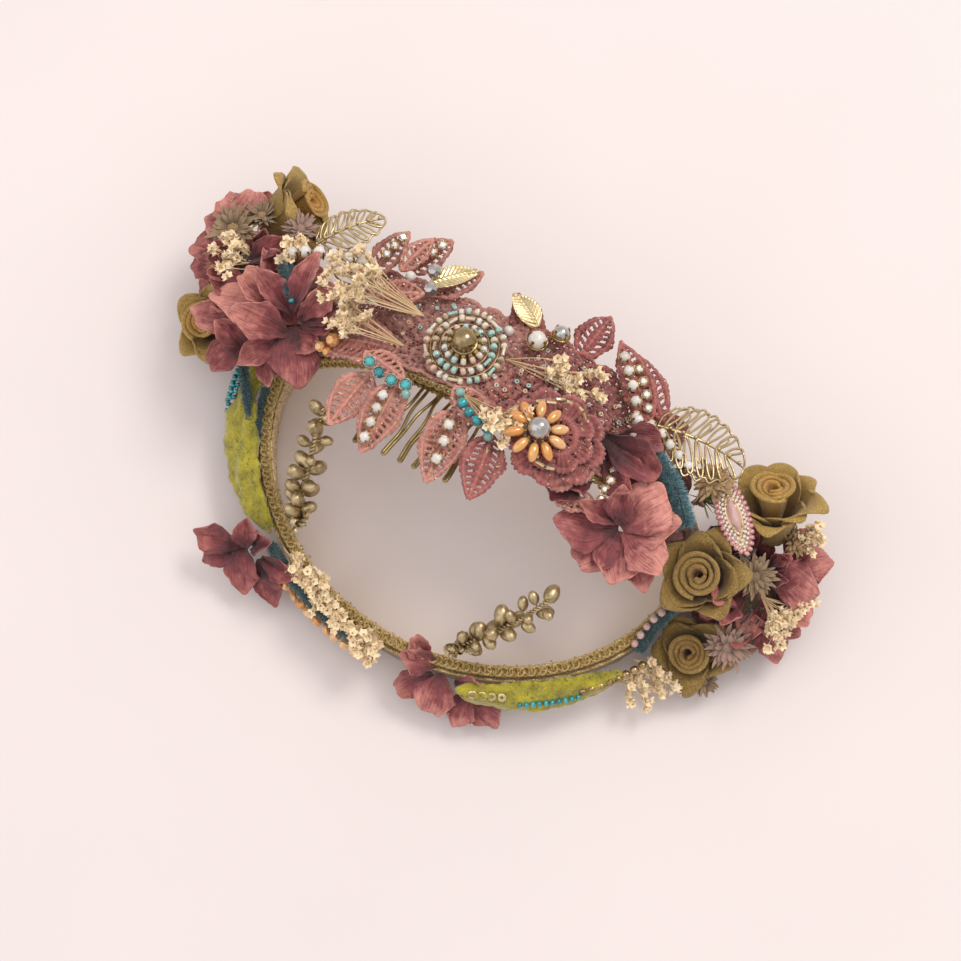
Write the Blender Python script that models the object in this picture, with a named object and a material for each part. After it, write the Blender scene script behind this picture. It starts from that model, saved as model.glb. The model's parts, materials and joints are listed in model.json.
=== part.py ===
"""Flower crown: a closed loop of covered wire that lies flat behind and rises into an arch in front, with lace,
beads, dried flowers and rosebuds sewn on, a wire comb and two wired berry sprigs that move."""

import math

import bmesh
import bpy
import numpy as np

MM = 0.001

# Where the loop's centre goes, so that the origin is the middle of the underside
SHIFT_X = -3.0
SHIFT_Y = -6.0

# Loop path
LOOP_HALF_WIDTH = 65.0
LOOP_BACK_DEPTH = 56.0
LOOP_FRONT_DEPTH = 16.0
LOOP_CENTRE_Y = -2.0
LOOP_MID_HEIGHT = 7.0
ARCH_RISE = 42.0
ARCH_SQUARENESS = 2.6
ARCH_TILT = math.atan(0.45)
BACK_STATIONS = 30
ARCH_STATIONS = 56
PATH_SAMPLES = 2400

# Loop layers, measured out of the loop (out) and across it (wide)
BAND_WIDTH = 14.0
BAND_THICK = 1.2
WIRE_DIAMETER = 1.4
LAYER_GAP = 0.4
LINING_WIDTH = 13.0
LINING_THICK = 0.5
BRAID_RADIUS = 1.0

# Comb
COMB_X = 17.0
COMB_TEETH = 7
COMB_PITCH = 4.8
COMB_TOOTH_LENGTH = 25.5
COMB_FORK_LENGTH = 19.5
COMB_THICK = 1.2
COMB_DEPTH = 6.9
COMB_SIDE = 6.0
STITCH_RING_RADIUS = 1.6
STITCH_THREAD_RADIUS = 0.28

# Lace panels, flowers and trims
PANEL_LIFT = 1.9
PANEL_END_LIFT = 6.0
PANEL_FLAT_X = 22.0
PANEL_SCALLOP = 3.0
ROSE_SEGMENTS = 14
LEAF_ROWS = 6
FLORET_SPOKES = 20


def unit(vector):
    """Returns the vector at length one."""
    vector = np.asarray(vector, dtype=float)
    return vector / np.linalg.norm(vector)


def clear_scene():
    """Removes whatever objects the file opened with."""
    for item in list(bpy.data.objects):
        bpy.data.objects.remove(item, do_unlink=True)


def paint(item, colour, roughness, metallic=0.0):
    """Gives the object a material of its own."""
    material = bpy.data.materials.new(item.name)
    material.use_nodes = True
    shader = material.node_tree.nodes["Principled BSDF"]
    shader.inputs["Base Color"].default_value = (*colour, 1.0)
    shader.inputs["Roughness"].default_value = roughness
    shader.inputs["Metallic"].default_value = metallic
    item.data.materials.append(material)


def add_solid(name, points, faces, look, origin=(0.0, 0.0, 0.0), smooth=True):
    """Makes one closed body from points in millimetres around the loop's centre."""
    colour, roughness, metallic = look
    origin = np.asarray(origin, dtype=float)
    local = (np.asarray(points, dtype=float) - origin) * MM
    mesh = bpy.data.meshes.new(name)
    mesh.from_pydata([tuple(p) for p in local], [], [tuple(f) for f in faces])
    body = bmesh.new()
    body.from_mesh(mesh)
    bmesh.ops.recalc_face_normals(body, faces=body.faces)
    body.to_mesh(mesh)
    body.free()
    item = bpy.data.objects.new(name, mesh)
    item.location = ((origin[0] + SHIFT_X) * MM, (origin[1] + SHIFT_Y) * MM, origin[2] * MM)
    bpy.context.scene.collection.objects.link(item)
    if smooth:
        mesh.shade_smooth()
        mesh.set_sharp_from_angle(angle=math.radians(40.0))
    paint(item, colour, roughness, metallic)
    return item


def loop_path():
    """Returns evenly spaced points around the loop, starting at the +X foot and going round the back first."""
    turn = np.linspace(0.0, math.pi, PATH_SAMPLES)
    back = np.stack(
        [
            LOOP_HALF_WIDTH * np.cos(turn),
            LOOP_CENTRE_Y + LOOP_BACK_DEPTH * np.sin(turn),
            np.full_like(turn, LOOP_MID_HEIGHT),
        ],
        axis=1,
    )
    sweep = np.linspace(math.pi, 2.0 * math.pi, PATH_SAMPLES)[1:-1]
    power = 2.0 / ARCH_SQUARENESS
    front_x = LOOP_HALF_WIDTH * np.sign(np.cos(sweep)) * np.abs(np.cos(sweep)) ** power
    front_y = LOOP_CENTRE_Y - LOOP_FRONT_DEPTH * np.abs(np.sin(sweep)) ** power
    front_z = LOOP_MID_HEIGHT + ARCH_RISE * (1.0 - (front_x / LOOP_HALF_WIDTH) ** 2)
    front = np.stack([front_x, front_y, front_z], axis=1)
    return np.concatenate([back, front])


PATH = loop_path()
PATH_NEXT = np.roll(PATH, -1, axis=0)
PATH_STEP = np.linalg.norm(PATH_NEXT - PATH, axis=1)
PATH_LENGTH = float(PATH_STEP.sum())
PATH_AT = np.concatenate([[0.0], np.cumsum(PATH_STEP)[:-1]])


def path_point(distance):
    """Returns the point a distance along the loop, for one distance or an array of them."""
    distance = np.mod(distance, PATH_LENGTH)
    at = np.append(PATH_AT, PATH_LENGTH)
    closed = np.vstack([PATH, PATH[:1]])
    return np.stack([np.interp(distance, at, closed[:, k]) for k in range(3)], axis=-1)


def loop_frame(distance):
    """Returns the point, the direction along, the direction out and the direction across at a distance."""
    distance = np.asarray(distance, dtype=float)
    point = path_point(distance)
    span = 4.0
    along = path_point(distance + span) - path_point(distance - span)
    along /= np.linalg.norm(along, axis=-1, keepdims=True)
    rise = np.clip((point[..., 2] - LOOP_MID_HEIGHT) / ARCH_RISE, 0.0, 1.0)[..., None]
    share = rise * rise * (3.0 - 2.0 * rise)
    leaning = np.array([0.0, -math.sin(ARCH_TILT), math.cos(ARCH_TILT)])
    side_way = point[..., :1] / LOOP_HALF_WIDTH * np.array([1.0, 0.0, 0.0])
    front_out = side_way + leaning * share
    back_out = np.cross(along, np.array([0.0, 0.0, 1.0]))
    is_back = point[..., 1:2] >= LOOP_CENTRE_Y
    out = np.where(is_back, back_out, front_out)
    out = out - along * np.sum(out * along, axis=-1, keepdims=True)
    out /= np.linalg.norm(out, axis=-1, keepdims=True)
    across = np.cross(out, along)
    return point, along, out, across


def distance_at(x, y):
    """Returns the distance along the loop whose plan position is nearest to x, y."""
    gap = (PATH[:, 0] - x) ** 2 + (PATH[:, 1] - y) ** 2
    return float(PATH_AT[int(np.argmin(gap))])


def arch_distance(x):
    """Returns the distance along the loop at which the arch is over x."""
    arch = PATH[PATH_SAMPLES:]
    return float(PATH_AT[PATH_SAMPLES + int(np.argmin(np.abs(arch[:, 0] - x)))])


def on_arch(x, out_by, wide_by):
    """Returns a point over the arch, out and across from its path at x, and the direction out there."""
    point, _, out, across = loop_frame(arch_distance(x))
    return point + out * out_by + across * wide_by, out


def along_loop(start, end, count, out_by, wide_by):
    """Returns points that follow the back of the loop between two plan positions."""
    first = distance_at(*start)
    last = distance_at(*end)
    point, _, out, across = loop_frame(np.linspace(first, last, count))
    out_by = np.broadcast_to(np.asarray(out_by, dtype=float), (count,))[:, None]
    wide_by = np.broadcast_to(np.asarray(wide_by, dtype=float), (count,))[:, None]
    return point + out * out_by + across * wide_by


def add_loop(name, section, look):
    """Sweeps a closed section, given as (out, wide) pairs, round the whole loop."""
    foot = distance_at(-LOOP_HALF_WIDTH, LOOP_CENTRE_Y)
    behind = np.linspace(0.0, foot, BACK_STATIONS, endpoint=False)
    over = np.linspace(foot, PATH_LENGTH, ARCH_STATIONS, endpoint=False)
    distance = np.concatenate([behind, over])
    stations = len(distance)
    point, _, out, across = loop_frame(distance)
    section = np.asarray(section, dtype=float)
    rings = (
        point[:, None, :]
        + out[:, None, :] * section[None, :, 0, None]
        + across[:, None, :] * section[None, :, 1, None]
    )
    sides = len(section)
    faces = []
    for i in range(stations):
        j = (i + 1) % stations
        for k in range(sides):
            m = (k + 1) % sides
            faces.append((i * sides + k, i * sides + m, j * sides + m, j * sides + k))
    return add_solid(name, rings.reshape(-1, 3), faces, look)


def box_section(out_low, out_high, wide_low, wide_high, columns=3):
    """Returns the outline of a rectangular section, cut into columns so that it can twist."""
    wide = np.linspace(wide_low, wide_high, columns + 1)
    return [(out_low, w) for w in wide[::-1]] + [(out_high, w) for w in wide]


def round_section(out_mid, wide_mid, radius, sides):
    """Returns a round section."""
    turn = np.arange(sides) * 2.0 * math.pi / sides
    return [(out_mid + radius * math.cos(a), wide_mid + radius * math.sin(a)) for a in turn]


def add_plate(name, top, bottom, faces, look, origin=(0.0, 0.0, 0.0)):
    """Makes a closed plate from matching top and bottom points and the faces that join the top ones."""
    top = np.asarray(top, dtype=float)
    bottom = np.asarray(bottom, dtype=float)
    count = len(top)
    used = {}
    for face in faces:
        for a, b in zip(face, face[1:] + face[:1]):
            used[(a, b)] = used.get((a, b), 0) + 1
    walls = [(b, a, a + count, b + count) for (a, b) in used if (b, a) not in used]
    solid = [tuple(f) for f in faces] + [tuple(i + count for i in reversed(f)) for f in faces] + walls
    return add_solid(name, np.concatenate([top, bottom]), solid, look, origin)


def grid_faces(rows, columns):
    """Returns the quads of a grid of points stored row by row."""
    faces = []
    for i in range(rows - 1):
        for j in range(columns - 1):
            a = i * columns + j
            faces.append([a, a + 1, a + columns + 1, a + columns])
    return faces


def leaf_width(share, blunt):
    """Returns a leaf's half width, from 0 to 1, along its length: pointed at both ends, fuller when blunt."""
    return np.maximum(np.sin(math.pi * share ** 0.85) ** blunt, 0.10)


def add_leaf(name, base, tip, width, thick, look, facing=(0.0, -0.4, 0.9), bow=1.0, cup=0.6, blunt=0.75):
    """Makes a thin leaf from base to tip that bows up between them and is cupped across."""
    base = np.asarray(base, dtype=float)
    tip = np.asarray(tip, dtype=float)
    along = unit(tip - base)
    side = unit(np.cross(np.asarray(facing, dtype=float), along))
    normal = np.cross(along, side)
    share = np.linspace(0.0, 1.0, LEAF_ROWS)
    cross = np.linspace(-1.0, 1.0, 3)
    half = 0.5 * width * leaf_width(share, blunt)
    middle = base + (tip - base) * share[:, None] + normal * (bow * 4.0 * share * (1.0 - share))[:, None]
    grid = (
        middle[:, None, :]
        + side * (half[:, None, None] * cross[None, :, None])
        + normal * (cup * (cross ** 2))[None, :, None]
    )
    flat = grid.reshape(-1, 3)
    return add_plate(name, flat, flat - normal * thick, grid_faces(LEAF_ROWS, 3), look)


def add_panel(name, first_x, last_x, front, back, thick, look, rows=9, columns=5):
    """Makes a lace panel laid over the arch, lifted off it towards the feet, with scalloped long edges."""
    x = np.linspace(first_x, last_x, rows)
    point, _, out, across = loop_frame(np.array([arch_distance(value) for value in x]))
    lift = PANEL_LIFT + PANEL_END_LIFT * np.clip((np.abs(x) - PANEL_FLAT_X) / 30.0, 0.0, 1.0) ** 1.5
    wide = np.linspace(0.0, 1.0, columns)
    scallop = PANEL_SCALLOP * np.abs(np.sin(math.pi * 0.5 * np.arange(rows)))
    low = front - scallop
    high = back + 0.4 * scallop
    reach = low[:, None] + (high - low)[:, None] * wide[None, :]
    grid = point[:, None, :] + out[:, None, :] * lift[:, None, None] + across[:, None, :] * reach[:, :, None]
    top = (grid + out[:, None, :] * thick).reshape(-1, 3)
    return add_plate(name, top, grid.reshape(-1, 3), grid_faces(rows, columns), look)


def add_wrapped_leaf(name, start, end, inner, outer, thick, look, rows=9):
    """Makes a felt leaf that follows the back of the loop. inner and outer are (out, wide) of its two edges."""
    share = np.linspace(0.0, 1.0, rows)
    spread = leaf_width(share, 0.45)
    inner = np.asarray(inner, dtype=float)
    outer = np.asarray(outer, dtype=float)
    middle = 0.5 * (inner + outer)
    rails = []
    for place in (inner, middle, outer):
        offset = middle + (place - middle) * spread[:, None]
        rails.append(along_loop(start, end, rows, offset[:, 0], offset[:, 1]))
    grid = np.stack(rails, axis=1).reshape(-1, 3)
    slope = unit(outer - inner)
    lower = np.array([-slope[1], slope[0]])
    if lower[1] > 0.0:
        lower = -lower
    under = []
    for place in (inner, middle, outer):
        offset = middle + (place - middle) * spread[:, None] + lower * thick
        under.append(along_loop(start, end, rows, offset[:, 0], offset[:, 1]))
    return add_plate(name, grid, np.stack(under, axis=1).reshape(-1, 3), grid_faces(rows, 3), look)


def disc_frame(facing):
    """Returns two directions square to the facing one."""
    facing = unit(facing)
    helper = np.array([1.0, 0.0, 0.0]) if abs(facing[0]) < 0.8 else np.array([0.0, 1.0, 0.0])
    side = unit(np.cross(helper, facing))
    return side, np.cross(facing, side), facing


def add_floret(name, centre, facing, radius, look, turn=0.0, dish=0.28, thick=1.0, petals=4):
    """Makes a dished flower head with rounded petals."""
    side, other, normal = disc_frame(facing)
    angle = np.arange(FLORET_SPOKES) * 2.0 * math.pi / FLORET_SPOKES
    lobe = 0.68 + 0.32 * np.abs(np.cos(0.5 * petals * (angle - turn))) ** 0.8
    points = [np.asarray(centre, dtype=float)]
    for share in (0.5, 1.0):
        reach = radius * share * (lobe if share > 0.9 else 0.5 + 0.5 * lobe)
        lift = dish * radius * share * share
        ring = (
            np.asarray(centre, dtype=float)
            + side * (reach * np.cos(angle))[:, None]
            + other * (reach * np.sin(angle))[:, None]
            + normal * lift
        )
        points.extend(ring)
    faces = []
    for k in range(FLORET_SPOKES):
        m = (k + 1) % FLORET_SPOKES
        faces.append([0, 1 + k, 1 + m])
        faces.append([1 + k, 1 + FLORET_SPOKES + k, 1 + FLORET_SPOKES + m, 1 + m])
    top = np.asarray(points)
    return add_plate(name, top, top - normal * thick, faces, look)


def add_lathe(name, base, axis, profile, look, segments=12, ripple=0.0, ripple_count=5):
    """Turns a profile of (radius, height) pairs, whose first and last lie on the axis, about the axis."""
    side, other, normal = disc_frame(axis)
    base = np.asarray(base, dtype=float)
    angle = np.arange(segments) * 2.0 * math.pi / segments
    wave = 1.0 + ripple * np.cos(ripple_count * angle)
    inner = profile[1:-1]
    points = [base + normal * profile[0][1]]
    for radius, height in inner:
        ring = (
            base
            + side * (radius * wave * np.cos(angle))[:, None]
            + other * (radius * wave * np.sin(angle))[:, None]
            + normal * height
        )
        points.extend(ring)
    points.append(base + normal * profile[-1][1])
    last = len(points) - 1
    faces = []
    for k in range(segments):
        m = (k + 1) % segments
        faces.append((0, 1 + m, 1 + k))
        for row in range(len(inner) - 1):
            a = 1 + row * segments
            b = a + segments
            faces.append((a + k, a + m, b + m, b + k))
        tail = 1 + (len(inner) - 1) * segments
        faces.append((tail + k, tail + m, last))
    return add_solid(name, np.asarray(points), faces, look)


def add_rose(name, base, mouth, radius, look):
    """Makes a rosebud: a stout cup from its base to its mouth with a shallow hollow in the mouth."""
    base = np.asarray(base, dtype=float)
    mouth = np.asarray(mouth, dtype=float)
    height = float(np.linalg.norm(mouth - base))
    profile = [
        (0.0, 0.0),
        (0.42 * radius, 0.04 * height),
        (0.78 * radius, 0.35 * height),
        (0.88 * radius, 0.75 * height),
        (1.0 * radius, 1.0 * height),
        (0.80 * radius, 0.97 * height),
        (0.55 * radius, 0.72 * height),
        (0.30 * radius, 0.86 * height),
        (0.0, 0.88 * height),
    ]
    return add_lathe(name, base, mouth - base, profile, look, ROSE_SEGMENTS, 0.05, 5)


def add_daisy(name, base, facing, radius, look):
    """Makes a small dried flower head."""
    profile = [(0.0, -2.4), (1.6, -2.2), (0.75 * radius, 0.0), (radius, 1.6), (0.45 * radius, 1.4), (0.0, 2.6)]
    return add_lathe(name, base, facing, profile, look, 12, 0.10, 6)


def add_bead(name, centre, facing, radius, look, segments=12):
    """Makes a round bead."""
    turn = np.linspace(0.0, math.pi, 7)
    profile = [(radius * math.sin(a), -radius * math.cos(a)) for a in turn]
    return add_lathe(name, centre, facing, profile, look, segments)


def carried_frames(points):
    """Returns two directions square to a line of points, carried along it without twist."""
    points = np.asarray(points, dtype=float)
    along = np.gradient(points, axis=0)
    along /= np.linalg.norm(along, axis=1, keepdims=True)
    side, _, _ = disc_frame(along[0])
    sides = []
    for direction in along:
        side = unit(side - direction * float(side @ direction))
        sides.append(side)
    sides = np.asarray(sides)
    return sides, np.cross(along, sides)


def add_tube(name, points, radii, look, sides=6, origin=(0.0, 0.0, 0.0)):
    """Makes a closed tube along points with a radius at each."""
    points = np.asarray(points, dtype=float)
    radii = np.broadcast_to(np.asarray(radii, dtype=float), (len(points),))
    side, other = carried_frames(points)
    angle = np.arange(sides) * 2.0 * math.pi / sides
    rings = (
        points[:, None, :]
        + side[:, None, :] * (radii[:, None] * np.cos(angle)[None, :])[:, :, None]
        + other[:, None, :] * (radii[:, None] * np.sin(angle)[None, :])[:, :, None]
    )
    flat = rings.reshape(-1, 3)
    rows = len(points)
    faces = [tuple(range(sides)), tuple((rows - 1) * sides + k for k in reversed(range(sides)))]
    for i in range(rows - 1):
        for k in range(sides):
            m = (k + 1) % sides
            faces.append((i * sides + k, (i + 1) * sides + k, (i + 1) * sides + m, i * sides + m))
    return add_solid(name, flat, faces, look, origin)


def curve_through(places, count):
    """Returns points on the smooth curve that starts at the first place, ends at the last and bends by the rest."""
    places = np.asarray(places, dtype=float)
    while len(places) < 3:
        places = np.array([places[0], 0.5 * (places[0] + places[-1]), places[-1]])
    control = 2.0 * places[1] - 0.5 * (places[0] + places[2])
    t = np.linspace(0.0, 1.0, count)[:, None]
    return places[0] * (1.0 - t) ** 2 + control * 2.0 * t * (1.0 - t) + places[2] * t ** 2


def add_bead_row(name, places, beads, bead_radius, look, sides=6):
    """Makes a row of beads threaded together, as one body that swells at each bead."""
    count = 3 * beads
    line = curve_through(places, count)
    radii = np.array([0.45, 1.0, 0.45] * beads) * bead_radius
    return add_tube(name, line, radii, look, sides)


def add_spray(name, root, tips, width, thick, look, facing=(0.0, -0.4, 0.9)):
    """Makes the envelope of a bunch of fine stems that opens from its root to a wide head."""
    root = np.asarray(root, dtype=float)
    tips = np.asarray(tips, dtype=float)
    along = unit(tips - root)
    side = unit(np.cross(np.asarray(facing, dtype=float), along))
    normal = np.cross(along, side)
    share = np.linspace(0.0, 1.0, 5)
    half = 0.5 * width * (0.12 + 0.88 * share ** 1.2) * np.where(share > 0.9, 0.6, 1.0)
    cross = np.linspace(-1.0, 1.0, 3)
    middle = root + (tips - root) * share[:, None]
    grid = middle[:, None, :] + side * (half[:, None, None] * cross[None, :, None])
    deep = thick * (0.3 + 0.7 * share)
    top = grid + normal * (0.5 * deep)[:, None, None]
    bottom = grid - normal * (0.5 * deep)[:, None, None]
    return add_plate(name, top.reshape(-1, 3), bottom.reshape(-1, 3), grid_faces(5, 3), look)


def comb_frame():
    """Returns the middle of the comb's spine and its directions along, out and across."""
    point, along, out, across = loop_frame(arch_distance(COMB_X))
    return point - out * COMB_DEPTH + across * COMB_SIDE, along, out, across


def add_comb(look):
    """Makes the comb: a straight spine and forked teeth cut as one flat piece that curves with the head."""
    middle, along, out, across = comb_frame()
    half = 0.5 * COMB_TEETH * COMB_PITCH
    edge = 0.8
    spine = [-half]
    teeth = [(i - 0.5 * (COMB_TEETH - 1)) * COMB_PITCH for i in range(COMB_TEETH)]
    for k in teeth:
        spine.extend([k - 1.9, k - 0.9, k + 0.9, k + 1.9])
    spine.append(half)
    flat = [(u, -edge) for u in spine] + [(u, edge) for u in spine]
    count = len(spine)
    faces = [[i, i + 1, count + i + 1, count + i] for i in range(count - 1)]
    bend = 0.5 * (COMB_FORK_LENGTH + COMB_TOOTH_LENGTH)
    for n, k in enumerate(teeth):
        left = count + 1 + 4 * n
        start = len(flat)
        for v, w in ((COMB_FORK_LENGTH, 0.7), (bend, 0.65), (COMB_TOOTH_LENGTH - 2.0, 0.6)):
            flat.extend([(k - w, v), (k, v), (k + w, v)])
        flat.append((k, COMB_TOOTH_LENGTH))
        faces.append([left, left + 1, start + 1, start])
        faces.append([left + 2, left + 3, start + 2, start + 1])
        for row in range(2):
            a = start + 3 * row
            faces.append([a, a + 1, a + 4, a + 3])
            faces.append([a + 1, a + 2, a + 5, a + 4])
        faces.append([start + 6, start + 7, start + 9])
        faces.append([start + 7, start + 8, start + 9])
    flat = np.asarray(flat)
    lift = -0.003 * np.maximum(flat[:, 1], 0.0) ** 2
    solid = middle + along * flat[:, 0, None] + across * flat[:, 1, None] + out * lift[:, None]
    top = solid + out * 0.5 * COMB_THICK
    bottom = solid - out * 0.5 * COMB_THICK
    return add_plate("comb", top, bottom, faces, look, origin=middle)


def add_stitch(name, place, look):
    """Makes one thread loop round the comb's spine, at a distance along the spine."""
    middle, along, out, across = comb_frame()
    centre = middle + along * place
    rings = []
    major = 12
    minor = 6
    for i in range(major):
        a = i * 2.0 * math.pi / major
        spoke = out * math.cos(a) + across * math.sin(a)
        for j in range(minor):
            b = j * 2.0 * math.pi / minor
            reach = STITCH_RING_RADIUS + STITCH_THREAD_RADIUS * math.cos(b)
            rings.append(centre + spoke * reach + along * STITCH_THREAD_RADIUS * math.sin(b))
    faces = []
    for i in range(major):
        m = (i + 1) % major
        for j in range(minor):
            n = (j + 1) % minor
            faces.append((i * minor + j, m * minor + j, m * minor + n, i * minor + n))
    return add_solid(name, np.asarray(rings), faces, look)


def add_sprig(name, places, look):
    """Makes a wired berry sprig, thin at its root and lumpy with berries after it, with its origin at the root."""
    rows = 19
    line = curve_through(places, rows)
    radii = np.full(rows, 1.3)
    radii[0:4] = 0.8
    radii[5::3] = 3.0
    radii[6::3] = 2.6
    radii[-1] = 1.0
    return add_tube(name, line, radii, look, 7, origin=line[0])


def build():
    """Builds every piece."""
    gauze = ((0.55, 0.42, 0.30), 0.85, 0.0)
    steel = ((0.55, 0.50, 0.42), 0.35, 1.0)
    glitter = ((0.72, 0.55, 0.28), 0.45, 0.6)
    gold = ((0.74, 0.56, 0.25), 0.40, 0.7)
    brass = ((0.45, 0.34, 0.16), 0.38, 1.0)
    thread = ((0.60, 0.45, 0.30), 0.8, 0.0)
    salmon = ((0.60, 0.22, 0.17), 0.8, 0.0)
    mauve = ((0.33, 0.10, 0.11), 0.8, 0.0)
    petal = ((0.36, 0.09, 0.10), 0.75, 0.0)
    mustard = ((0.30, 0.18, 0.05), 0.7, 0.0)
    cream = ((0.80, 0.68, 0.42), 0.8, 0.0)
    straw = ((0.26, 0.19, 0.11), 0.85, 0.0)
    felt = ((0.32, 0.32, 0.03), 0.9, 0.0)
    turquoise = ((0.05, 0.42, 0.45), 0.3, 0.0)
    pearl = ((0.85, 0.82, 0.78), 0.2, 0.0)
    silver = ((0.55, 0.55, 0.57), 0.18, 1.0)
    amber = ((0.72, 0.32, 0.10), 0.3, 0.0)
    blush = ((0.70, 0.32, 0.32), 0.25, 0.0)
    bundle = ((0.20, 0.17, 0.08), 0.9, 0.0)

    # The covered wire loop
    half = 0.5 * BAND_WIDTH
    wire_out = -LAYER_GAP - 0.5 * WIRE_DIAMETER
    lining_out = wire_out - 0.5 * WIRE_DIAMETER - LAYER_GAP
    add_loop("band_base", box_section(0.0, BAND_THICK, -half, half), gauze)
    add_loop("frame_wire_lower", round_section(wire_out, -4.6, 0.5 * WIRE_DIAMETER, 5), steel)
    add_loop("frame_wire_upper", round_section(wire_out, 4.6, 0.5 * WIRE_DIAMETER, 5), steel)
    half_lining = 0.5 * LINING_WIDTH
    add_loop(
        "lining_ribbon",
        box_section(lining_out - LINING_THICK, lining_out, -half_lining, half_lining),
        glitter,
    )
    braid_wide = half + LAYER_GAP + BRAID_RADIUS
    add_loop("gold_braid", round_section(-0.4, braid_wide, BRAID_RADIUS, 6), gold)

    # The comb and the thread that holds it
    add_comb(brass)
    add_stitch("comb_stitch_a", -2.5 * COMB_PITCH, thread)
    add_stitch("comb_stitch_b", 2.5 * COMB_PITCH, thread)

    # Lace leaves that fan forwards and backwards from the arch
    add_leaf("lace_leaf_front_a", (54.0, -32.5, 27.5), (50.5, -48.0, 30.0), 8.0, 0.9, salmon)
    add_leaf("lace_leaf_front_b", (44.5, -38.5, 28.0), (38.3, -51.5, 31.0), 9.0, 0.9, salmon)
    add_leaf("lace_leaf_wide", (33.5, -13.0, 45.5), (56.8, -6.5, 37.0), 15.0, 0.9, salmon, bow=1.5)
    add_leaf("lace_leaf_back_a", (37.0, -4.0, 44.6), (38.8, 15.0, 50.0), 10.5, 0.9, salmon)
    add_leaf("lace_leaf_back_b", (28.5, -5.0, 48.5), (26.5, 18.5, 56.5), 10.5, 0.9, salmon)
    add_leaf("lace_leaf_back_c", (10.5, -5.0, 53.6), (6.9, 18.0, 62.0), 11.5, 0.9, salmon)
    add_leaf("lace_leaf_back_d", (-1.5, -3.0, 55.4), (-5.2, 16.5, 63.0), 11.0, 0.9, mauve)
    add_leaf("lace_leaf_front_d", (-9.5, -37.5, 37.2), (-11.0, -53.0, 33.5), 10.0, 0.9, mauve)
    add_leaf("lace_leaf_right_a", (-35.0, -30.0, 40.5), (-17.0, -47.0, 38.5), 9.5, 0.9, mauve)
    add_panel("lace_panel_left", 50.0, 4.5, -19.0, 9.5, 0.9, salmon)
    add_panel("lace_panel_right", 3.5, -42.0, -20.0, 9.5, 0.9, mauve)
    flower_at, flower_out = on_arch(-10.5, 5.1, 5.0)
    add_floret("lace_round_flower", flower_at, flower_out, 14.0, mauve, dish=-0.06, petals=6)

    # Beads sewn on the lace
    ring_profile = [(0.0, 0.0), (10.0, 0.0), (10.6, 1.2), (8.6, 2.6), (4.4, 3.0), (0.0, 3.0)]
    medallion_at, face_out = on_arch(16.5, 4.5, -7.0)
    add_lathe("bead_medallion", medallion_at, face_out, ring_profile, pearl, 20)
    add_bead("medallion_bead", medallion_at + face_out * 7.1, face_out, 3.75, brass)
    rosette_at, rosette_out = on_arch(-9.5, 5.7, 6.0)
    petal_profile = [(0.0, 0.0), (4.0, 0.0), (8.6, 0.6), (8.6, 2.0), (3.6, 2.6), (0.0, 2.6)]
    add_lathe("bead_rosette", rosette_at, rosette_out, petal_profile, amber, 18, 0.06, 9)
    add_bead("rosette_pearl", rosette_at + rosette_out * 6.0, rosette_out, 3.1, silver)
    pair = [on_arch(3.5, 6.3, -16.0)[0], on_arch(-0.5, 6.3, -18.5)[0], on_arch(-4.5, 6.3, -21.0)[0]]
    add_bead_row("pearl_pair", pair, 2, 2.8, pearl, 8)
    add_leaf("brass_leaf_left", (36.5, -35.5, 37.0), (27.0, -44.8, 37.0), 6.0, 0.8, gold)
    add_leaf("brass_leaf_right", (4.5, -40.0, 42.2), (14.2, -43.0, 41.2), 7.5, 0.8, gold)
    add_bead_row("turquoise_row_left", [(42.5, -7.0, 49.0), (35.0, -5.6, 50.2), (27.0, -8.0, 51.2)], 5, 1.7, turquoise)
    add_bead_row("turquoise_row_right", [(14.5, -8.3, 54.6), (8.0, -6.5, 55.8), (1.3, -5.9, 57.0)], 4, 1.7, turquoise)
    add_bead_row("pearl_row_back", [(29.5, 1.5, 53.6), (28.5, 8.0, 56.6), (27.3, 14.6, 58.7)], 4, 1.5, pearl)
    add_bead_row("pearl_row_right", [(-20.5, -42.5, 43.2), (-26.5, -36.0, 45.1), (-31.0, -30.0, 45.0)], 5, 1.5, pearl)

    # The cluster at the +X foot
    add_lathe(
        "stem_bundle_left",
        (83.0, -17.0, 13.0),
        (0.0, 0.0, 1.0),
        [(0.0, -13.0), (10.0, -13.0), (14.0, -3.0), (12.5, 6.0), (7.5, 10.0), (0.0, 11.0)],
        bundle,
        12,
        0.08,
        4,
    )
    add_rose("rose_left_front", (87.5, -29.5, 24.5), (77.2, -45.5, 35.5), 9.0, mustard)
    add_rose("rose_left_side", (90.5, -2.0, 8.5), (97.0, 2.5, 20.5), 8.6, mustard)
    add_floret("floret_left_large", (79.5, -8.5, 32.0), (0.1, 0.15, 1.0), 15.0, petal, 0.4)
    add_floret("floret_left_inner", (63.5, -9.0, 42.2), (-0.1, -0.1, 1.0), 12.0, petal, 1.0)
    add_floret("floret_left_outer", (98.5, -31.0, 23.0), (0.6, -0.3, 0.8), 9.5, petal, 0.2)
    add_leaf("filigree_leaf_left", (69.0, -30.0, 37.5), (57.0, -46.0, 36.5), 12.0, 0.8, brass, bow=2.0)
    add_daisy("daisy_left", (93.0, -26.5, 36.0), (0.1, 0.0, 1.0), 8.0, straw)
    add_bead_row("pearl_row_left", [(72.5, -25.5, 40.0), (64.0, -28.6, 42.6), (54.5, -29.5, 41.0)], 6, 2.2, pearl)
    add_spray("spray_left", (35.0, -21.0, 48.8), (53.5, -20.5, 48.5), 15.0, 3.0, cream)

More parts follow.
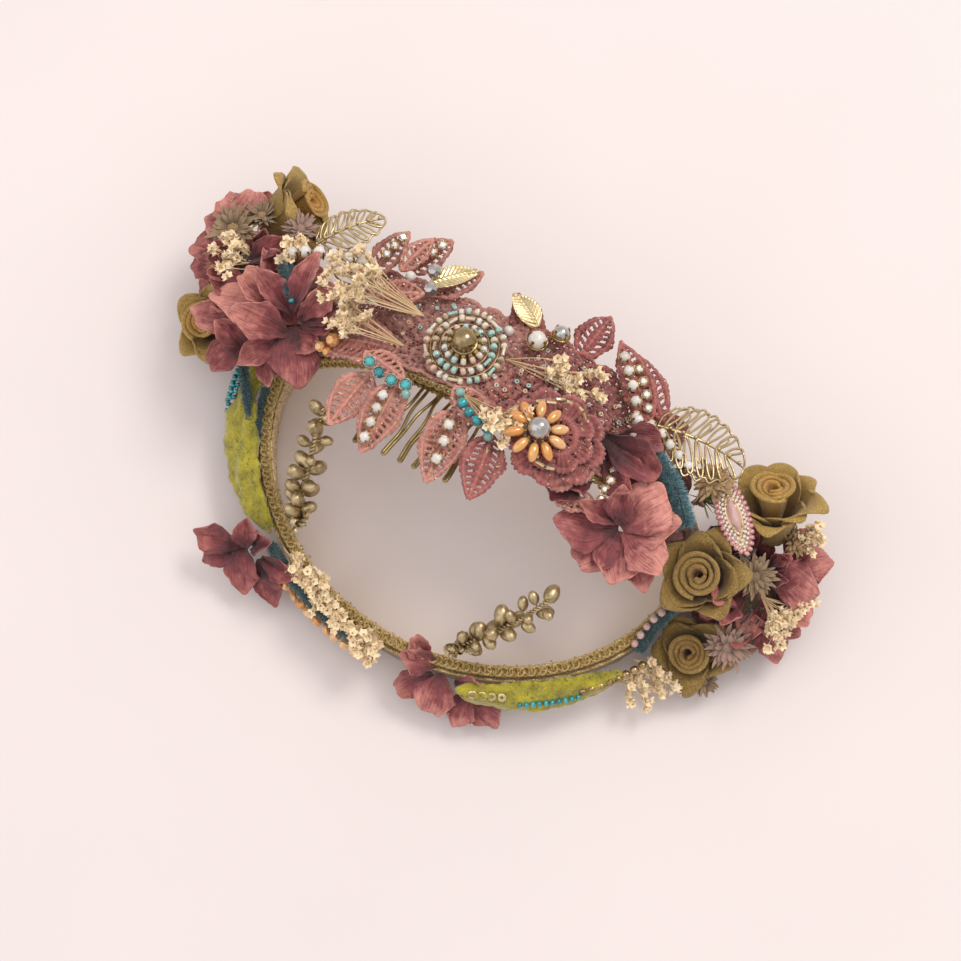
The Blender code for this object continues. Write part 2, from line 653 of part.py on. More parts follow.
    # The cluster at the -X foot
    add_lathe(
        "stem_bundle_right",
        (-81.0, -8.0, 12.0),
        (0.0, 0.0, 1.0),
        [(0.0, -12.0), (9.0, -12.0), (12.5, -3.0), (11.5, 5.0), (7.0, 8.0), (0.0, 9.0)],
        bundle,
        12,
        0.08,
        4,
    )
    add_rose("rose_right_front", (-80.5, -24.5, 20.5), (-72.5, -34.5, 37.5), 9.0, mustard)
    add_rose("rose_right_middle", (-69.5, -3.5, 25.0), (-66.2, 0.0, 38.5), 9.6, mustard)
    add_rose("rose_right_back", (-75.5, 12.0, 4.5), (-74.5, 16.0, 16.0), 8.0, mustard)
    add_floret("floret_right_large", (-42.5, 1.0, 46.0), (-0.2, 0.15, 1.0), 14.5, petal, 0.6)
    add_floret("floret_right_front", (-35.0, -19.0, 45.3), (-0.4, -0.2, 0.9), 11.5, petal, 0.2)
    add_floret("floret_right_outer", (-90.5, -17.5, 19.5), (-0.4, -0.2, 0.9), 11.5, petal, 0.5)
    add_leaf("filigree_leaf_right", (-38.0, -31.5, 38.5), (-62.8, -33.5, 33.5), 15.0, 0.8, brass, bow=2.5)
    add_leaf("navette_brooch", (-74.5, -9.8, 32.5), (-64.2, -26.0, 34.5), 9.0, 2.6, blush, bow=0.2, cup=-0.4)
    add_daisy("daisy_right", (-82.5, -4.5, 28.0), (-0.3, 0.1, 1.0), 7.5, straw)
    add_spray("spray_right", (-82.0, 1.0, 24.5), (-95.0, 1.5, 18.0), 12.0, 3.0, cream, facing=(-0.5, 0.2, 0.9))

    # The back of the loop
    add_wrapped_leaf("felt_leaf_left", (66.0, 4.0), (50.0, 33.0), (3.2, 9.2), (13.0, 3.0), 1.0, felt)
    add_wrapped_leaf("felt_leaf_back", (-23.5, 53.0), (-58.0, 27.0), (2.2, 9.6), (9.2, 4.0), 1.0, felt)
    add_floret("floret_back_left", (51.5, 45.5, 8.5), (0.45, 0.6, 0.65), 12.0, petal, 0.3)
    add_floret("floret_back", (-13.0, 58.0, 8.0), (-0.15, 0.8, 0.6), 9.5, petal, 0.7)
    row = along_loop((36.0, 46.0), (6.0, 54.0), 3, [5.5, 5.5, 5.0], [0.0, 0.0, 0.0])
    add_bead_row("amber_row", row, 9, 1.6, amber)
    fan = along_loop((38.0, 45.0), (8.0, 54.0), 3, [4.5, 5.5, 5.0], [7.0, 6.5, 6.5])
    add_spray("spray_back", fan[0], fan[2], 8.0, 2.4, cream, facing=(0.0, 0.6, 0.8))
    add_sprig("berry_sprig_left", [(37.0, 39.8, 19.5), (40.5, 28.0, 27.0), (43.8, 10.0, 42.0)], brass)
    add_sprig("berry_sprig_right", [(-15.5, 48.0, 19.5), (-25.5, 39.0, 26.0), (-35.4, 25.4, 40.0)], brass)


clear_scene()
build()
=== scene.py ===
"""Flower crown, dressed: lace, beads, dried flowers, folded rosebuds and trims built over the measured loop.

Lengths are in millimetres around the loop's centre until a mesh is made; every mesh then sits in metres in
the frame of the measured model. Each group of parts is a class with its sizes as fields and methods that
build it.
"""

import json
import logging
import math
from dataclasses import dataclass, field
from enum import Enum
from typing import Iterable, Optional, Sequence

import bpy
import numpy as np
from mathutils import Matrix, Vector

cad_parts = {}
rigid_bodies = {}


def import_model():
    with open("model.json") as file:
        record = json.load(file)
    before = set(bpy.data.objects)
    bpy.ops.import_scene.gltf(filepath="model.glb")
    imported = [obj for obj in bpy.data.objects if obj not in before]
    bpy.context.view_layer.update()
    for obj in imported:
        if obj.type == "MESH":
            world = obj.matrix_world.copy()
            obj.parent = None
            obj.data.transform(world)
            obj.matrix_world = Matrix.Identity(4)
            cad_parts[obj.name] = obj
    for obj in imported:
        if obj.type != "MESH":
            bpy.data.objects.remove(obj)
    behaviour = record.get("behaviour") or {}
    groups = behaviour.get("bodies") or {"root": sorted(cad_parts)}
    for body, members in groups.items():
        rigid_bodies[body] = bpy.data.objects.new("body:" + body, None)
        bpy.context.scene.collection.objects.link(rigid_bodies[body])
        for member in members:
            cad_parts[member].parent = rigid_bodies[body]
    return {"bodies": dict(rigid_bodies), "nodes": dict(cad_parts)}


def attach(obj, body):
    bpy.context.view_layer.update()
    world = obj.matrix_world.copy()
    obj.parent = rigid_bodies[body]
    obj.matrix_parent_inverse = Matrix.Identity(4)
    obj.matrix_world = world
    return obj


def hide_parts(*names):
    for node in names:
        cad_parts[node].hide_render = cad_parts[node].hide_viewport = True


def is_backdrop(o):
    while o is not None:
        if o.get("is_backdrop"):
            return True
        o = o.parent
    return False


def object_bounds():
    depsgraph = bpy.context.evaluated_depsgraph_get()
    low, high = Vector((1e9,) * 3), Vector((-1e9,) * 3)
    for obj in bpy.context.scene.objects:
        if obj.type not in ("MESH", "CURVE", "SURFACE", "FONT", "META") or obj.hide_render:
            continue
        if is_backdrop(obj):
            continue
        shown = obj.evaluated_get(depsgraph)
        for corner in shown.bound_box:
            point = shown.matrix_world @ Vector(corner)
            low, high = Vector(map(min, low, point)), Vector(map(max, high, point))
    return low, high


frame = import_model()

Array = np.ndarray
Colour = tuple[float, float, float]
Place = tuple[float, float, float]

MM = 0.001
SHIFT = np.array([-3.0, -6.0, 0.0])
UP = (0.0, 0.0, 1.0)
FULL_TURN = 2.0 * math.pi
SMALLEST_CLOTH = 10.0

# The loop's path, as the measured model has it
LOOP_HALF_WIDTH = 65.0
LOOP_BACK_DEPTH = 56.0
LOOP_FRONT_DEPTH = 16.0
LOOP_CENTRE_Y = -2.0
LOOP_MID_HEIGHT = 7.0
ARCH_RISE = 42.0
ARCH_SQUARENESS = 2.6
ARCH_TILT = math.atan(0.45)
PATH_SAMPLES = 2400
PANEL_LIFT = 1.9
PANEL_END_LIFT = 6.0
PANEL_FLAT_X = 22.0

# The comb, as the measured model has it
COMB_X = 17.0
COMB_TEETH = 7
COMB_PITCH = 4.8
COMB_TOOTH_LENGTH = 25.5
COMB_FORK_LENGTH = 19.5
COMB_DEPTH = 6.9
COMB_SIDE = 6.0

log = logging.getLogger("crown")


# ---------------------------------------------------------------- shapes


def unit(vectors: Array) -> Array:
    """Returns vectors scaled to length one along their last axis."""
    vectors = np.asarray(vectors, dtype=float)
    return vectors / np.maximum(np.linalg.norm(vectors, axis=-1, keepdims=True), 1e-12)


@dataclass
class Shape:
    """Points in millimetres with faces and three numbers at each point that the finishes read.

    tint varies from piece to piece, along runs the length of a petal, leaf or thread, and across runs over
    it or marks its veins; on lace, across is the height of the relief, which the lace finish paints as
    highlight on raised threads and shade on the low net.
    """

    points: Array
    quads: Array = field(default_factory=lambda: np.zeros((0, 4), dtype=np.int64))
    tris: Array = field(default_factory=lambda: np.zeros((0, 3), dtype=np.int64))
    tint: Optional[Array] = None
    along: Optional[Array] = None
    across: Optional[Array] = None

    def __post_init__(self) -> None:
        """Fills the numbers that were not given with zeros."""
        self.points = np.asarray(self.points, dtype=float).reshape(-1, 3)
        for name in ("tint", "along", "across"):
            value = getattr(self, name)
            value = 0.0 if value is None else value
            filled = np.broadcast_to(np.asarray(value, dtype=float).ravel(), (len(self.points),)) \
                if np.size(value) == 1 else np.asarray(value, dtype=float).ravel()
            setattr(self, name, filled)


def joined(shapes: Iterable[Shape]) -> Shape:
    """Returns one shape that holds all the given ones, with the face numbers moved on by the points before
    them."""
    shapes = list(shapes)
    starts = np.cumsum([0] + [len(s.points) for s in shapes])
    return Shape(
        np.concatenate([s.points for s in shapes]),
        np.concatenate([s.quads + n for s, n in zip(shapes, starts)]),
        np.concatenate([s.tris + n for s, n in zip(shapes, starts)]),
        np.concatenate([s.tint for s in shapes]),
        np.concatenate([s.along for s in shapes]),
        np.concatenate([s.across for s in shapes]),
    )


def grid_quads(rows: int, columns: int, wrap_rows: bool = False, wrap_columns: bool = False) -> Array:
    """Returns the quads of points stored row by row, joined round where a direction wraps."""
    i = np.arange(rows if wrap_rows else rows - 1)[:, None]
    j = np.arange(columns if wrap_columns else columns - 1)[None, :]
    below = (i + 1) % rows
    right = (j + 1) % columns
    corners = [i * columns + j, i * columns + right, below * columns + right, below * columns + j]
    return np.stack([np.broadcast_to(c, (i.size, j.size)) for c in corners], axis=-1).reshape(-1, 4)


def surface(points: Array, tint: float = 0.0, along: Optional[Array] = None, across: Optional[Array] = None,
            wrap_rows: bool = False, wrap_columns: bool = False, keep: Optional[Array] = None) -> Shape:
    """Makes a shape from a (rows, columns, 3) grid of points.

    Args:
        points: the grid.
        tint: one number for the whole sheet.
        along, across: numbers at each point of the grid.
        wrap_rows, wrap_columns: whether the grid closes on itself.
        keep: for each quad, whether it stays; the others are holes.

    Returns:
        The sheet.
    """
    rows, columns = points.shape[:2]
    quads = grid_quads(rows, columns, wrap_rows, wrap_columns)
    if keep is None:
        return Shape(points, quads, tint=tint, along=along, across=across)
    quads = quads[keep.ravel()]
    used, numbered = np.unique(quads, return_inverse=True)
    flat = [None if v is None else np.asarray(v, dtype=float).ravel()[used] for v in (along, across)]
    return Shape(points.reshape(-1, 3)[used], numbered.reshape(-1, 4), tint=tint, along=flat[0],
                 across=flat[1])


def turned(profile: Sequence[tuple[float, float]], segments: int) -> Shape:
    """Turns a profile of (radius, height) about Z: x = r cos a, y = r sin a, z = h. Ends on the axis close
    to a pole."""
    profile_array = np.asarray(profile, dtype=float)
    angle = np.arange(segments) * FULL_TURN / segments
    low_pole = profile_array[0, 0] < 1e-6
    high_pole = profile_array[-1, 0] < 1e-6
    body = profile_array[1 if low_pole else 0:len(profile_array) - (1 if high_pole else 0)]
    rows = len(body)
    ring = np.stack([
        body[:, :1] * np.cos(angle), body[:, :1] * np.sin(angle),
        np.broadcast_to(body[:, 1:], (rows, segments))
    ], axis=-1)
    points = ring.reshape(-1, 3)
    quads = grid_quads(rows, segments, wrap_columns=True)
    k = np.arange(segments)
    after = (k + 1) % segments
    tris = []
    if low_pole:
        tris.append(np.stack([np.full(segments, len(points)), after, k], axis=1))
        points = np.vstack([points, [[0.0, 0.0, profile_array[0, 1]]]])
    if high_pole:
        top = (rows - 1) * segments
        tris.append(np.stack([top + k, top + after, np.full(segments, len(points))], axis=1))
        points = np.vstack([points, [[0.0, 0.0, profile_array[-1, 1]]]])
    return Shape(points, quads, np.concatenate(tris) if tris else np.zeros((0, 3), dtype=np.int64))


def ring_bead(hole: float, height: float, segments: int = 8, sides: int = 5) -> Shape:
    """Returns a bead of radius one with a hole: a rounded section carried round the hole."""
    angle = np.arange(segments) * FULL_TURN / segments
    turn = np.arange(sides) * FULL_TURN / sides
    reach = 0.5 * (1.0 + hole) + 0.5 * (1.0 - hole) * np.cos(turn)
    lift = 0.5 * height * np.sin(turn)
    points = np.stack([
        np.cos(angle)[:, None] * reach, np.sin(angle)[:, None] * reach,
        np.broadcast_to(lift, (segments, sides))
    ], axis=-1)
    return surface(points, wrap_rows=True, wrap_columns=True)


def ball(segments: int = 14, rows: int = 8, stretch: float = 1.0) -> Shape:
    """Returns a ball of radius one, stretched along Z: radius sin a, height -cos a."""
    turn = np.linspace(0.0, math.pi, rows + 1)
    profile = np.stack([np.sin(turn), -np.cos(turn) * stretch], axis=1)
    profile[[0, -1], 0] = 0.0
    return turned([tuple(p) for p in profile], segments)


ROUND_BEAD = ball(16, 10)
SMALL_BEAD = ball(8, 5)
SEED_BEAD = ring_bead(0.36, 1.35)
RICE_BEAD = ball(8, 7, 1.9)
BUGLE_BEAD = turned([(0.45, -2.6), (0.95, -2.6), (1.0, -2.3), (1.0, 2.3), (0.95, 2.6), (0.45, 2.6)], 7)
CUT_BEAD = turned([(0.0, -0.86), (0.55, -0.80), (0.95, -0.32), (0.95, 0.32), (0.55, 0.80), (0.0, 0.86)], 7)
CUT_STONE = turned([(0.0, -0.5), (1.0, 0.15), (0.96, 0.28), (0.52, 0.62), (0.0, 0.64)], 8)
STONE_CUP = turned([
    (0.0, -0.62), (0.70, -0.60), (1.12, 0.10), (1.16, 0.32), (1.04, 0.34), (0.98, 0.10), (0.6, -0.45),
                    (0.0, -0.48)], 10)
PEARL_CUP = turned([
    (0.0, -1.02), (0.55, -0.98), (1.06, -0.35), (1.10, -0.12), (1.00, -0.14), (0.9, -0.4), (0.0, -0.8)],
                   12)


def facing_frames(facings: Array, spins: Array) -> tuple[Array, Array]:
    """Returns two directions square to each facing one, turned round it by the spins."""
    helper = np.where(np.abs(facings[:, :1]) < 0.8, [[1.0, 0.0, 0.0]], [[0.0, 1.0, 0.0]])
    side = unit(np.cross(helper, facings))
    other = np.cross(facings, side)
    cos, sin = np.cos(spins)[:, None], np.sin(spins)[:, None]
    return side * cos + other * sin, other * cos - side * sin


def scattered(template: Shape, places: Array, facings: Array, sizes: Array | float = 1.0,
              spins: Array | float = 0.0, tints: Array | float = 0.0) -> Shape:
    """Copies a template to many places: place + size (x side + y other + z facing), in one array.

    Args:
        template: the shape to copy, around its own origin with Z as its axis.
        places: where each copy goes.
        facings: where each copy's Z points.
        sizes: one size, one for each copy, or (copies, 3) for its three directions.
        spins: how far each copy turns about its Z.
        tints: the tint number of each copy.

    Returns:
        All the copies as one shape.
    """
    places = np.atleast_2d(np.asarray(places, dtype=float))
    count = len(places)
    facings = unit(np.broadcast_to(np.asarray(facings, dtype=float), (count, 3)))
    sizes = np.asarray(sizes, dtype=float)
    sizes = np.broadcast_to(sizes[:, None] if sizes.ndim == 1 else sizes, (count, 3))
    side, other = facing_frames(facings, np.broadcast_to(np.asarray(spins, dtype=float), (count,)))
    local = template.points[None, :, :] * sizes[:, None, :]
    points = (
        places[:, None, :]
        + local[..., :1] * side[:, None, :]
        + local[..., 1:2] * other[:, None, :]
        + local[..., 2:] * facings[:, None, :]
    )
    step = (np.arange(count) * len(template.points))[:, None, None]
    return Shape(
        points.reshape(-1, 3),
        (template.quads[None] + step).reshape(-1, 4),
        (template.tris[None] + step).reshape(-1, 3),
        np.repeat(np.broadcast_to(np.asarray(tints, dtype=float), (count,)), len(template.points)),
        np.tile(template.along, count),
        np.tile(template.across, count),
    )


def tubes(lines: Array, radii: Array | float, sides: int = 6, tints: Array | float = 0.0,
          closed: bool = False) -> Shape:
    """Carries a round section along many lines at once.

    At each point the ring is line + r (side cos a + other sin a), where side is square to the line and to
    the axis that the line runs along least. The ends of open lines close to a pole.

    Args:
        lines: (count, points, 3).
        radii: one radius, or (count, points).
        sides: how many sides the section has.
        tints: the tint number of each line.
        closed: whether each line joins its own start.

    Returns:
        All the tubes as one shape, with along running from 0 to 1.
    """
    lines = np.asarray(lines, dtype=float)
    if lines.ndim == 2:
        lines = lines[None]
    count, length = lines.shape[:2]
    if closed:
        step = np.roll(lines, -1, axis=1) - np.roll(lines, 1, axis=1)
    else:
        step = np.gradient(lines, axis=1)
    step = unit(step)
    least = np.argmin(np.abs(step).max(axis=1), axis=1)
    helper = np.eye(3)[least][:, None, :]
    side = unit(np.cross(step, np.broadcast_to(helper, step.shape)))
    other = np.cross(step, side)
    angle = np.arange(sides) * FULL_TURN / sides
    reach = np.broadcast_to(np.asarray(radii, dtype=float), (count, length))[:, :, None]
    rings = (
        lines[:, :, None, :]
        + side[:, :, None, :] * (reach * np.cos(angle))[..., None]
        + other[:, :, None, :] * (reach * np.sin(angle))[..., None]
    )
    ring_points = rings.reshape(count, -1, 3)
    quads = grid_quads(length, sides, wrap_rows=closed, wrap_columns=True)
    share = np.repeat(np.linspace(0.0, 1.0, length), sides)
    turn = np.tile(angle / FULL_TURN, length)
    per = length * sides
    tris = np.zeros((0, 3), dtype=np.int64)
    points = ring_points
    if not closed:
        k = np.arange(sides)
        after = (k + 1) % sides
        first = np.stack([np.full(sides, per), k, after], axis=1)
        last = np.stack([per - sides + after, per - sides + k, np.full(sides, per + 1)], axis=1)
        tris = np.concatenate([first, last])
        points = np.concatenate([ring_points, lines[:, :1], lines[:, -1:]], axis=1)
        share = np.append(share, [0.0, 1.0])
        turn = np.append(turn, [0.0, 0.0])
        per += 2
    offset = (np.arange(count) * per)[:, None, None]
    return Shape(
        points.reshape(-1, 3),
        (quads[None] + offset).reshape(-1, 4),
        (tris[None] + offset).reshape(-1, 3),
        np.repeat(np.broadcast_to(np.asarray(tints, dtype=float), (count,)), per),
        np.tile(share, count),
        np.tile(turn, count),
    )


def smooth_line(places: Sequence[Place] | Array, count: int, closed: bool = False) -> Array:
    """Returns points on the smooth curve through the places: a cubic between neighbours, with slopes from
    both sides."""
    places = np.asarray(places, dtype=float)
    if closed:
        places = np.vstack([places, places[:1]])
    knots = np.append(0.0, np.cumsum(np.linalg.norm(np.diff(places, axis=0), axis=1)))
    slopes = np.gradient(places, knots, axis=0)
    if closed:
        slopes[0] = slopes[-1] = 0.5 * (slopes[0] + slopes[-1])
    at = np.linspace(0.0, knots[-1], count + 1)[:-1] if closed else np.linspace(0.0, knots[-1], count)
    cell = np.clip(np.searchsorted(knots, at, side="right") - 1, 0, len(knots) - 2)
    width = (knots[cell + 1] - knots[cell])[:, None]
    t = ((at - knots[cell])[:, None]) / width
    return (
        places[cell] * (2 * t ** 3 - 3 * t ** 2 + 1)
        + slopes[cell] * width * (t ** 3 - 2 * t ** 2 + t)
        + places[cell + 1] * (3 * t ** 2 - 2 * t ** 3)
        + slopes[cell + 1] * width * (t ** 3 - t ** 2)
    )


def spaced(line: Array, gap: float) -> tuple[Array, Array]:
    """Returns points at even gaps on a line, and the line's direction at each."""
    knots = np.append(0.0, np.cumsum(np.linalg.norm(np.diff(line, axis=0), axis=1)))
    count = max(2, int(round(knots[-1] / gap)) + 1)
    at = np.linspace(0.0, knots[-1], count)
    points = np.stack([np.interp(at, knots, line[:, k]) for k in range(3)], axis=1)
    return points, unit(np.gradient(points, axis=0))


def waves(u: Array, v: Array, size: float, seed: int) -> Array:
    """Returns smooth unevenness of about -1 to 1: five sine waves of random direction and phase, added."""
    rng = np.random.default_rng(seed)
    total = np.zeros(np.broadcast_shapes(np.shape(u), np.shape(v)))
    for octave in range(5):
        angle = rng.uniform(0.0, FULL_TURN)
        rate = FULL_TURN / size * (0.7 + 0.45 * octave)
        total = total + np.sin(rate * (u * math.cos(angle) + v * math.sin(angle))
                               + rng.uniform(0.0, FULL_TURN)) \
            / (1.0 + 0.6 * octave)
    return total / 2.4


# ---------------------------------------------------------------- the loop


def loop_path() -> Array:
    """Returns points round the loop from the +X foot: half an ellipse behind, then an arch in a squarish
    curve."""
    turn = np.linspace(0.0, math.pi, PATH_SAMPLES)
    back = np.stack([
        LOOP_HALF_WIDTH * np.cos(turn),
        LOOP_CENTRE_Y + LOOP_BACK_DEPTH * np.sin(turn),
        np.full_like(turn, LOOP_MID_HEIGHT),
    ], axis=1)
    sweep = np.linspace(math.pi, FULL_TURN, PATH_SAMPLES)[1:-1]
    power = 2.0 / ARCH_SQUARENESS
    x = LOOP_HALF_WIDTH * np.sign(np.cos(sweep)) * np.abs(np.cos(sweep)) ** power
    y = LOOP_CENTRE_Y - LOOP_FRONT_DEPTH * np.abs(np.sin(sweep)) ** power
    z = LOOP_MID_HEIGHT + ARCH_RISE * (1.0 - (x / LOOP_HALF_WIDTH) ** 2)
    return np.concatenate([back, np.stack([x, y, z], axis=1)])


PATH = loop_path()
PATH_STEP = np.linalg.norm(np.roll(PATH, -1, axis=0) - PATH, axis=1)
PATH_LENGTH = float(PATH_STEP.sum())
PATH_AT = np.concatenate([[0.0], np.cumsum(PATH_STEP)[:-1]])


def path_point(distance: Array) -> Array:
    """Returns the points at distances along the loop."""
    at = np.append(PATH_AT, PATH_LENGTH)
    closed = np.vstack([PATH, PATH[:1]])
    distance = np.mod(distance, PATH_LENGTH)
    return np.stack([np.interp(distance, at, closed[:, k]) for k in range(3)], axis=-1)


def loop_frame(distance: Array | float) -> tuple[Array, Array, Array, Array]:
    """Returns the point, and the directions along, out and across the loop, at distances along it."""
    distance = np.asarray(distance, dtype=float)
    point = path_point(distance)
    span = 4.0
    along = unit(path_point(distance + span) - path_point(distance - span))
    rise = np.clip((point[..., 2] - LOOP_MID_HEIGHT) / ARCH_RISE, 0.0, 1.0)[..., None]
    share = rise * rise * (3.0 - 2.0 * rise)
    leaning = np.array([0.0, -math.sin(ARCH_TILT), math.cos(ARCH_TILT)])
    front_out = point[..., :1] / LOOP_HALF_WIDTH * np.array([1.0, 0.0, 0.0]) + leaning * share
    back_out = np.cross(along, np.array(UP))
    out = np.where(point[..., 1:2] >= LOOP_CENTRE_Y, back_out, front_out)
    out = unit(out - along * np.sum(out * along, axis=-1, keepdims=True))
    return point, along, out, np.cross(out, along)


def distance_at(x: float, y: float) -> float:
    """Returns the distance along the loop whose plan position is nearest to x, y."""
    return float(PATH_AT[int(np.argmin((PATH[:, 0] - x) ** 2 + (PATH[:, 1] - y) ** 2))])


def arch_distance(x: Array | float) -> Array:
    """Returns the distance along the loop at which the arch is over x."""
    arch = PATH[PATH_SAMPLES:]
    order = np.argsort(arch[:, 0])
    return np.interp(x, arch[order, 0], PATH_AT[PATH_SAMPLES:][order])


def on_arch(x: Array | float, out_by: Array | float, wide_by: Array | float) -> tuple[Array, Array]:
    """Returns points over the arch, out and across from its path at x, and the direction out there."""
    point, _, out, across = loop_frame(arch_distance(x))
    return point + out * np.asarray(out_by)[..., None] + across * np.asarray(wide_by)[..., None], out


def on_loop(start: tuple[float, float], end: tuple[float, float], count: int, out_by: Array | float,
            wide_by: Array | float) -> tuple[Array, Array]:
    """Returns points along the loop between two plan positions, moved out and across, and the direction out
    there."""
    point, _, out, across = loop_frame(np.linspace(distance_at(*start), distance_at(*end), count))
    out_by = np.broadcast_to(np.asarray(out_by, dtype=float), (count,))[:, None]
    wide_by = np.broadcast_to(np.asarray(wide_by, dtype=float), (count,))[:, None]
    return point + out * out_by + across * wide_by, out


# ---------------------------------------------------------------- finishes


class Graph:
    """A material's nodes, with short ways to add and join them."""

    def __init__(self, name: str) -> None:
        """Starts a material that holds one principled shader."""
        self.material = bpy.data.materials.new(name)
        self.material.use_nodes = True
        self.tree = self.material.node_tree
        self.shader = self.tree.nodes["Principled BSDF"]

    def put(self, socket: bpy.types.NodeSocket, value: object) -> None:
        """Joins a socket to another one, or sets its number."""
        if isinstance(value, bpy.types.NodeSocket):
            self.tree.links.new(value, socket)
        else:
            socket.default_value = value

    def node(self, kind: str, inputs: Optional[dict] = None, **settings: object) -> bpy.types.Node:
        """Adds a node, sets its settings and its inputs by name or number, and returns it."""
        made = self.tree.nodes.new(kind)
        for name, value in settings.items():
            setattr(made, name, value)
        for name, value in (inputs or {}).items():
            self.put(made.inputs[name], value)
        return made

    def set(self, **inputs: object) -> None:
        """Sets the shader's sockets; a name's underscores stand for spaces."""
        for name, value in inputs.items():
            self.put(self.shader.inputs[name.replace("_", " ")], value)

    def attribute(self, name: str) -> bpy.types.NodeSocket:
        """Returns the number that the mesh keeps at each point under a name."""
        return self.node("ShaderNodeAttribute", attribute_name=name).outputs["Fac"]

    def place(self) -> bpy.types.NodeSocket:
        """Returns the place on the object."""
        return self.node("ShaderNodeTexCoord").outputs["Object"]

    def math(self, operation: str, first: object, second: object = 0.0,
             clamp: bool = False) -> bpy.types.NodeSocket:
        """Returns the result of a sum on one or two numbers."""
        made = self.node("ShaderNodeMath", {0: first, 1: second}, operation=operation)
        made.use_clamp = clamp
        return made.outputs[0]

    def noise(self, scale: float, detail: float = 3.0, vector: Optional[object] = None,
              roughness: float = 0.5) -> bpy.types.NodeSocket:
        """Returns soft noise at a scale, over the object unless another place is given."""
        inputs = {"Vector": vector or self.place(), "Scale": scale, "Detail": detail, "Roughness": roughness}
        return self.node("ShaderNodeTexNoise", inputs).outputs["Fac"]

    def cells(self, scale: float, output: str = "Color") -> bpy.types.NodeSocket:
        """Returns the random colour or the distance of cells over the object."""
        return self.node("ShaderNodeTexVoronoi", {"Vector": self.place(), "Scale": scale}).outputs[output]

    def ramp(self, value: object, stops: Sequence[tuple[float, Colour]],
             steps: bool = False) -> bpy.types.NodeSocket:
        """Returns the colour that a ramp gives a number."""
        made = self.node("ShaderNodeValToRGB", {"Fac": value})
        ramp = made.color_ramp
        ramp.interpolation = "CONSTANT" if steps else "LINEAR"
        while len(ramp.elements) < len(stops):
            ramp.elements.new(0.5)
        for element, (at, colour) in zip(ramp.elements, stops):
            element.position = at
            element.color = (*colour, 1.0)
        return made.outputs["Color"]

    def range(self, value: object, low: float, high: float, to_low: float,
              to_high: float) -> bpy.types.NodeSocket:
        """Returns a number carried from one range to another and kept within it."""
        inputs = {"Value": value, "From Min": low, "From Max": high, "To Min": to_low, "To Max": to_high}
        return self.node("ShaderNodeMapRange", inputs).outputs["Result"]

    def mix(self, share: object, first: object, second: object, blend: str = "MIX") -> bpy.types.NodeSocket:
        """Returns two colours mixed."""
        made = self.node("ShaderNodeMix", data_type="RGBA", blend_type=blend)
        for socket, value in ((made.inputs[0], share), (made.inputs[6], first), (made.inputs[7], second)):
            value = (*value, 1.0) if isinstance(value, tuple) and len(value) == 3 else value
            self.put(socket, value)
        return made.outputs[2]

    def bump(self, height: object, strength: float, depth: float, under: Optional[object] = None) -> object:
        """Returns the normal that a height in millimetres gives, over another bump where there is one."""
        inputs = {"Strength": strength, "Distance": depth * MM, "Height": height}
        if under is not None:
            inputs["Normal"] = under
        return self.node("ShaderNodeBump", inputs).outputs["Normal"]


@dataclass(frozen=True)
class Finish:
    """What every finish has: a name, and the slot of the measured model's record that it belongs to, which
    is not used.
    """

    name: str
    slot: str

    def material(self) -> bpy.types.Material:
        """Returns the finish's material, made once."""
        own_name = self.name + "_finish"
        known = bpy.data.materials.get(own_name)
        if known is not None:
            return known
        graph = Graph(own_name)
        self.paint(graph)
        return graph.material

    def paint(self, graph: Graph) -> None:
        """Fills in the material's nodes."""
        raise NotImplementedError


@dataclass(frozen=True)
class LaceFinish(Finish):
    """Stitched lace: satin threads in two shades, with a little metal thread among them."""

    deep: Colour = (0.4, 0.1, 0.1)
    light: Colour = (0.8, 0.4, 0.35)
    sparkle: float = 0.95

    def paint(self, graph: Graph) -> None:
        """Stitches are a fine wave over the distance along; the metal thread is a scatter of bright cells.
        The relief height in across paints the raised cords paler, a painted highlight, and the low net
        darker, painted shade."""
        patch = graph.noise(260.0, 4.0)
        thread = graph.noise(1500.0, 2.0)
        shade = graph.math("ADD", graph.math("MULTIPLY", patch, 0.75), graph.math("MULTIPLY", thread, 0.45))
        shade = graph.math("ADD", shade, graph.math("MULTIPLY", graph.attribute("tint"), 0.22))
        # painted highlight and shade: the relief height in across makes raised cords and bosses paler and
        # the low net darker
        raised_relief_light = graph.attribute("across")
        shade = graph.math("ADD", shade, graph.math("MULTIPLY", raised_relief_light, 0.28))
        base = graph.ramp(shade, [(0.36, self.deep), (0.62, tuple(0.5 * (a + b) for a, b in
                                                                 zip(self.deep, self.light))), (0.92,
                                                                                                self.light)])
        fleck = graph.node("ShaderNodeSeparateColor", {"Color": graph.cells(2300.0)})
        glint = graph.math("GREATER_THAN", fleck.outputs[0], self.sparkle)
        gold = (0.85, 0.58, 0.34)
        stitch = graph.math("SINE", graph.math("MULTIPLY", graph.attribute("along"), 17.0))
        rough = graph.math("MULTIPLY", graph.noise(3200.0, 2.0), 1.0)
        normal = graph.bump(graph.math("ADD", stitch, graph.math("MULTIPLY", rough, 1.8)), 0.75, 0.11)
        graph.set(
            Base_Color=graph.mix(glint, base, gold),
            Metallic=graph.math("MULTIPLY", glint, 0.85),
            Roughness=graph.range(glint, 0.0, 1.0, 0.86, 0.28),
            Normal=normal,
            Specular_IOR_Level=0.25,
            Sheen_Weight=0.30,
            Sheen_Roughness=0.4,
        )


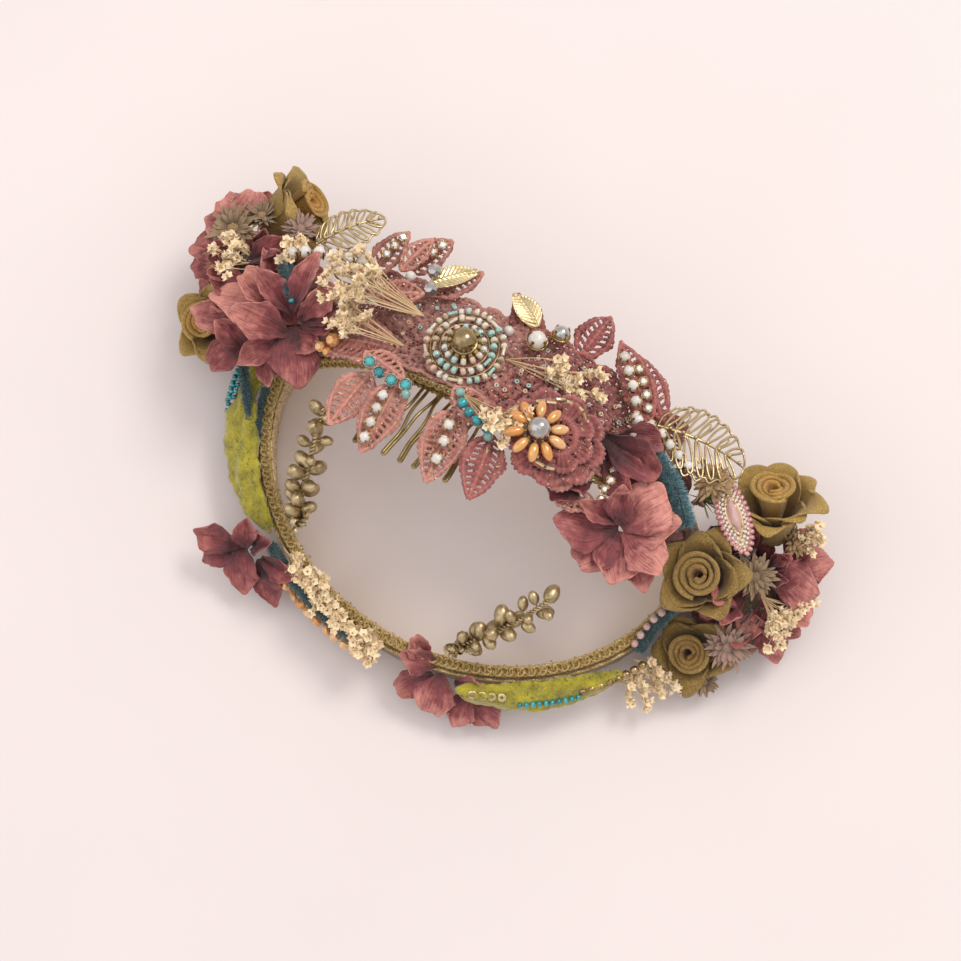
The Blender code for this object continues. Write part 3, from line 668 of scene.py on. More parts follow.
@dataclass(frozen=True)
class PetalFinish(Finish):
    """A dried petal: darker at the root and along its veins, paler at the edge, mottled all over; the dark
    root is partly painted shade and the pale edge partly painted light, over the petal's own colour.
    """

    root: Colour = (0.2, 0.05, 0.06)
    body: Colour = (0.4, 0.12, 0.13)
    edge: Colour = (0.6, 0.26, 0.24)

    def paint(self, graph: Graph) -> None:
        """The colour runs along the petal, shifted by its tint and by mottling; fine veins fan out and
        darken it."""
        mottle = graph.noise(300.0, 5.0, roughness=0.62)
        fan = graph.node("ShaderNodeCombineXYZ", {0: graph.math("MULTIPLY", graph.attribute("across"), 13.0),
                                                  1: graph.math("MULTIPLY", graph.attribute("along"),
                                                                2.2)}).outputs[0]
        streak = graph.noise(1.0, 4.0, fan, 0.6)
        run = graph.math("ADD", graph.math("MULTIPLY", graph.attribute("along"), 0.75),
                         graph.math("MULTIPLY", graph.math("SUBTRACT", mottle, 0.5), 1.1))
        run = graph.math("ADD", run, graph.math("MULTIPLY", graph.attribute("tint"), 0.26))
        run = graph.math("ADD", run, graph.math("MULTIPLY", graph.math("SUBTRACT", streak, 0.5), 0.7))
        # partly painted light: the ramp runs from a near-black root, partly painted shade, to a pale edge,
        # partly painted light
        colour = graph.ramp(run, [(0.05, self.root), (0.48, self.body), (1.0, self.edge)])
        veins = graph.range(streak, 0.30, 0.46, 0.55, 0.0)
        colour = graph.mix(veins, colour, self.root)
        speck = graph.range(graph.noise(1500.0, 2.0), 0.64, 0.76, 0.0, 0.4)
        colour = graph.mix(speck, colour, tuple(0.5 * c for c in self.body))
        papery = graph.math("ADD", graph.noise(2400.0, 3.0), graph.math("MULTIPLY", streak, 3.2))
        graph.set(
            Base_Color=colour,
            Roughness=graph.range(mottle, 0.3, 0.7, 0.48, 0.72),
            Normal=graph.bump(papery, 0.75, 0.16),
            Sheen_Weight=0.15,
            Subsurface_Weight=0.06,
            Subsurface_Scale=0.0006,
        )


@dataclass(frozen=True)
class SuedeFinish(Finish):
    """A rosebud's folded suede petals: fibrous streaks up the petal, darker at the foot, paler rolled rims
    that are a painted highlight, orange within.
    """

    low: Colour = (0.125, 0.075, 0.016)
    body: Colour = (0.345, 0.215, 0.045)
    # rim: the pale colour of the rolled rims, a painted highlight where they catch the light
    rim: Colour = (0.60, 0.40, 0.11)
    heart: Colour = (0.80, 0.28, 0.020)

    def paint(self, graph: Graph) -> None:
        """The streaks are noise drawn out along the petal; tint carries the colour towards the heart's."""
        run, round_it = graph.attribute("along"), graph.attribute("across")
        vector = graph.node("ShaderNodeCombineXYZ", {0: graph.math("MULTIPLY", round_it, 22.0),
                                                    1: graph.math("MULTIPLY", run, 3.0)}).outputs[0]
        streak = graph.noise(2.2, 5.0, vector, 0.65)
        patch = graph.noise(220.0, 3.0)
        shade = graph.math("ADD", run, graph.math("MULTIPLY", graph.math("SUBTRACT", streak, 0.5), 0.9))
        shade = graph.math("ADD", shade, graph.math("MULTIPLY", graph.math("SUBTRACT", patch, 0.5), 0.6))
        # painted highlight: each petal runs from the low colour at its foot to the pale rim colour at its
        # rolled top
        colour = graph.ramp(shade, [(0.05, self.low), (0.55, self.body), (0.95, self.rim)])
        colour = graph.mix(graph.attribute("tint"), colour,
                           graph.mix(graph.math("MULTIPLY", patch, 0.35), self.heart, self.rim))
        speckle = graph.range(graph.noise(2100.0, 3.0, roughness=0.7), 0.35, 0.68, 0.0, 1.0)
        colour = graph.mix(speckle, tuple(0.74 * c for c in self.body), colour)
        fuzz = graph.math("ADD", graph.math("MULTIPLY", streak, 2.0), graph.noise(2800.0, 3.0))
        graph.set(
            Base_Color=colour,
            Roughness=0.74,
            Normal=graph.bump(fuzz, 0.8, 0.2),
            Sheen_Weight=0.22,
            Sheen_Roughness=0.4,
        )


@dataclass(frozen=True)
class MetalFinish(Finish):
    """Aged metal: bright where it wears, dark and duller where it has tarnished."""

    bright: Colour = (0.62, 0.45, 0.2)
    dark: Colour = (0.16, 0.1, 0.05)
    polish: float = 0.3
    tarnish: float = 0.5

    def paint(self, graph: Graph) -> None:
        """Tarnish is two scales of noise; it darkens the metal and roughens it."""
        patch = graph.math("ADD", graph.math("MULTIPLY", graph.noise(420.0, 5.0, roughness=0.6), 0.7),
                           graph.math("MULTIPLY", graph.noise(2400.0, 2.0), 0.3))
        worn = graph.range(patch, 0.62 - 0.3 * self.tarnish, 0.72 - 0.3 * self.tarnish + 0.1, 0.0, 1.0)
        graph.set(
            Base_Color=graph.mix(worn, self.bright, self.dark),
            Metallic=1.0,
            Roughness=graph.range(worn, 0.0, 1.0, self.polish, self.polish + 0.28),
            Normal=graph.bump(graph.noise(1600.0, 3.0), 0.25, 0.06),
        )


@dataclass(frozen=True)
class BeadFinish(Finish):
    """Glass, lustre or pearl beads: each takes a colour by its tint, with a clear shiny skin."""

    colours: tuple[Colour, ...] = ((0.8, 0.8, 0.8),)
    roughness: float = 0.14
    coat: float = 0.6
    clear: float = 0.0
    lustre: float = 0.0

    def paint(self, graph: Graph) -> None:
        """The tint picks the colour in equal steps; faint clouds vary it within a bead."""
        count = len(self.colours)
        stops = [(n / count, c) for n, c in enumerate(self.colours)]
        colour = graph.ramp(graph.attribute("tint"), stops, steps=True) if count > 1 else self.colours[0]
        cloud = graph.range(graph.noise(900.0, 3.0), 0.35, 0.7, 0.0, 0.32)
        shaded = graph.mix(cloud, colour, tuple(0.6 * c for c in self.colours[0]), "MULTIPLY")
        graph.set(
            Base_Color=shaded,
            Roughness=graph.range(graph.noise(1500.0, 2.0), 0.3, 0.7, self.roughness, self.roughness + 0.12),
            Metallic=self.lustre,
            Transmission_Weight=self.clear,
            Coat_Weight=self.coat,
            Coat_Roughness=0.06,
            Normal=graph.bump(graph.noise(1100.0, 2.0), 0.15, 0.05),
        )


@dataclass(frozen=True)
class FibreFinish(Finish):
    """Felt, yarn, chenille and bound stems: mottled fibres with flecks of another colour."""

    deep: Colour = (0.1, 0.1, 0.02)
    light: Colour = (0.4, 0.4, 0.08)
    fleck: Colour = (0.5, 0.4, 0.1)
    flecks: float = 0.3
    scale: float = 900.0

    def paint(self, graph: Graph) -> None:
        """Two scales of noise pick between the shades, a third scatters the flecks, and all three raise the
        nap."""
        broad = graph.noise(0.3 * self.scale, 4.0, roughness=0.6)
        fine = graph.noise(2.2 * self.scale, 3.0, roughness=0.7)
        shade = graph.math("ADD", graph.math("MULTIPLY", broad, 0.6), graph.math("MULTIPLY", fine, 0.4))
        shade = graph.math("ADD", shade, graph.math("MULTIPLY", graph.attribute("tint"), 0.25))
        colour = graph.ramp(shade, [(0.36, self.deep), (0.66, self.light)])
        spot = graph.range(graph.noise(self.scale, 2.0), 0.74 - 0.3 * self.flecks, 0.80 - 0.3 * self.flecks,
                           0.0, 0.8)
        graph.set(
            Base_Color=graph.mix(spot, colour, self.fleck),
            Roughness=0.88,
            Normal=graph.bump(graph.math("ADD", fine, graph.math("MULTIPLY", broad, 1.5)), 0.8, 0.2),
            Sheen_Weight=0.6,
            Sheen_Roughness=0.5,
        )


@dataclass(frozen=True)
class DriedFinish(Finish):
    """Dried stems and flower heads: papery, paler towards the tips, with brown specks."""

    stem: Colour = (0.3, 0.2, 0.08)
    tip: Colour = (0.8, 0.7, 0.45)
    speck: Colour = (0.25, 0.13, 0.05)

    def paint(self, graph: Graph) -> None:
        """The colour runs along each part and shifts with its tint; noise adds specks and a papery
        surface."""
        run = graph.math("ADD", graph.attribute("along"),
                         graph.math("MULTIPLY", graph.attribute("tint"), 0.35))
        colour = graph.ramp(run, [(0.05, self.stem), (0.7, self.tip)])
        spot = graph.range(graph.noise(1500.0, 3.0), 0.60, 0.75, 0.0, 0.45)
        graph.set(
            Base_Color=graph.mix(spot, colour, self.speck),
            Roughness=0.82,
            Normal=graph.bump(graph.noise(2600.0, 3.0), 0.5, 0.1),
            Sheen_Weight=0.2,
            Subsurface_Weight=0.05,
            Subsurface_Scale=0.0005,
        )


@dataclass(frozen=True)
class GlitterFinish(Finish):
    """Metal thread and glitter: small cells that each face their own way, so that some flash and some stay
    dark."""

    bright: Colour = (0.85, 0.66, 0.32)
    dull: Colour = (0.35, 0.22, 0.08)
    grain: float = 1600.0
    twist: float = 0.0

    def paint(self, graph: Graph) -> None:
        """Each cell's random colour tilts the surface and picks its shade; twist adds slanting thread
        ridges."""
        cell = graph.cells(self.grain)
        parts = graph.node("ShaderNodeSeparateColor", {"Color": cell})
        colour = graph.mix(parts.outputs[1], self.dull, self.bright)
        height = parts.outputs[0]
        if self.twist:
            slant = graph.math("ADD", graph.math("MULTIPLY", graph.attribute("along"), self.twist),
                               graph.math("MULTIPLY", graph.attribute("across"), FULL_TURN * 2.0))
            height = graph.math("ADD", height, graph.math("MULTIPLY", graph.math("SINE", slant), 1.2))
        graph.set(
            Base_Color=colour,
            Metallic=0.5,
            Roughness=graph.range(parts.outputs[2], 0.0, 1.0, 0.22, 0.6),
            Normal=graph.bump(height, 0.8, 0.12),
        )


@dataclass(frozen=True)
class WeaveFinish(Finish):
    """Woven tape or sewing thread: threads across threads, in soft mottled colour."""

    colour: Colour = (0.5, 0.4, 0.3)
    pitch: float = 0.5

    def paint(self, graph: Graph) -> None:
        """Threads are two waves at right angles over the sheet's own directions."""
        rate = FULL_TURN / self.pitch
        one = graph.math("SINE", graph.math("MULTIPLY", graph.attribute("along"), rate))
        two = graph.math("SINE", graph.math("MULTIPLY", graph.attribute("across"), rate))
        weave = graph.math("MULTIPLY", one, two)
        patch = graph.noise(300.0, 4.0)
        shade = graph.math("ADD", graph.math("MULTIPLY", weave, 0.12), patch)
        dark, light = tuple(0.45 * c for c in self.colour), tuple(min(1.0, 1.35 * c) for c in self.colour)
        graph.set(
            Base_Color=graph.ramp(shade, [(0.3, dark), (0.72, light)]),
            Roughness=0.85,
            Normal=graph.bump(weave, 0.5, 0.1),
            Sheen_Weight=0.3,
        )


@dataclass(frozen=True)
class FloorFinish(Finish):
    """The plain pale floor: a faint, broad unevenness of tone."""

    colour: Colour = (0.82, 0.8, 0.83)

    def paint(self, graph: Graph) -> None:
        """Noise a few centimetres across shifts the tone very slightly."""
        tone = graph.noise(9.0, 3.0)
        graph.set(
            Base_Color=graph.ramp(tone, [(0.3, tuple(0.97 * c for c in self.colour)), (0.7, self.colour)]),
            Roughness=0.7,
            Specular_IOR_Level=0.2,
        )


class Looks:
    """Every finish that the crown wears."""

    LACE_SALMON = LaceFinish("lace_salmon", "lace_salmon", (0.27, 0.082, 0.066), (0.74, 0.335, 0.265), 0.965)
    LACE_MAUVE = LaceFinish("lace_mauve", "lace_mauve", (0.14, 0.033, 0.036), (0.54, 0.175, 0.155), 0.97)
    LACE_DEEP = LaceFinish("lace_deep", "lace_mauve", (0.165, 0.036, 0.036), (0.62, 0.205, 0.170), 0.96)
    # The petal finishes run from a dark root, partly painted shade, to a pale edge, partly painted light.
    PETAL_ROSE = PetalFinish("petal_rose",
                             "petal", (0.065, 0.013, 0.015), (0.27, 0.056, 0.060), (0.70, 0.295, 0.235))
    PETAL_DEEP = PetalFinish("petal_deep",
                             "petal", (0.042, 0.010, 0.012), (0.205, 0.038, 0.044), (0.54, 0.175, 0.145))
    PETAL_DUSTY = PetalFinish("petal_dusty",
                              "petal", (0.10, 0.035, 0.03), (0.29, 0.12, 0.10), (0.50, 0.27, 0.21))
    # The suede finishes' rim colour is a painted highlight on the rolled petal rims.
    SUEDE_OCHRE = SuedeFinish("suede_ochre", "rose")
    SUEDE_BROWN = SuedeFinish("suede_brown", "rose", (0.075, 0.044, 0.012), (0.235, 0.145, 0.032),
                              (0.48, 0.31, 0.085), (0.55, 0.17, 0.02))
    BRASS_OLD = MetalFinish("brass_old", "brass", (0.52, 0.38, 0.18), (0.15, 0.10, 0.05), 0.28, 0.6)
    BRONZE_BEAD = MetalFinish("bronze_bead", "brass", (0.36, 0.27, 0.14), (0.15, 0.10, 0.05), 0.18, 0.35)
    BRASS_WIRE = MetalFinish("brass_wire", "brass", (0.60, 0.43, 0.20), (0.26, 0.17, 0.08), 0.24, 0.45)
    COMB = MetalFinish("comb_brass", "brass", (0.40, 0.31, 0.14), (0.17, 0.125, 0.055), 0.34, 0.5)
    GOLD_LEAF = MetalFinish("gold_leaf", "stamped_brass", (0.80, 0.66, 0.38), (0.36, 0.25, 0.11), 0.32, 0.35)
    STEEL = MetalFinish("steel_bound", "steel_wire", (0.55, 0.50, 0.43), (0.28, 0.22, 0.16), 0.35, 0.5)
    BERRY = MetalFinish("berry_bronze", "brass", (0.56, 0.445, 0.255), (0.26, 0.20, 0.115), 0.40, 0.5)
    FILIGREE = MetalFinish("filigree_gold", "brass", (0.60, 0.475, 0.27), (0.28, 0.20, 0.10), 0.30, 0.4)
    TURQUOISE = BeadFinish("turquoise", "turquoise", ((0.02, 0.34, 0.37), (0.06, 0.46, 0.47), (0.012, 0.24,
                                                                                               0.28)),
                           0.10, 0.9, lustre=0.25)
    PEARL = BeadFinish("pearl", "pearl", ((0.72, 0.68, 0.62), (0.76, 0.72, 0.68), (0.66, 0.60, 0.54)), 0.20,
                       0.55)
    SILVER_PEARL = BeadFinish("silver_pearl", "silver_pearl", ((0.50, 0.49, 0.48), (0.58, 0.57, 0.56)),
                              0.12, 0.8,
                              lustre=0.85)
    AMBER = BeadFinish("amber", "amber_bead", ((0.80, 0.42, 0.14), (0.84, 0.50, 0.22), (0.74, 0.34, 0.09)),
                       0.14, 0.8, lustre=0.25)
    MIXED_SEEDS = BeadFinish("mixed_seeds", "seed_beads", (
        (0.74, 0.66, 0.52), (0.30, 0.56, 0.50), (0.80, 0.50, 0.34), (0.82, 0.78, 0.70), (0.52, 0.30, 0.14),
        (0.52, 0.50, 0.40), (0.80, 0.62, 0.40), (0.36, 0.27, 0.17)), 0.10, 0.9, clear=0.25)
    MEDALLION_SEEDS = BeadFinish("medallion_seeds", "seed_beads", (
        (0.84, 0.78, 0.66), (0.42, 0.72, 0.64), (0.88, 0.62, 0.44), (0.88, 0.86, 0.80), (0.80, 0.70, 0.50),
        (0.50, 0.74, 0.66), (0.90, 0.76, 0.56), (0.56, 0.42, 0.26)), 0.08, 0.9, clear=0.3)
    GOLD_BEAD = BeadFinish("gold_bead", "seed_beads", ((0.52, 0.42, 0.22), (0.66, 0.56, 0.34)), 0.12, 0.8,
                           lustre=0.6)
    PINK_SEED = BeadFinish("pink_seed", "seed_beads", ((0.58, 0.22, 0.24), (0.72, 0.36, 0.36)), 0.14, 0.8,
                           lustre=0.2)
    CRYSTAL = BeadFinish("crystal", "seed_beads", ((0.92, 0.90, 0.88), (0.95, 0.86, 0.76)), 0.05, 1.0,
                         lustre=0.35)
    CHAMPAGNE = BeadFinish("champagne_stone",
                           "seed_beads", ((0.80, 0.66, 0.58), (0.90, 0.80, 0.72), (0.56, 0.40, 0.34)),
                           0.05, 1.0, lustre=0.5)
    BLUSH = BeadFinish("blush_stone", "blush_stone", ((0.84, 0.54, 0.50), (0.90, 0.64, 0.58)), 0.03, 1.0,
                       clear=0.35)
    FELT = FibreFinish("felt_olive", "felt", (0.155, 0.135, 0.008), (0.51, 0.43, 0.022), (0.10, 0.09, 0.02),
                       0.35, 800.0)
    CHENILLE = FibreFinish("chenille_teal", "bound_stems", (0.035, 0.14, 0.165), (0.21, 0.43, 0.48),
                           (0.30, 0.50, 0.54), 0.25, 700.0)
    CHENILLE_DARK = FibreFinish("chenille_dark", "bound_stems", (0.018, 0.060, 0.065), (0.09, 0.215, 0.22),
                                (0.10, 0.14, 0.10), 0.2, 700.0)
    STEMS = FibreFinish("bound_stems", "bound_stems", (0.020, 0.015, 0.008), (0.10, 0.070,
                                                                              0.032), (0.20, 0.14, 0.07),
                        0.3, 600.0)
    SPRAY = DriedFinish("dried_spray", "dried_spray", (0.58, 0.40, 0.20), (0.96, 0.80, 0.55), (0.60, 0.40,
                                                                                               0.19))
    DAISY = DriedFinish("dried_daisy", "dried_daisy", (0.085, 0.052, 0.028), (0.31, 0.21,
                                                                              0.12), (0.05, 0.03, 0.018))
    DAISY_PINK = DriedFinish("dried_daisy_pink", "dried_daisy", (0.11, 0.066, 0.05), (0.38, 0.245, 0.19),
                             (0.07, 0.03, 0.02))
    DAISY_TAN = DriedFinish("dried_daisy_tan", "dried_daisy", (0.13, 0.075, 0.03), (0.42, 0.27, 0.13),
                            (0.09, 0.04, 0.015))
    GREEN = DriedFinish("dried_green", "dried_spray", (0.05, 0.07, 0.02), (0.22, 0.28, 0.09), (0.06, 0.05,
                                                                                               0.02))
    BRAID = GlitterFinish("gold_braid", "gold_braid", (0.95, 0.74, 0.34), (0.62, 0.41, 0.14), 2600.0, 160.0)
    GLITTER = GlitterFinish("gold_glitter", "glitter_ribbon", (0.95, 0.80, 0.50), (0.60, 0.44, 0.20), 1500.0)
    TAPE = WeaveFinish("covered_tape", "gauze", (0.27, 0.18, 0.09), 0.55)
    THREAD = WeaveFinish("sewing_thread", "thread", (0.50, 0.36, 0.22), 0.3)
    FLOOR = FloorFinish("floor", "thread", (0.80, 0.725, 0.705))


class Edge(Enum):
    """How a piece's faces are shaded."""

    SMOOTH = "smooth"
    CREASED = "creased"
    FACETED = "faceted"


def add_piece(name: str, shape: Shape, finish: Finish, replaces: Sequence[str] = (), body: str = "crown",
              wall: float = 0.0, edge: Edge = Edge.SMOOTH) -> bpy.types.Object:
    """Makes a mesh object from a shape, dresses it, and sets what it rides on and stands for.

    Args:
        name: the piece's name.
        shape: its points and faces, in millimetres around the loop's centre.
        finish: its material.
        replaces: the measured model's nodes that it stands for.
        body: the body that it moves with.
        wall: the thickness that an open sheet gets, in millimetres, half to each side.
        edge: how its faces are shaded.

    Returns:
        The object, at the origin, with its place in its mesh.
    """
    mesh = bpy.data.meshes.new(name)
    points = (shape.points + SHIFT) * MM
    loops = np.concatenate([shape.quads.ravel(), shape.tris.ravel()]).astype(np.int32)
    fours = len(shape.quads)
    starts = np.concatenate([np.arange(fours) * 4,
                             fours * 4 + np.arange(len(shape.tris)) * 3]).astype(np.int32)
    mesh.vertices.add(len(points))
    mesh.vertices.foreach_set("co", points.astype(np.float32).ravel())
    mesh.loops.add(len(loops))
    mesh.loops.foreach_set("vertex_index", loops)
    mesh.polygons.add(len(starts))
    mesh.polygons.foreach_set("loop_start", starts)
    mesh.update(calc_edges=True)
    for label in ("tint", "along", "across"):
        layer = mesh.attributes.new(label, "FLOAT", "POINT")
        layer.data.foreach_set("value", getattr(shape, label).astype(np.float32))
    mesh.validate()
    if edge is Edge.FACETED:
        mesh.shade_flat()
    else:
        mesh.shade_smooth()
    if edge is Edge.CREASED:
        mesh.set_sharp_from_angle(angle=math.radians(38.0))
    mesh.materials.append(finish.material())
    item = bpy.data.objects.new(name, mesh)
    bpy.context.scene.collection.objects.link(item)
    if wall > 0.0:
        thick = item.modifiers.new("wall", "SOLIDIFY")
        thick.thickness = wall * MM
        thick.offset = 0.0
    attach(item, body)
    if replaces:
        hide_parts(*replaces)
    log.info("%s: %d points, stands for %s", name, len(points), ", ".join(replaces) or "nothing")
    return item


# ---------------------------------------------------------------- sheets: petals, leaves and lace


PETAL_BREADTH = 1.16


@dataclass(frozen=True)
class Petal:
    """One petal: where it starts and ends, how wide it is, and how it bends."""

    base: Place
    tip: Place
    width: float
    facing: Place = UP
    bow: float = 1.2
    curl: float = 1.5
    cup: float = 1.2
    fold: float = 0.0
    point: float = 0.3
    waist: float = 0.22
    ruffle: float = 0.5
    tint: float = 0.5
    rolled: float = 0.5

    def shape(self, seed: int, rows: int = 22, columns: int = 27) -> Shape:
        """Works the petal out on a grid.

        With s from root to tip and t from side to side, the length is L (s - 0.26 |t|^p s^1.5), the half
        width rises from the waist and draws in at the end, and the height adds a bow 4 s (1 - s), an end
        curl (s - 0.55)^2, a cup t^2, a ruffle at the edges, crumpling and raised veins that fan from the
        root.

        Args:
            seed: picks the ruffle and the crumpling.
            rows, columns: the grid's size.

        Returns:
            The petal as an open sheet.
        """
        s, t = np.meshgrid(np.linspace(0.0, 1.0, rows), np.linspace(-1.0, 1.0, columns), indexing="ij")
        base, tip = np.array(self.base), np.array(self.tip)
        length = float(np.linalg.norm(tip - base))
        ahead = (tip - base) / length
        side = unit(np.cross(unit(self.facing), ahead))
        normal = np.cross(ahead, side)
        phase = np.random.default_rng(seed).uniform(0.0, FULL_TURN, 4)
        swell = self.waist + (1.0 - self.waist) * np.sin(0.5 * math.pi * np.minimum(1.0, s / 0.66)) ** 1.1
        swell = swell * (1.0 - 0.30 * np.clip((s - 0.66) / 0.34, 0.0, 1.0) ** 2)
        edge = 1.0 + 0.08 * np.sin(7.0 * s + 2.0 * np.sign(t) + phase[0]) * np.abs(t) \
            + 0.04 * np.sin(19.0 * s + phase[1]) * t ** 2
        lean = 0.16 * math.sin(phase[2]) * s ** 1.5
        sideways = 0.5 * PETAL_BREADTH * self.width * (t * swell * edge + lean)
        forward = length * (s - 0.26 * np.abs(t) ** (3.2 - 1.9 * self.point) * s ** 1.5
                            + 0.05 * np.sin(4.0 * t + phase[2]) * s ** 2)
        bent = t + 0.10 * np.sin(5.0 * s + phase[1])
        ribs = np.cos(FULL_TURN * (4.6 * bent + 0.25 * np.sin(6.0 * s + phase[3])))
        vein = (np.exp(-(bent / 0.06) ** 2) * (1.0 - 0.6 * s) - 0.45 * ribs) * np.clip(s * 4.0, 0.0, 1.0)
        height = (
            self.bow * 4.0 * s * (1.0 - s)
            + self.curl * np.clip((s - 0.55) / 0.45, 0.0, 1.0) ** 2
            + self.cup * t ** 2 * (0.35 + 0.65 * s)
            + self.ruffle * np.abs(t) ** 1.6 * s * np.sin(11.0 * s + 2.0 * np.sign(t) + phase[0])
            + (0.45 + 0.6 * self.ruffle) * waves(forward, sideways, 6.0, seed)
            + 0.28 * waves(forward, sideways, 2.6, seed + 900)
            - 0.16 * vein
            - self.rolled * np.abs(t) ** 4 * s
        )
        turned_in = sideways * math.cos(self.fold)
        height = height + np.abs(sideways) * math.sin(self.fold)
        points = (
            base + ahead * forward[..., None] + side * turned_in[..., None] + normal * height[..., None]
        )
        return surface(points, self.tint, s, bent + 2.7 * phase[0])


@dataclass(frozen=True)
class Leaf:
    """A stiff leaf outline from base to tip, shared by lace, stamped metal and felt leaves."""

    base: Place
    tip: Place
    width: float
    facing: Place = (0.0, -0.4, 0.9)
    bow: float = 1.0
    cup: float = 0.6
    blunt: float = 0.75
    seed: int = 0

    @property
    def length(self) -> float:
        """Returns the distance from base to tip."""
        return float(np.linalg.norm(np.array(self.tip) - np.array(self.base)))

    def grid(self, step: float) -> tuple[Array, Array, Array]:
        """Returns s along, t across, and the half width, with w = sin(pi s^0.85)^blunt, on a grid of a given
        step."""
        rows = int(self.length / step) + 1
        columns = 2 * int(0.5 * self.width / step) + 1
        s, t = np.meshgrid(np.linspace(0.0, 1.0, rows), np.linspace(-1.0, 1.0, columns), indexing="ij")
        return s, t, 0.5 * self.width * np.maximum(np.sin(math.pi * s ** 0.85) ** self.blunt, 0.10)

    def placed(self, s: Array, sideways: Array, lift: Array) -> Array:
        """Returns points at a share s of the length, moved sideways and lifted, on the bowed and cupped
        leaf."""
        base, tip = np.array(self.base), np.array(self.tip)
        ahead = unit(tip - base)
        side = unit(np.cross(np.array(self.facing), ahead))
        normal = np.cross(ahead, side)
        share = np.clip(np.abs(sideways) / (0.5 * self.width), 0.0, 1.0)
        height = self.bow * 4.0 * s * (1.0 - s) + self.cup * share ** 2 + lift
        return base + (tip - base) * s[..., None] + side * sideways[..., None] + normal * height[..., None]

    def normal(self) -> Array:
        """Returns the direction that the leaf's face looks in."""
        ahead = unit(np.array(self.tip) - np.array(self.base))
        side = unit(np.cross(np.array(self.facing), ahead))
        return np.cross(ahead, side)


def quad_means(values: Array) -> Array:
    """Returns the mean of a grid's numbers over each of its quads."""
    return 0.25 * (values[:-1, :-1] + values[1:, :-1] + values[:-1, 1:] + values[1:, 1:])


def lace_leaf(leaf: Leaf, step: float = 0.27) -> Shape:
    """Makes a lace leaf: a raised midrib and rim cord, slanting satin bars, and eyelets between them.

    With u and v in millimetres along and across, the relief is a cord exp(-(v / 0.45)^2) at the middle,
    another at the rim, and bars cos(u - 0.8 |v|); eyelets are left out where two rows of dots lie beside the
    midrib, and the rim swells into a picot every 1.5 mm.
    """
    s, t, half = leaf.grid(step)
    u = s * leaf.length
    lobes = 1.0 + 0.07 * np.sin(FULL_TURN * s * 2.3 + leaf.seed + np.sign(t))
    picot = lobes * (1.0 + 0.11 * np.abs(t) ** 5 * np.abs(np.sin(math.pi * u / 1.7)) ** 0.7)
    v = t * half * picot
    uneven = waves(u, v, 5.0, leaf.seed)
    rim = np.exp(-((np.abs(v) - half + 0.55) / 0.42) ** 2)
    rib = np.exp(-(v / 0.45) ** 2)
    bars = 0.5 + 0.5 * np.cos(FULL_TURN * (u - 0.4 * np.abs(v)) / 1.9)
    stitches = waves(u, v, 1.3, leaf.seed + 40)
    lift = 0.42 * rim + 0.36 * rib + 0.14 * bars + 0.22 * uneven + 0.16 * stitches
    um, vm, hm = quad_means(u), quad_means(v), quad_means(half)
    near = np.abs(np.mod(um - 0.4 * np.abs(vm), 1.9) - 0.95)
    row = np.abs(np.abs(vm) - np.clip(0.48 * hm, 1.0, None))
    hole = (near < 0.50) & (row < np.clip(0.24 * hm, 0.35, 0.75)) & (hm > 1.9)
    thread = np.where(rim + rib > 0.6, 0.9 * u / 1.0, 0.6 * (u - 0.85 * np.abs(v)) + 0.8 * np.abs(v))
    # relief also goes out as across, which the lace finish paints as highlight on the raised threads and
    # shade on the low net
    relief = np.clip(rim + rib + 0.5 * bars, 0.0, 1.5)
    return surface(leaf.placed(s, v, lift), float(np.random.default_rng(leaf.seed).uniform(-0.4, 0.6)),
                   thread, relief - 0.5, keep=~hole)


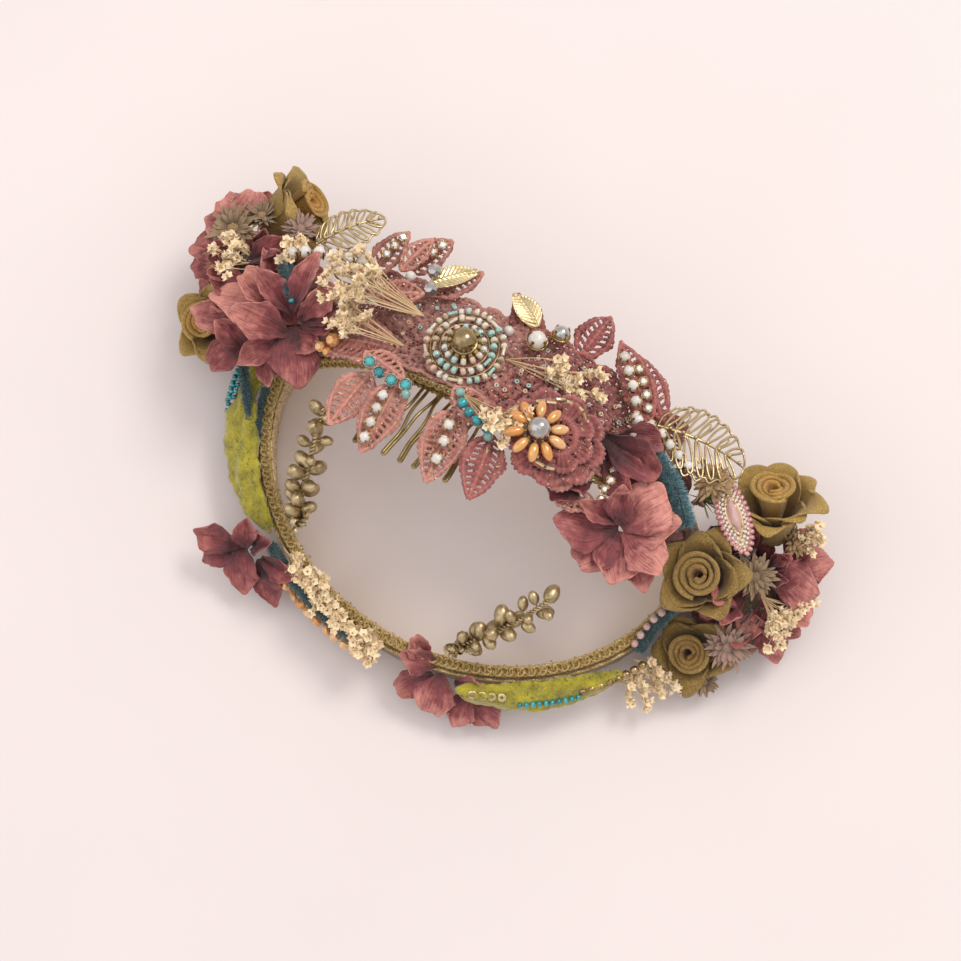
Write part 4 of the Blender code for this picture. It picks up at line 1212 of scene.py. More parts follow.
@dataclass(frozen=True)
class Panel:
    """A piece of lace that lies over the arch between two x positions, from its front to its back edge."""

    first_x: float
    last_x: float
    front: float
    back: float
    motif: float = 7.4
    seed: int = 0

    def place(self, u: Array, wide: Array, lift: Array) -> Array:
        """Returns points over the arch: the lift off it grows towards the feet."""
        point, _, out, across = loop_frame(arch_distance(u))
        rise = PANEL_LIFT + PANEL_END_LIFT * np.clip((np.abs(u) - PANEL_FLAT_X) / 30.0, 0.0, 1.0) ** 1.5
        return point + out * (rise + 0.5 + lift)[..., None] + across * wide[..., None]

    def shape(self, step: float = 0.30) -> Shape:
        """Makes the lace: flower motifs on a lattice, eyelets in them, and net between them.

        Each point looks at its nearest motif. Inside it the relief is a rim cord and radial bars cos(12 a);
        outside it is net, with a hexagonal grid of small holes. The long edges are scalloped once for each
        motif.
        """
        length = abs(self.last_x - self.first_x) * 1.06
        rows, columns = int(length / step), int((self.back - self.front + 3.0) / step)
        p, q = np.meshgrid(np.linspace(0.0, 1.0, rows), np.linspace(0.0, 1.0, columns), indexing="ij")
        u = self.first_x + (self.last_x - self.first_x) * p
        scallop = 1.7 * np.abs(np.sin(math.pi * p * length / self.motif)) ** 0.6
        wide = (self.front - scallop) + (self.back - self.front + 1.4 * scallop) * q
        along_mm = p * length
        row_gap = 0.5 * math.sqrt(3.0) * self.motif
        lattice_rows = np.arange(-2, int((self.back - self.front) / row_gap) + 3)
        lattice_columns = np.arange(-1, int(length / self.motif) + 2)
        rng = np.random.default_rng(self.seed)
        centres = np.array([
            [(c + 0.5 * (r % 2)) * self.motif, self.front + 2.6 + r * row_gap]
            for r in lattice_rows for c in lattice_columns
        ]) + rng.normal(0.0, 0.35, (len(lattice_rows) * len(lattice_columns), 2))
        gap = np.hypot(along_mm[..., None] - centres[:, 0], wide[..., None] - centres[:, 1])
        nearest = np.argmin(gap, axis=-1)
        distance = np.take_along_axis(gap, nearest[..., None], axis=-1)[..., 0]
        middle = centres[nearest]
        angle = np.arctan2(wide - middle[..., 1], along_mm - middle[..., 0])
        outline = 0.40 * self.motif * (1.0 + 0.13 * np.cos(6.0 * angle + nearest))
        inside = distance < outline
        rim = np.exp(-((distance - outline) / 0.38) ** 2)
        boss = np.exp(-(distance / 0.75) ** 2)
        bars = 0.5 + 0.5 * np.cos(12.0 * angle)
        lift = 0.45 * rim + 0.55 * boss + np.where(inside, 0.32 * bars * np.clip(distance / 1.6, 0.0, 1.0),
                                                   -0.12) \
            + 0.30 * waves(along_mm, wide, 9.0, self.seed)
        edge_cord = np.exp(-((np.minimum(q, 1.0 - q) * (self.back - self.front) - 0.5) / 0.4) ** 2)
        lift = lift + 0.35 * edge_cord
        am, wm, dm, om = (quad_means(v) for v in (along_mm, wide, distance, outline))
        net_row = np.round(wm / 1.05)
        hx = np.abs(np.mod(am + 0.6 * np.mod(net_row, 2), 1.2) - 0.6)
        hy = np.abs(wm - net_row * 1.05)
        net_hole = (np.hypot(hx, hy) < 0.36) & (dm > om + 0.35)
        ang = quad_means(np.cos(6.0 * angle))
        eyelet = (ang < -0.62) & (np.abs(dm - 0.62 * om) < 0.42)
        qm = quad_means(q)
        at_edge = np.minimum(qm, 1.0 - qm) * (self.back - self.front) < 0.9
        thread = np.where(inside, 2.4 * distance, 0.7 * along_mm + 0.9 * wide)
        # relief also goes out as across, which the lace finish paints as highlight on the raised cords and
        # shade on the low net
        relief = np.clip(rim + boss + edge_cord + np.where(inside, 0.5 * bars, -0.35), -0.4, 1.3)
        return surface(self.place(u, wide, lift), 0.1, thread, relief - 0.4,
                       keep=~((net_hole | eyelet) & ~at_edge))


def lace_round(centre: Array, facing: Array, radius: float, dish: float, seed: int, petals: int = 9,
               rings: int = 52, spokes: int = 220) -> Shape:
    """Makes a round lace flower.

    With r from 0 to 1 and the angle a, the outline is R (0.84 + 0.16 |cos(n a / 2)|^0.7) with picots, the
    relief is radial stitching cos(5 n a), a cord round the outline and one half way, and eyelets lie between
    the petals.
    """
    r, a = np.meshgrid(np.linspace(0.03, 1.0, rings), np.arange(spokes) * FULL_TURN / spokes, indexing="ij")
    rng = np.random.default_rng(seed)
    lobe = 0.84 + 0.16 * np.abs(np.cos(0.5 * petals * a)) ** 0.7 + 0.02 * np.sin(3.0 * a + rng.uniform(0, 6))
    picot = 1.0 + 0.02 * r ** 6 * np.cos(7.0 * petals * a)
    reach = radius * r * (1.0 + (lobe - 1.0) * r) * picot
    cord = np.exp(-((r - 0.93) / 0.045) ** 2) + np.exp(-((r - 0.5) / 0.05) ** 2)
    stitch = 0.5 + 0.5 * np.cos(5.0 * petals * a + 3.0 * r)
    x, y = reach * np.cos(a), reach * np.sin(a)
    height = dish * radius * r ** 2 + 0.42 * cord + 0.3 * stitch * r + 0.5 * r * waves(x, y, 8.0, seed) \
        - 0.8 * (1.0 - lobe) * r * radius * 0.3
    side, other = facing_frames(unit(facing)[None], np.zeros(1))
    points = centre + side[0] * x[..., None] + other[0] * y[..., None] + unit(facing) * height[..., None]
    rm = 0.5 * (r[:-1] + r[1:])
    am = a[:-1] + 0.5 * FULL_TURN / spokes
    between = np.cos(petals * am) < -0.55
    hole = (between & (np.abs(rm - 0.72) < 0.085)) \
        | ((np.cos(2 * petals * am) < -0.45) & (np.abs(rm - 0.36) < 0.05))
    # cords and stitches go out as across, which the lace finish paints as highlight on the raised threads
    return surface(points, 0.2, 3.5 * radius * r * 0.4, 0.6 * cord + 0.5 * stitch - 0.4, wrap_columns=True,
                   keep=~hole)


# ---------------------------------------------------------------- roses and daisies


@dataclass(frozen=True)
class Rosebud:
    """A rosebud of folded suede: a rolled strip in the middle and flared petals with pointed corners round
    it."""

    base: Place
    mouth: Place
    radius: float
    seed: int
    turns: float = 3.3
    outer: int = 5
    flare: float = 0.42
    heart: float = 0.6

    def frame(self) -> tuple[Array, Array, Array, Array, float]:
        """Returns the base, the two directions square to the axis, the axis, and the height."""
        base, mouth = np.array(self.base), np.array(self.mouth)
        axis = unit(mouth - base)
        side, other = facing_frames(axis[None], np.array([0.7 * self.seed]))
        return base, side[0], other[0], axis, float(np.linalg.norm(mouth - base))

    def heart_shape(self) -> Shape:
        """Rolls the middle strip: radius grows evenly with the turn, and the rim rolls over outwards.

        Up the strip the section rises as a line and then goes round an arc of 3.6 radians; the rim's height
        and the arc's size swell and shrink as separate petals would.
        """
        base, side, other, axis, height = self.frame()
        turns = np.linspace(0.0, FULL_TURN * self.turns, 170)
        q = np.linspace(0.0, 1.0, 26)
        a, v = np.meshgrid(turns, q, indexing="ij")
        mouth = 0.7 + (0.62 * self.radius - 0.7) * a / (FULL_TURN * self.turns)
        swell = np.abs(np.sin(0.93 * a + self.seed)) ** 0.7
        roll = (0.18 + 0.04 * self.radius) * (0.5 + 0.5 * swell)
        rise = np.minimum(v / 0.62, 1.0)
        arc = np.clip((v - 0.62) / 0.38, 0.0, 1.0) * 3.6
        reach = mouth * (0.45 + 0.55 * rise ** 1.4) + roll * (1.0 - np.cos(arc))
        top = height * (0.30 + 0.66 * rise * (1.0 - 0.10 * (1.0 - a / (FULL_TURN * self.turns)))) - 1.0 \
            + 0.9 * swell * rise
        lift = top + roll * np.sin(arc)
        wobble = 0.16 * waves(a * 2.0, v * 9.0, 5.0, self.seed)
        points = (
            base
            + side * ((reach + wobble) * np.cos(a))[..., None]
            + other * ((reach + wobble) * np.sin(a))[..., None]
            + axis * (lift + wobble)[..., None]
        )
        shape = surface(points, 0.0, v, a / FULL_TURN)
        fade = 1.25 - 0.95 * a / (FULL_TURN * self.turns)
        shape.tint = np.clip(self.heart * fade * (1.25 - 0.7 * v), 0.0, 1.0).ravel()
        return shape

    def petal_shape(self, number: int, count: int, reach: float, tall: float, width: float) -> Shape:
        """Bends one outer petal round the cup.

        With s up the petal and t across it, the radius is R (0.35 + 0.55 s^0.65) plus a flare s^3.2 that is
        strongest at the middle of the rim, and the height falls away from a pointed middle; the rim curls
        under.
        """
        base, side, other, axis, height = self.frame()
        s, t = np.meshgrid(np.linspace(0.0, 1.0, 26), np.linspace(-1.0, 1.0, 25), indexing="ij")
        rng = np.random.default_rng(100 * self.seed + number)
        narrowing = 0.72 + 0.40 * s - 0.72 * s ** 6
        angle = FULL_TURN * (number + rng.uniform(-0.12, 0.12)) / count + t * width * narrowing * 0.5
        point = 1.0 - np.abs(t) ** 1.5
        flare = self.flare * self.radius * s ** 3.2 * (0.35 + 0.95 * point) * rng.uniform(0.75, 1.3)
        radius = self.radius * reach * (0.35 + 0.55 * s ** 0.65) + flare + 0.35 * np.sin(3.0 * t
                                                                                         + number) * s
        top = height * tall * rng.uniform(0.92, 1.06)
        lift = top * (s * (0.80 + 0.20 * point)) - 0.42 * flare * s ** 7 * (1.0 + point)
        lift = lift + 0.5 * waves(6.0 * t, 9.0 * s, 7.0, 31 * self.seed + number) * s
        radius = radius + 0.25 * waves(7.0 * t, 8.0 * s, 6.0, 77 * self.seed + number)
        points = (
            base
            + side * (radius * np.cos(angle))[..., None]
            + other * (radius * np.sin(angle))[..., None]
            + axis * lift[..., None]
        )
        shape = surface(points, 0.0, s * 0.9, angle)
        shape.tint = np.clip(0.10 * rng.uniform(0.0, 1.0) + 0.12 * (1.0 - s), 0.0, 1.0).ravel()
        return shape

    def shape(self) -> Shape:
        """Returns the rolled middle with two rounds of outer petals."""
        inner = [self.petal_shape(n, 3, 0.80, 0.97, 2.7) for n in range(3)]
        outer = [self.petal_shape(n, self.outer, 1.0, 0.98 - 0.1 * (n % 2), 2.1) for n in range(self.outer)]
        return joined([self.heart_shape()] + inner + outer)


@dataclass(frozen=True)
class Daisy:
    """A dried flower head: three rounds of narrow curled petals round a bumpy middle."""

    base: Place
    facing: Place
    radius: float
    seed: int
    petals: int = 21

    def shape(self) -> Shape:
        """Makes the head: each petal is a folded strip that narrows to a point and curls up by a random
        amount."""
        rng = np.random.default_rng(self.seed)
        count = 3 * self.petals
        layer = np.arange(count) % 3
        s, t = np.meshgrid(np.linspace(0.0, 1.0, 9), np.linspace(-1.0, 1.0, 5), indexing="ij")
        length = self.radius * (1.0 - 0.18 * layer) * rng.uniform(0.8, 1.12, count)
        angle = (np.arange(count) + rng.uniform(-0.3, 0.3, count)) * FULL_TURN / count
        lean = 0.12 + 0.38 * layer / 2.0 + rng.uniform(-0.18, 0.25, count)
        half = self.radius * rng.uniform(0.07, 0.115, count)
        curl = rng.uniform(-1.6, 1.8, count)
        out = (0.12 + 0.88 * s)[None] * length[:, None, None]
        wide = half[:, None, None] * (t * (np.sin(math.pi * np.clip(s, 0.04, 0.97) ** 1.3) ** 0.7))[None]
        rise = out * lean[:, None, None] + (curl[:, None, None] * s ** 3
                                            + 0.5 * np.abs(t) * s * (1 - s) * 2.0) \
            + 0.25 * layer[:, None, None]
        twist = rng.uniform(-0.25, 0.25, count)[:, None, None] * s
        side, other = facing_frames(unit(self.facing)[None], np.zeros(1))
        cos, sin = np.cos(angle)[:, None, None], np.sin(angle)[:, None, None]
        x = out * cos - (wide + twist * out) * sin
        y = out * sin + (wide + twist * out) * cos
        points = (np.array(self.base) + side[0] * x[..., None] + other[0] * y[..., None]
                  + unit(self.facing) * rise[..., None])
        quads = grid_quads(9, 5)
        step = (np.arange(count) * 45)[:, None, None]
        petals = Shape(points, (quads[None] + step).reshape(-1, 4),
                       tint=np.repeat(rng.uniform(-0.5, 0.6, count), 45),
                       along=np.broadcast_to(s, (count, 9, 5)))
        return petals

    def middle(self) -> Shape:
        """Makes the middle: small pointed florets packed in a spiral over a low dome."""
        n = np.arange(46)
        turn = n * 2.39996
        reach = 0.30 * self.radius * np.sqrt(n / 46.0)
        side, other = facing_frames(unit(self.facing)[None], np.zeros(1))
        places = (np.array(self.base) + side[0] * (reach * np.cos(turn))[:, None]
                  + other[0] * (reach * np.sin(turn))[:, None]
                  + unit(self.facing) * (1.3 - 0.9 * (reach / (0.3 * self.radius)) ** 2)[:, None])
        spike = turned([(0.0, -1.0), (0.9, -0.4), (0.55, 0.7), (0.0, 1.25)], 5)
        spike.along = np.clip(0.3 + 0.4 * spike.points[:, 2], 0.0, 1.0)
        return scattered(spike, places, self.facing, 0.062 * self.radius + 0.12, n * 0.7, (n % 7) / 7.0)


# ---------------------------------------------------------------- stems, sprays, chenille


def crumpled_floret() -> Shape:
    """Returns a tiny crumpled flower of radius one: a cup whose rim waves in and out and up and down five
    times."""
    angle = np.arange(10) * FULL_TURN / 10
    r, a = np.meshgrid(np.array([0.25, 0.7, 1.0]), angle, indexing="ij")
    wave = np.cos(5.0 * a)
    reach = r * (1.0 + 0.12 * wave * r)
    points = np.stack([reach * np.cos(a), reach * np.sin(a), 0.75 * r ** 2 + 0.22 * wave * r ** 2], axis=-1)
    cup = surface(points, along=np.broadcast_to(0.35 + 0.6 * r, r.shape), wrap_columns=True)
    under = turned([(0.0, -0.7), (0.22, -0.55), (0.28, 0.05)], 5)
    under.along = np.full(len(under.points), 0.15)
    return joined([cup, under])


FLORET = crumpled_floret()


@dataclass(frozen=True)
class Spray:
    """A bunch of hair-thin dried stems that fork and end in clusters of tiny flowers."""

    root: Place
    middle: Place
    spread: float
    heads: int
    seed: int
    facing: Place = (0.0, -0.3, 1.0)
    depth: float = 2.5
    reach: float = 0.42
    size: float = 1.0

    def shape(self) -> Shape:
        """Spreads the heads in a flattened fan about the middle, joins each to the root by a bent stem, and
        forks it."""
        rng = np.random.default_rng(self.seed)
        root, middle = np.array(self.root), np.array(self.middle)
        ahead = middle - root
        length = np.linalg.norm(ahead)
        ahead = ahead / length
        side = unit(np.cross(unit(self.facing), ahead))
        normal = np.cross(ahead, side)
        swing = rng.uniform(-1.0, 1.0, self.heads)
        far = 1.0 + rng.uniform(-self.reach, self.reach, self.heads) - 0.10 * swing ** 2
        tips = (root + ahead * (length * far)[:, None] + side * (self.spread * swing * far)[:, None]
                + normal * rng.uniform(-0.3, 1.0, self.heads)[:, None] * self.depth)
        t = np.linspace(0.0, 1.0, 11)[None, :, None]
        bend = 0.5 * (root + tips) + rng.normal(0.0, 0.9, (self.heads, 3)) + ahead
        lines = root * (1 - t) ** 2 + 2 * t * (1 - t) * bend[:, None] + tips[:, None] * t ** 2
        stems = tubes(lines, np.linspace(0.19, 0.10, 11) * self.size, 5, rng.uniform(-0.5, 0.3, self.heads))
        stems.along = stems.along * 0.35
        forks = 2
        start = np.repeat(lines[:, 7], forks, axis=0)
        ends = np.repeat(tips, forks, axis=0) + rng.normal(0.0, 1.5 * self.size, (self.heads * forks, 3))
        t2 = np.linspace(0.0, 1.0, 6)[None, :, None]
        elbow = 0.5 * (start + ends) + rng.normal(0.0, 0.4, start.shape)
        twigs = tubes(start[:, None] * (1 - t2) ** 2 + 2 * t2 * (1 - t2) * elbow[:, None]
                      + ends[:, None] * t2 ** 2,
                      0.10 * self.size, 4)
        twigs.along = 0.3 + 0.2 * twigs.along
        clusters = np.concatenate([tips, ends])
        per = 4
        places = np.repeat(clusters, per, axis=0) + rng.normal(0.0,
                                                               0.52 * self.size, (len(clusters) * per, 3))
        ways = unit(places - root + rng.normal(0.0, 6.0, places.shape) + normal * 6.0)
        flowers = scattered(FLORET, places, ways, rng.uniform(0.9, 1.4, len(places)) * self.size,
                            rng.uniform(0.0, 6.0, len(places)), rng.uniform(-0.35, 0.6, len(places)))
        return joined([stems, twigs, flowers])


def fuzzy(line: Array, radius: float, count: int, length: float, seed: int, blade: float = 0.11) -> Shape:
    """Makes chenille: a thin core with many three-sided fibres that stand out from it in every direction."""
    rng = np.random.default_rng(seed)
    at = rng.uniform(0.0, len(line) - 1.001, count)
    cell = at.astype(int)
    part = (at - cell)[:, None]
    roots = line[cell] * (1 - part) + line[cell + 1] * part
    along = unit(line[cell + 1] - line[cell])
    ways = rng.normal(0.0, 1.0, (count, 3))
    ways = unit(ways - along * np.sum(ways * along, axis=1, keepdims=True) * 0.8)
    blade_shape = turned([(0.0, 0.0), (1.0, 0.02), (0.8, 0.6), (0.0, 1.0)], 3)
    blade_shape.along = blade_shape.points[:, 2].copy()
    sizes = np.stack([np.full(count, blade), np.full(count, blade), length * rng.uniform(0.6, 1.15, count)],
                     axis=1)
    hairs = scattered(blade_shape, roots + ways * radius * 0.5, ways, sizes, 0.0,
                      rng.uniform(-0.8, 0.9, count))
    core = tubes(line, radius, 7, -0.4)
    return joined([core, hairs])


def twisted_pair(line: Array, radius: float, pitch: float, gap: float, sides: int = 7,
                 strands: int = 2) -> Shape:
    """Winds strands round a line: each goes round it once per pitch, a gap away from it."""
    knots = np.append(0.0, np.cumsum(np.linalg.norm(np.diff(line, axis=0), axis=1)))
    count = max(16, int(knots[-1] / pitch * 12))
    at = np.linspace(0.0, knots[-1], count)
    points = np.stack([np.interp(at, knots, line[:, k]) for k in range(3)], axis=1)
    step = unit(np.gradient(points, axis=0))
    helper = np.eye(3)[int(np.argmin(np.abs(step).max(axis=0)))]
    side = unit(np.cross(step, helper))
    other = np.cross(step, side)
    turn = at / pitch * FULL_TURN
    lines = np.stack([
        points + side * (gap * np.cos(turn + FULL_TURN * n / strands))[:, None]
        + other * (gap * np.sin(turn + FULL_TURN * n / strands))[:, None] for n in range(strands)
    ])
    return tubes(lines, radius, sides, np.linspace(-0.2, 0.3, strands))


def threaded(line: Array, template: Shape, size: float, gap: float, seed: int, colours: float = 1.0,
             lie: bool = True, vary: float = 0.08) -> Shape:
    """Threads beads on a line at even gaps, each with its hole along the line unless it is to stand up."""
    rng = np.random.default_rng(seed)
    places, ways = spaced(line, gap)
    if not lie:
        ways = np.broadcast_to(np.array(UP), ways.shape)
    ways = unit(ways + rng.normal(0.0, 0.08, ways.shape))
    return scattered(template, places, ways, size * rng.uniform(1.0 - vary, 1.0 + vary, len(places)),
                     rng.uniform(0.0, 6.0, len(places)), rng.uniform(0.0, 0.999, len(places)) * colours)


# ---------------------------------------------------------------- the covered loop


def swept(distance: Array, out_by: Array, wide_by: Array, tint: float = 0.0) -> Shape:
    """Carries a closed section round the loop; out_by and wide_by are (stations, sides) and may change on
    the way."""
    point, _, out, across = loop_frame(distance)
    rings = point[:, None] + out[:, None] * out_by[..., None] + across[:, None] * wide_by[..., None]
    shape = (len(distance), out_by.shape[1])
    return surface(rings, tint, np.broadcast_to(distance[:, None], shape), wide_by, wrap_rows=True,
                   wrap_columns=True)


def box_outline(low: float, high: float, half: float, columns: int) -> tuple[Array, Array]:
    """Returns the out and wide numbers round a rectangular section with columns along its long sides."""
    wide = np.linspace(-half, half, columns)
    return np.concatenate([np.full(columns, low), np.full(columns, high)]), np.concatenate([wide[::-1],
                                                                                            wide])


@dataclass(frozen=True)
class CoveredLoop:
    """The loop: wire bound in gauze tape, a glitter ribbon inside it and a gold chain along its upper
    edge."""

    band_half: float = 7.0
    band_thick: float = 1.2
    lining_half: float = 6.5
    lining_out: float = -2.2
    lining_thick: float = 0.5
    chain_wide: float = 8.4
    chain_out: float = -0.9
    link_gap: float = 1.55
    stations: int = 720
    binding_pitch: float = 6.5

    def tape(self) -> Shape:
        """Winds the tape: each turn overlaps the last in a slanting step, a sawtooth of distance plus
        height."""
        distance = np.linspace(0.0, PATH_LENGTH, self.stations, endpoint=False)
        out_by, wide_by = box_outline(0.0, self.band_thick, self.band_half, 12)
        wraps = round(PATH_LENGTH / self.binding_pitch)
        turn = np.mod(distance[:, None] * wraps / PATH_LENGTH + 0.06 * wide_by[None], 1.0)
        side = np.sign(out_by - 0.5 * self.band_thick)[None]
        step = 0.30 * turn + 0.12 * waves(distance[:, None], wide_by[None], 5.0, 4)
        return swept(distance, out_by[None] + side * step * 0.8,
                     wide_by[None] * (1.0 + 0.012 * step) + 0 * step)

    def lining(self) -> Shape:
        """Makes the ribbon: a thin strip that ripples a little across its width."""
        distance = np.linspace(0.0, PATH_LENGTH, self.stations, endpoint=False)
        out_by, wide_by = box_outline(self.lining_out - self.lining_thick, self.lining_out,
                                      self.lining_half, 9)
        ripple = 0.16 * waves(distance[:, None], wide_by[None], 11.0, 9)
        return swept(distance, out_by[None] + ripple, wide_by[None] + 0 * ripple)

    def flakes(self, count: int = 1500) -> Shape:
        """Scatters glitter flakes, flat six-sided plates that tilt at random, on the ribbon's inner face and
        edge."""
        rng = np.random.default_rng(17)
        distance = rng.uniform(0.0, PATH_LENGTH, count)
        point, _, out, across = loop_frame(distance)
        wide = np.where(np.arange(count) % 3 == 0, self.lining_half + rng.normal(0.0, 0.15, count),
                        rng.uniform(-self.lining_half, self.lining_half, count))
        at_edge = np.arange(count) % 3 == 0
        out_by = np.where(at_edge, self.lining_out - 0.5 * self.lining_thick + rng.normal(0, 0.3, count),
                          self.lining_out - self.lining_thick - 0.10)
        places = point + out * out_by[:, None] + across * wide[:, None]
        face = np.where(at_edge[:, None], across, -out)
        plate = turned([(0.0, -0.14), (1.0, 0.0), (0.0, 0.14)], 6)
        return scattered(plate, places, face + rng.normal(0.0, 0.35, (count, 3)),
                         rng.uniform(0.22, 0.42, count),
                         rng.uniform(0, 6, count), rng.uniform(0, 1, count))

    def chain(self) -> Shape:
        """Links the gold chain: each link is an oval x = a cos t, y = b sin t that tips the other way from
        the last."""
        count = int(PATH_LENGTH / self.link_gap)
        distance = np.arange(count) * PATH_LENGTH / count
        point, along, out, across = loop_frame(distance)
        centre = point + out * self.chain_out + across * self.chain_wide
        t = np.arange(12) * FULL_TURN / 12
        tip = np.where(np.arange(count) % 2 == 0, 0.38, -0.38)[:, None]
        lines = (
            centre[:, None]
            + along[:, None] * (1.45 * np.cos(t))[None, :, None]
            + out[:, None] * (1.25 * np.sin(t) * (1.0 + 0.25 * np.cos(t)))[None, :, None]
            + across[:, None] * (tip * np.sin(t) + 0.30 * np.cos(t))[..., None]
        )
        links = tubes(lines, 0.36, 6, (np.arange(count) % 5) / 5.0, closed=True)
        every = np.linspace(0.0, PATH_LENGTH, 600)
        centre_line, _, out_way, across_way = loop_frame(every)
        cord = twisted_pair(centre_line + out_way * (self.chain_out + 0.1)
                            + across_way * (self.chain_wide - 0.9),
                            0.34, 2.4, 0.3)
        return joined([links, cord])

    def build(self) -> None:
        """Builds the loop's layers and dresses the two wires between them."""
        add_piece("covered_tape", self.tape(), Looks.TAPE, ["band_base"])
        add_piece("glitter_lining", joined([self.lining(), self.flakes()]), Looks.GLITTER, ["lining_ribbon"])
        add_piece("gold_chain", self.chain(), Looks.BRAID, ["gold_braid"])
        for name in ("frame_wire_lower", "frame_wire_upper"):
            node = frame["nodes"][name]
            node.data.materials.clear()
            node.data.materials.append(Looks.STEEL.material())


@dataclass(frozen=True)
class WireComb:
    """The comb: hairpin teeth bent from one wire, bound to a straight spine, and the thread that holds
    it."""

    wire: float = 0.48
    arm_gap: float = 1.85
    stem_gap: float = 0.42

    def frame(self) -> tuple[Array, Array, Array, Array]:
        """Returns the spine's middle and the directions along, out and across."""
        point, along, out, across = loop_frame(arch_distance(COMB_X))
        return point - out * COMB_DEPTH + across * COMB_SIDE, along, out, across

    def placed(self, u: Array, v: Array, lift: Array | float = 0.0) -> Array:
        """Returns points u along the spine and v towards the tips, which bend down as v squared."""
        middle, along, out, across = self.frame()
        drop = -0.003 * np.maximum(v, 0.0) ** 2 + lift
        return middle + along * u[..., None] + across * v[..., None] + out * drop[..., None]

    def teeth(self) -> Shape:
        """Bends each tooth: two arms that draw together in a soft S, run side by side, and meet in a round
        tip."""
        k = (np.arange(COMB_TEETH) - 0.5 * (COMB_TEETH - 1)) * COMB_PITCH
        s = np.linspace(0.0, 1.0, 30)
        ease = s ** 2 * (3.0 - 2.0 * s)
        v_arm = s * COMB_FORK_LENGTH
        gap_arm = self.arm_gap + (self.stem_gap - self.arm_gap) * ease
        v_stem = np.linspace(COMB_FORK_LENGTH, COMB_TOOTH_LENGTH - self.stem_gap - self.wire, 6)[1:]
        turn = np.linspace(0.0, math.pi, 9)[1:-1]
        u = np.concatenate([-gap_arm, np.full(5, -self.stem_gap), -self.stem_gap * np.cos(turn),
                            np.full(5, self.stem_gap), gap_arm[::-1]])
        v = np.concatenate([v_arm, v_stem, v_stem[-1] + self.stem_gap * np.sin(turn), v_stem[::-1],
                            v_arm[::-1]])
        wander = 0.30 * np.sin(0.42 * v[None] + 0.8 * k[:, None])
        lines = self.placed(k[:, None] + u[None] + wander, np.broadcast_to(v, (len(k), len(v))))
        return tubes(lines, self.wire, 8, np.linspace(-0.2, 0.3, len(k)))

    def spine(self) -> Shape:
        """Lays two wires side by side along the spine and winds a thin wire round them."""
        half = 0.5 * COMB_TEETH * COMB_PITCH
        u = np.linspace(-half, half, 60)
        zero = np.zeros_like(u)
        rails = tubes(np.stack([self.placed(u, zero - 0.42, 0.1), self.placed(u, zero + 0.42, -0.1)]), 0.45,
                      8)
        winding = twisted_pair(self.placed(u, zero), 0.16, 1.5, 0.98, 5, 1)
        return joined([rails, winding])

    def ties(self) -> Shape:
        """Sews the spine to the loop: four turns of thread at each end, each an oval round the spine."""
        middle, along, out, across = self.frame()
        t = np.linspace(0.0, FULL_TURN * 4.0, 90)
        lines = []
        for place in (-2.5 * COMB_PITCH, 2.5 * COMB_PITCH):
            u = place + 0.55 * (t / FULL_TURN - 2.0)
            lines.append(middle + along * u[:, None] + out * (1.5 + 1.9 * np.cos(t))[:, None]
                         + across * (1.35 * np.sin(t))[:, None])
        return tubes(np.stack(lines), 0.2, 6)

    def build(self) -> None:
        """Builds the comb on its own body and the thread on the crown."""
        add_piece("wire_comb", joined([self.teeth(), self.spine()]), Looks.COMB, ["comb"], "comb")
        add_piece("comb_threads", self.ties(), Looks.THREAD, ["comb_stitch_a", "comb_stitch_b"])


# ---------------------------------------------------------------- lace and its beads


def declare_cloth(item: bpy.types.Object, width: float, length: float, held: str, rests_on: Sequence[str],
                  area: float) -> None:
    """Says that a piece is cut from cloth: its width and length in millimetres, and its cut area as a share.

    A scrap under a centimetre wide is a trim and returns at once.
    """
    if min(width, length) < SMALLEST_CLOTH:
        return


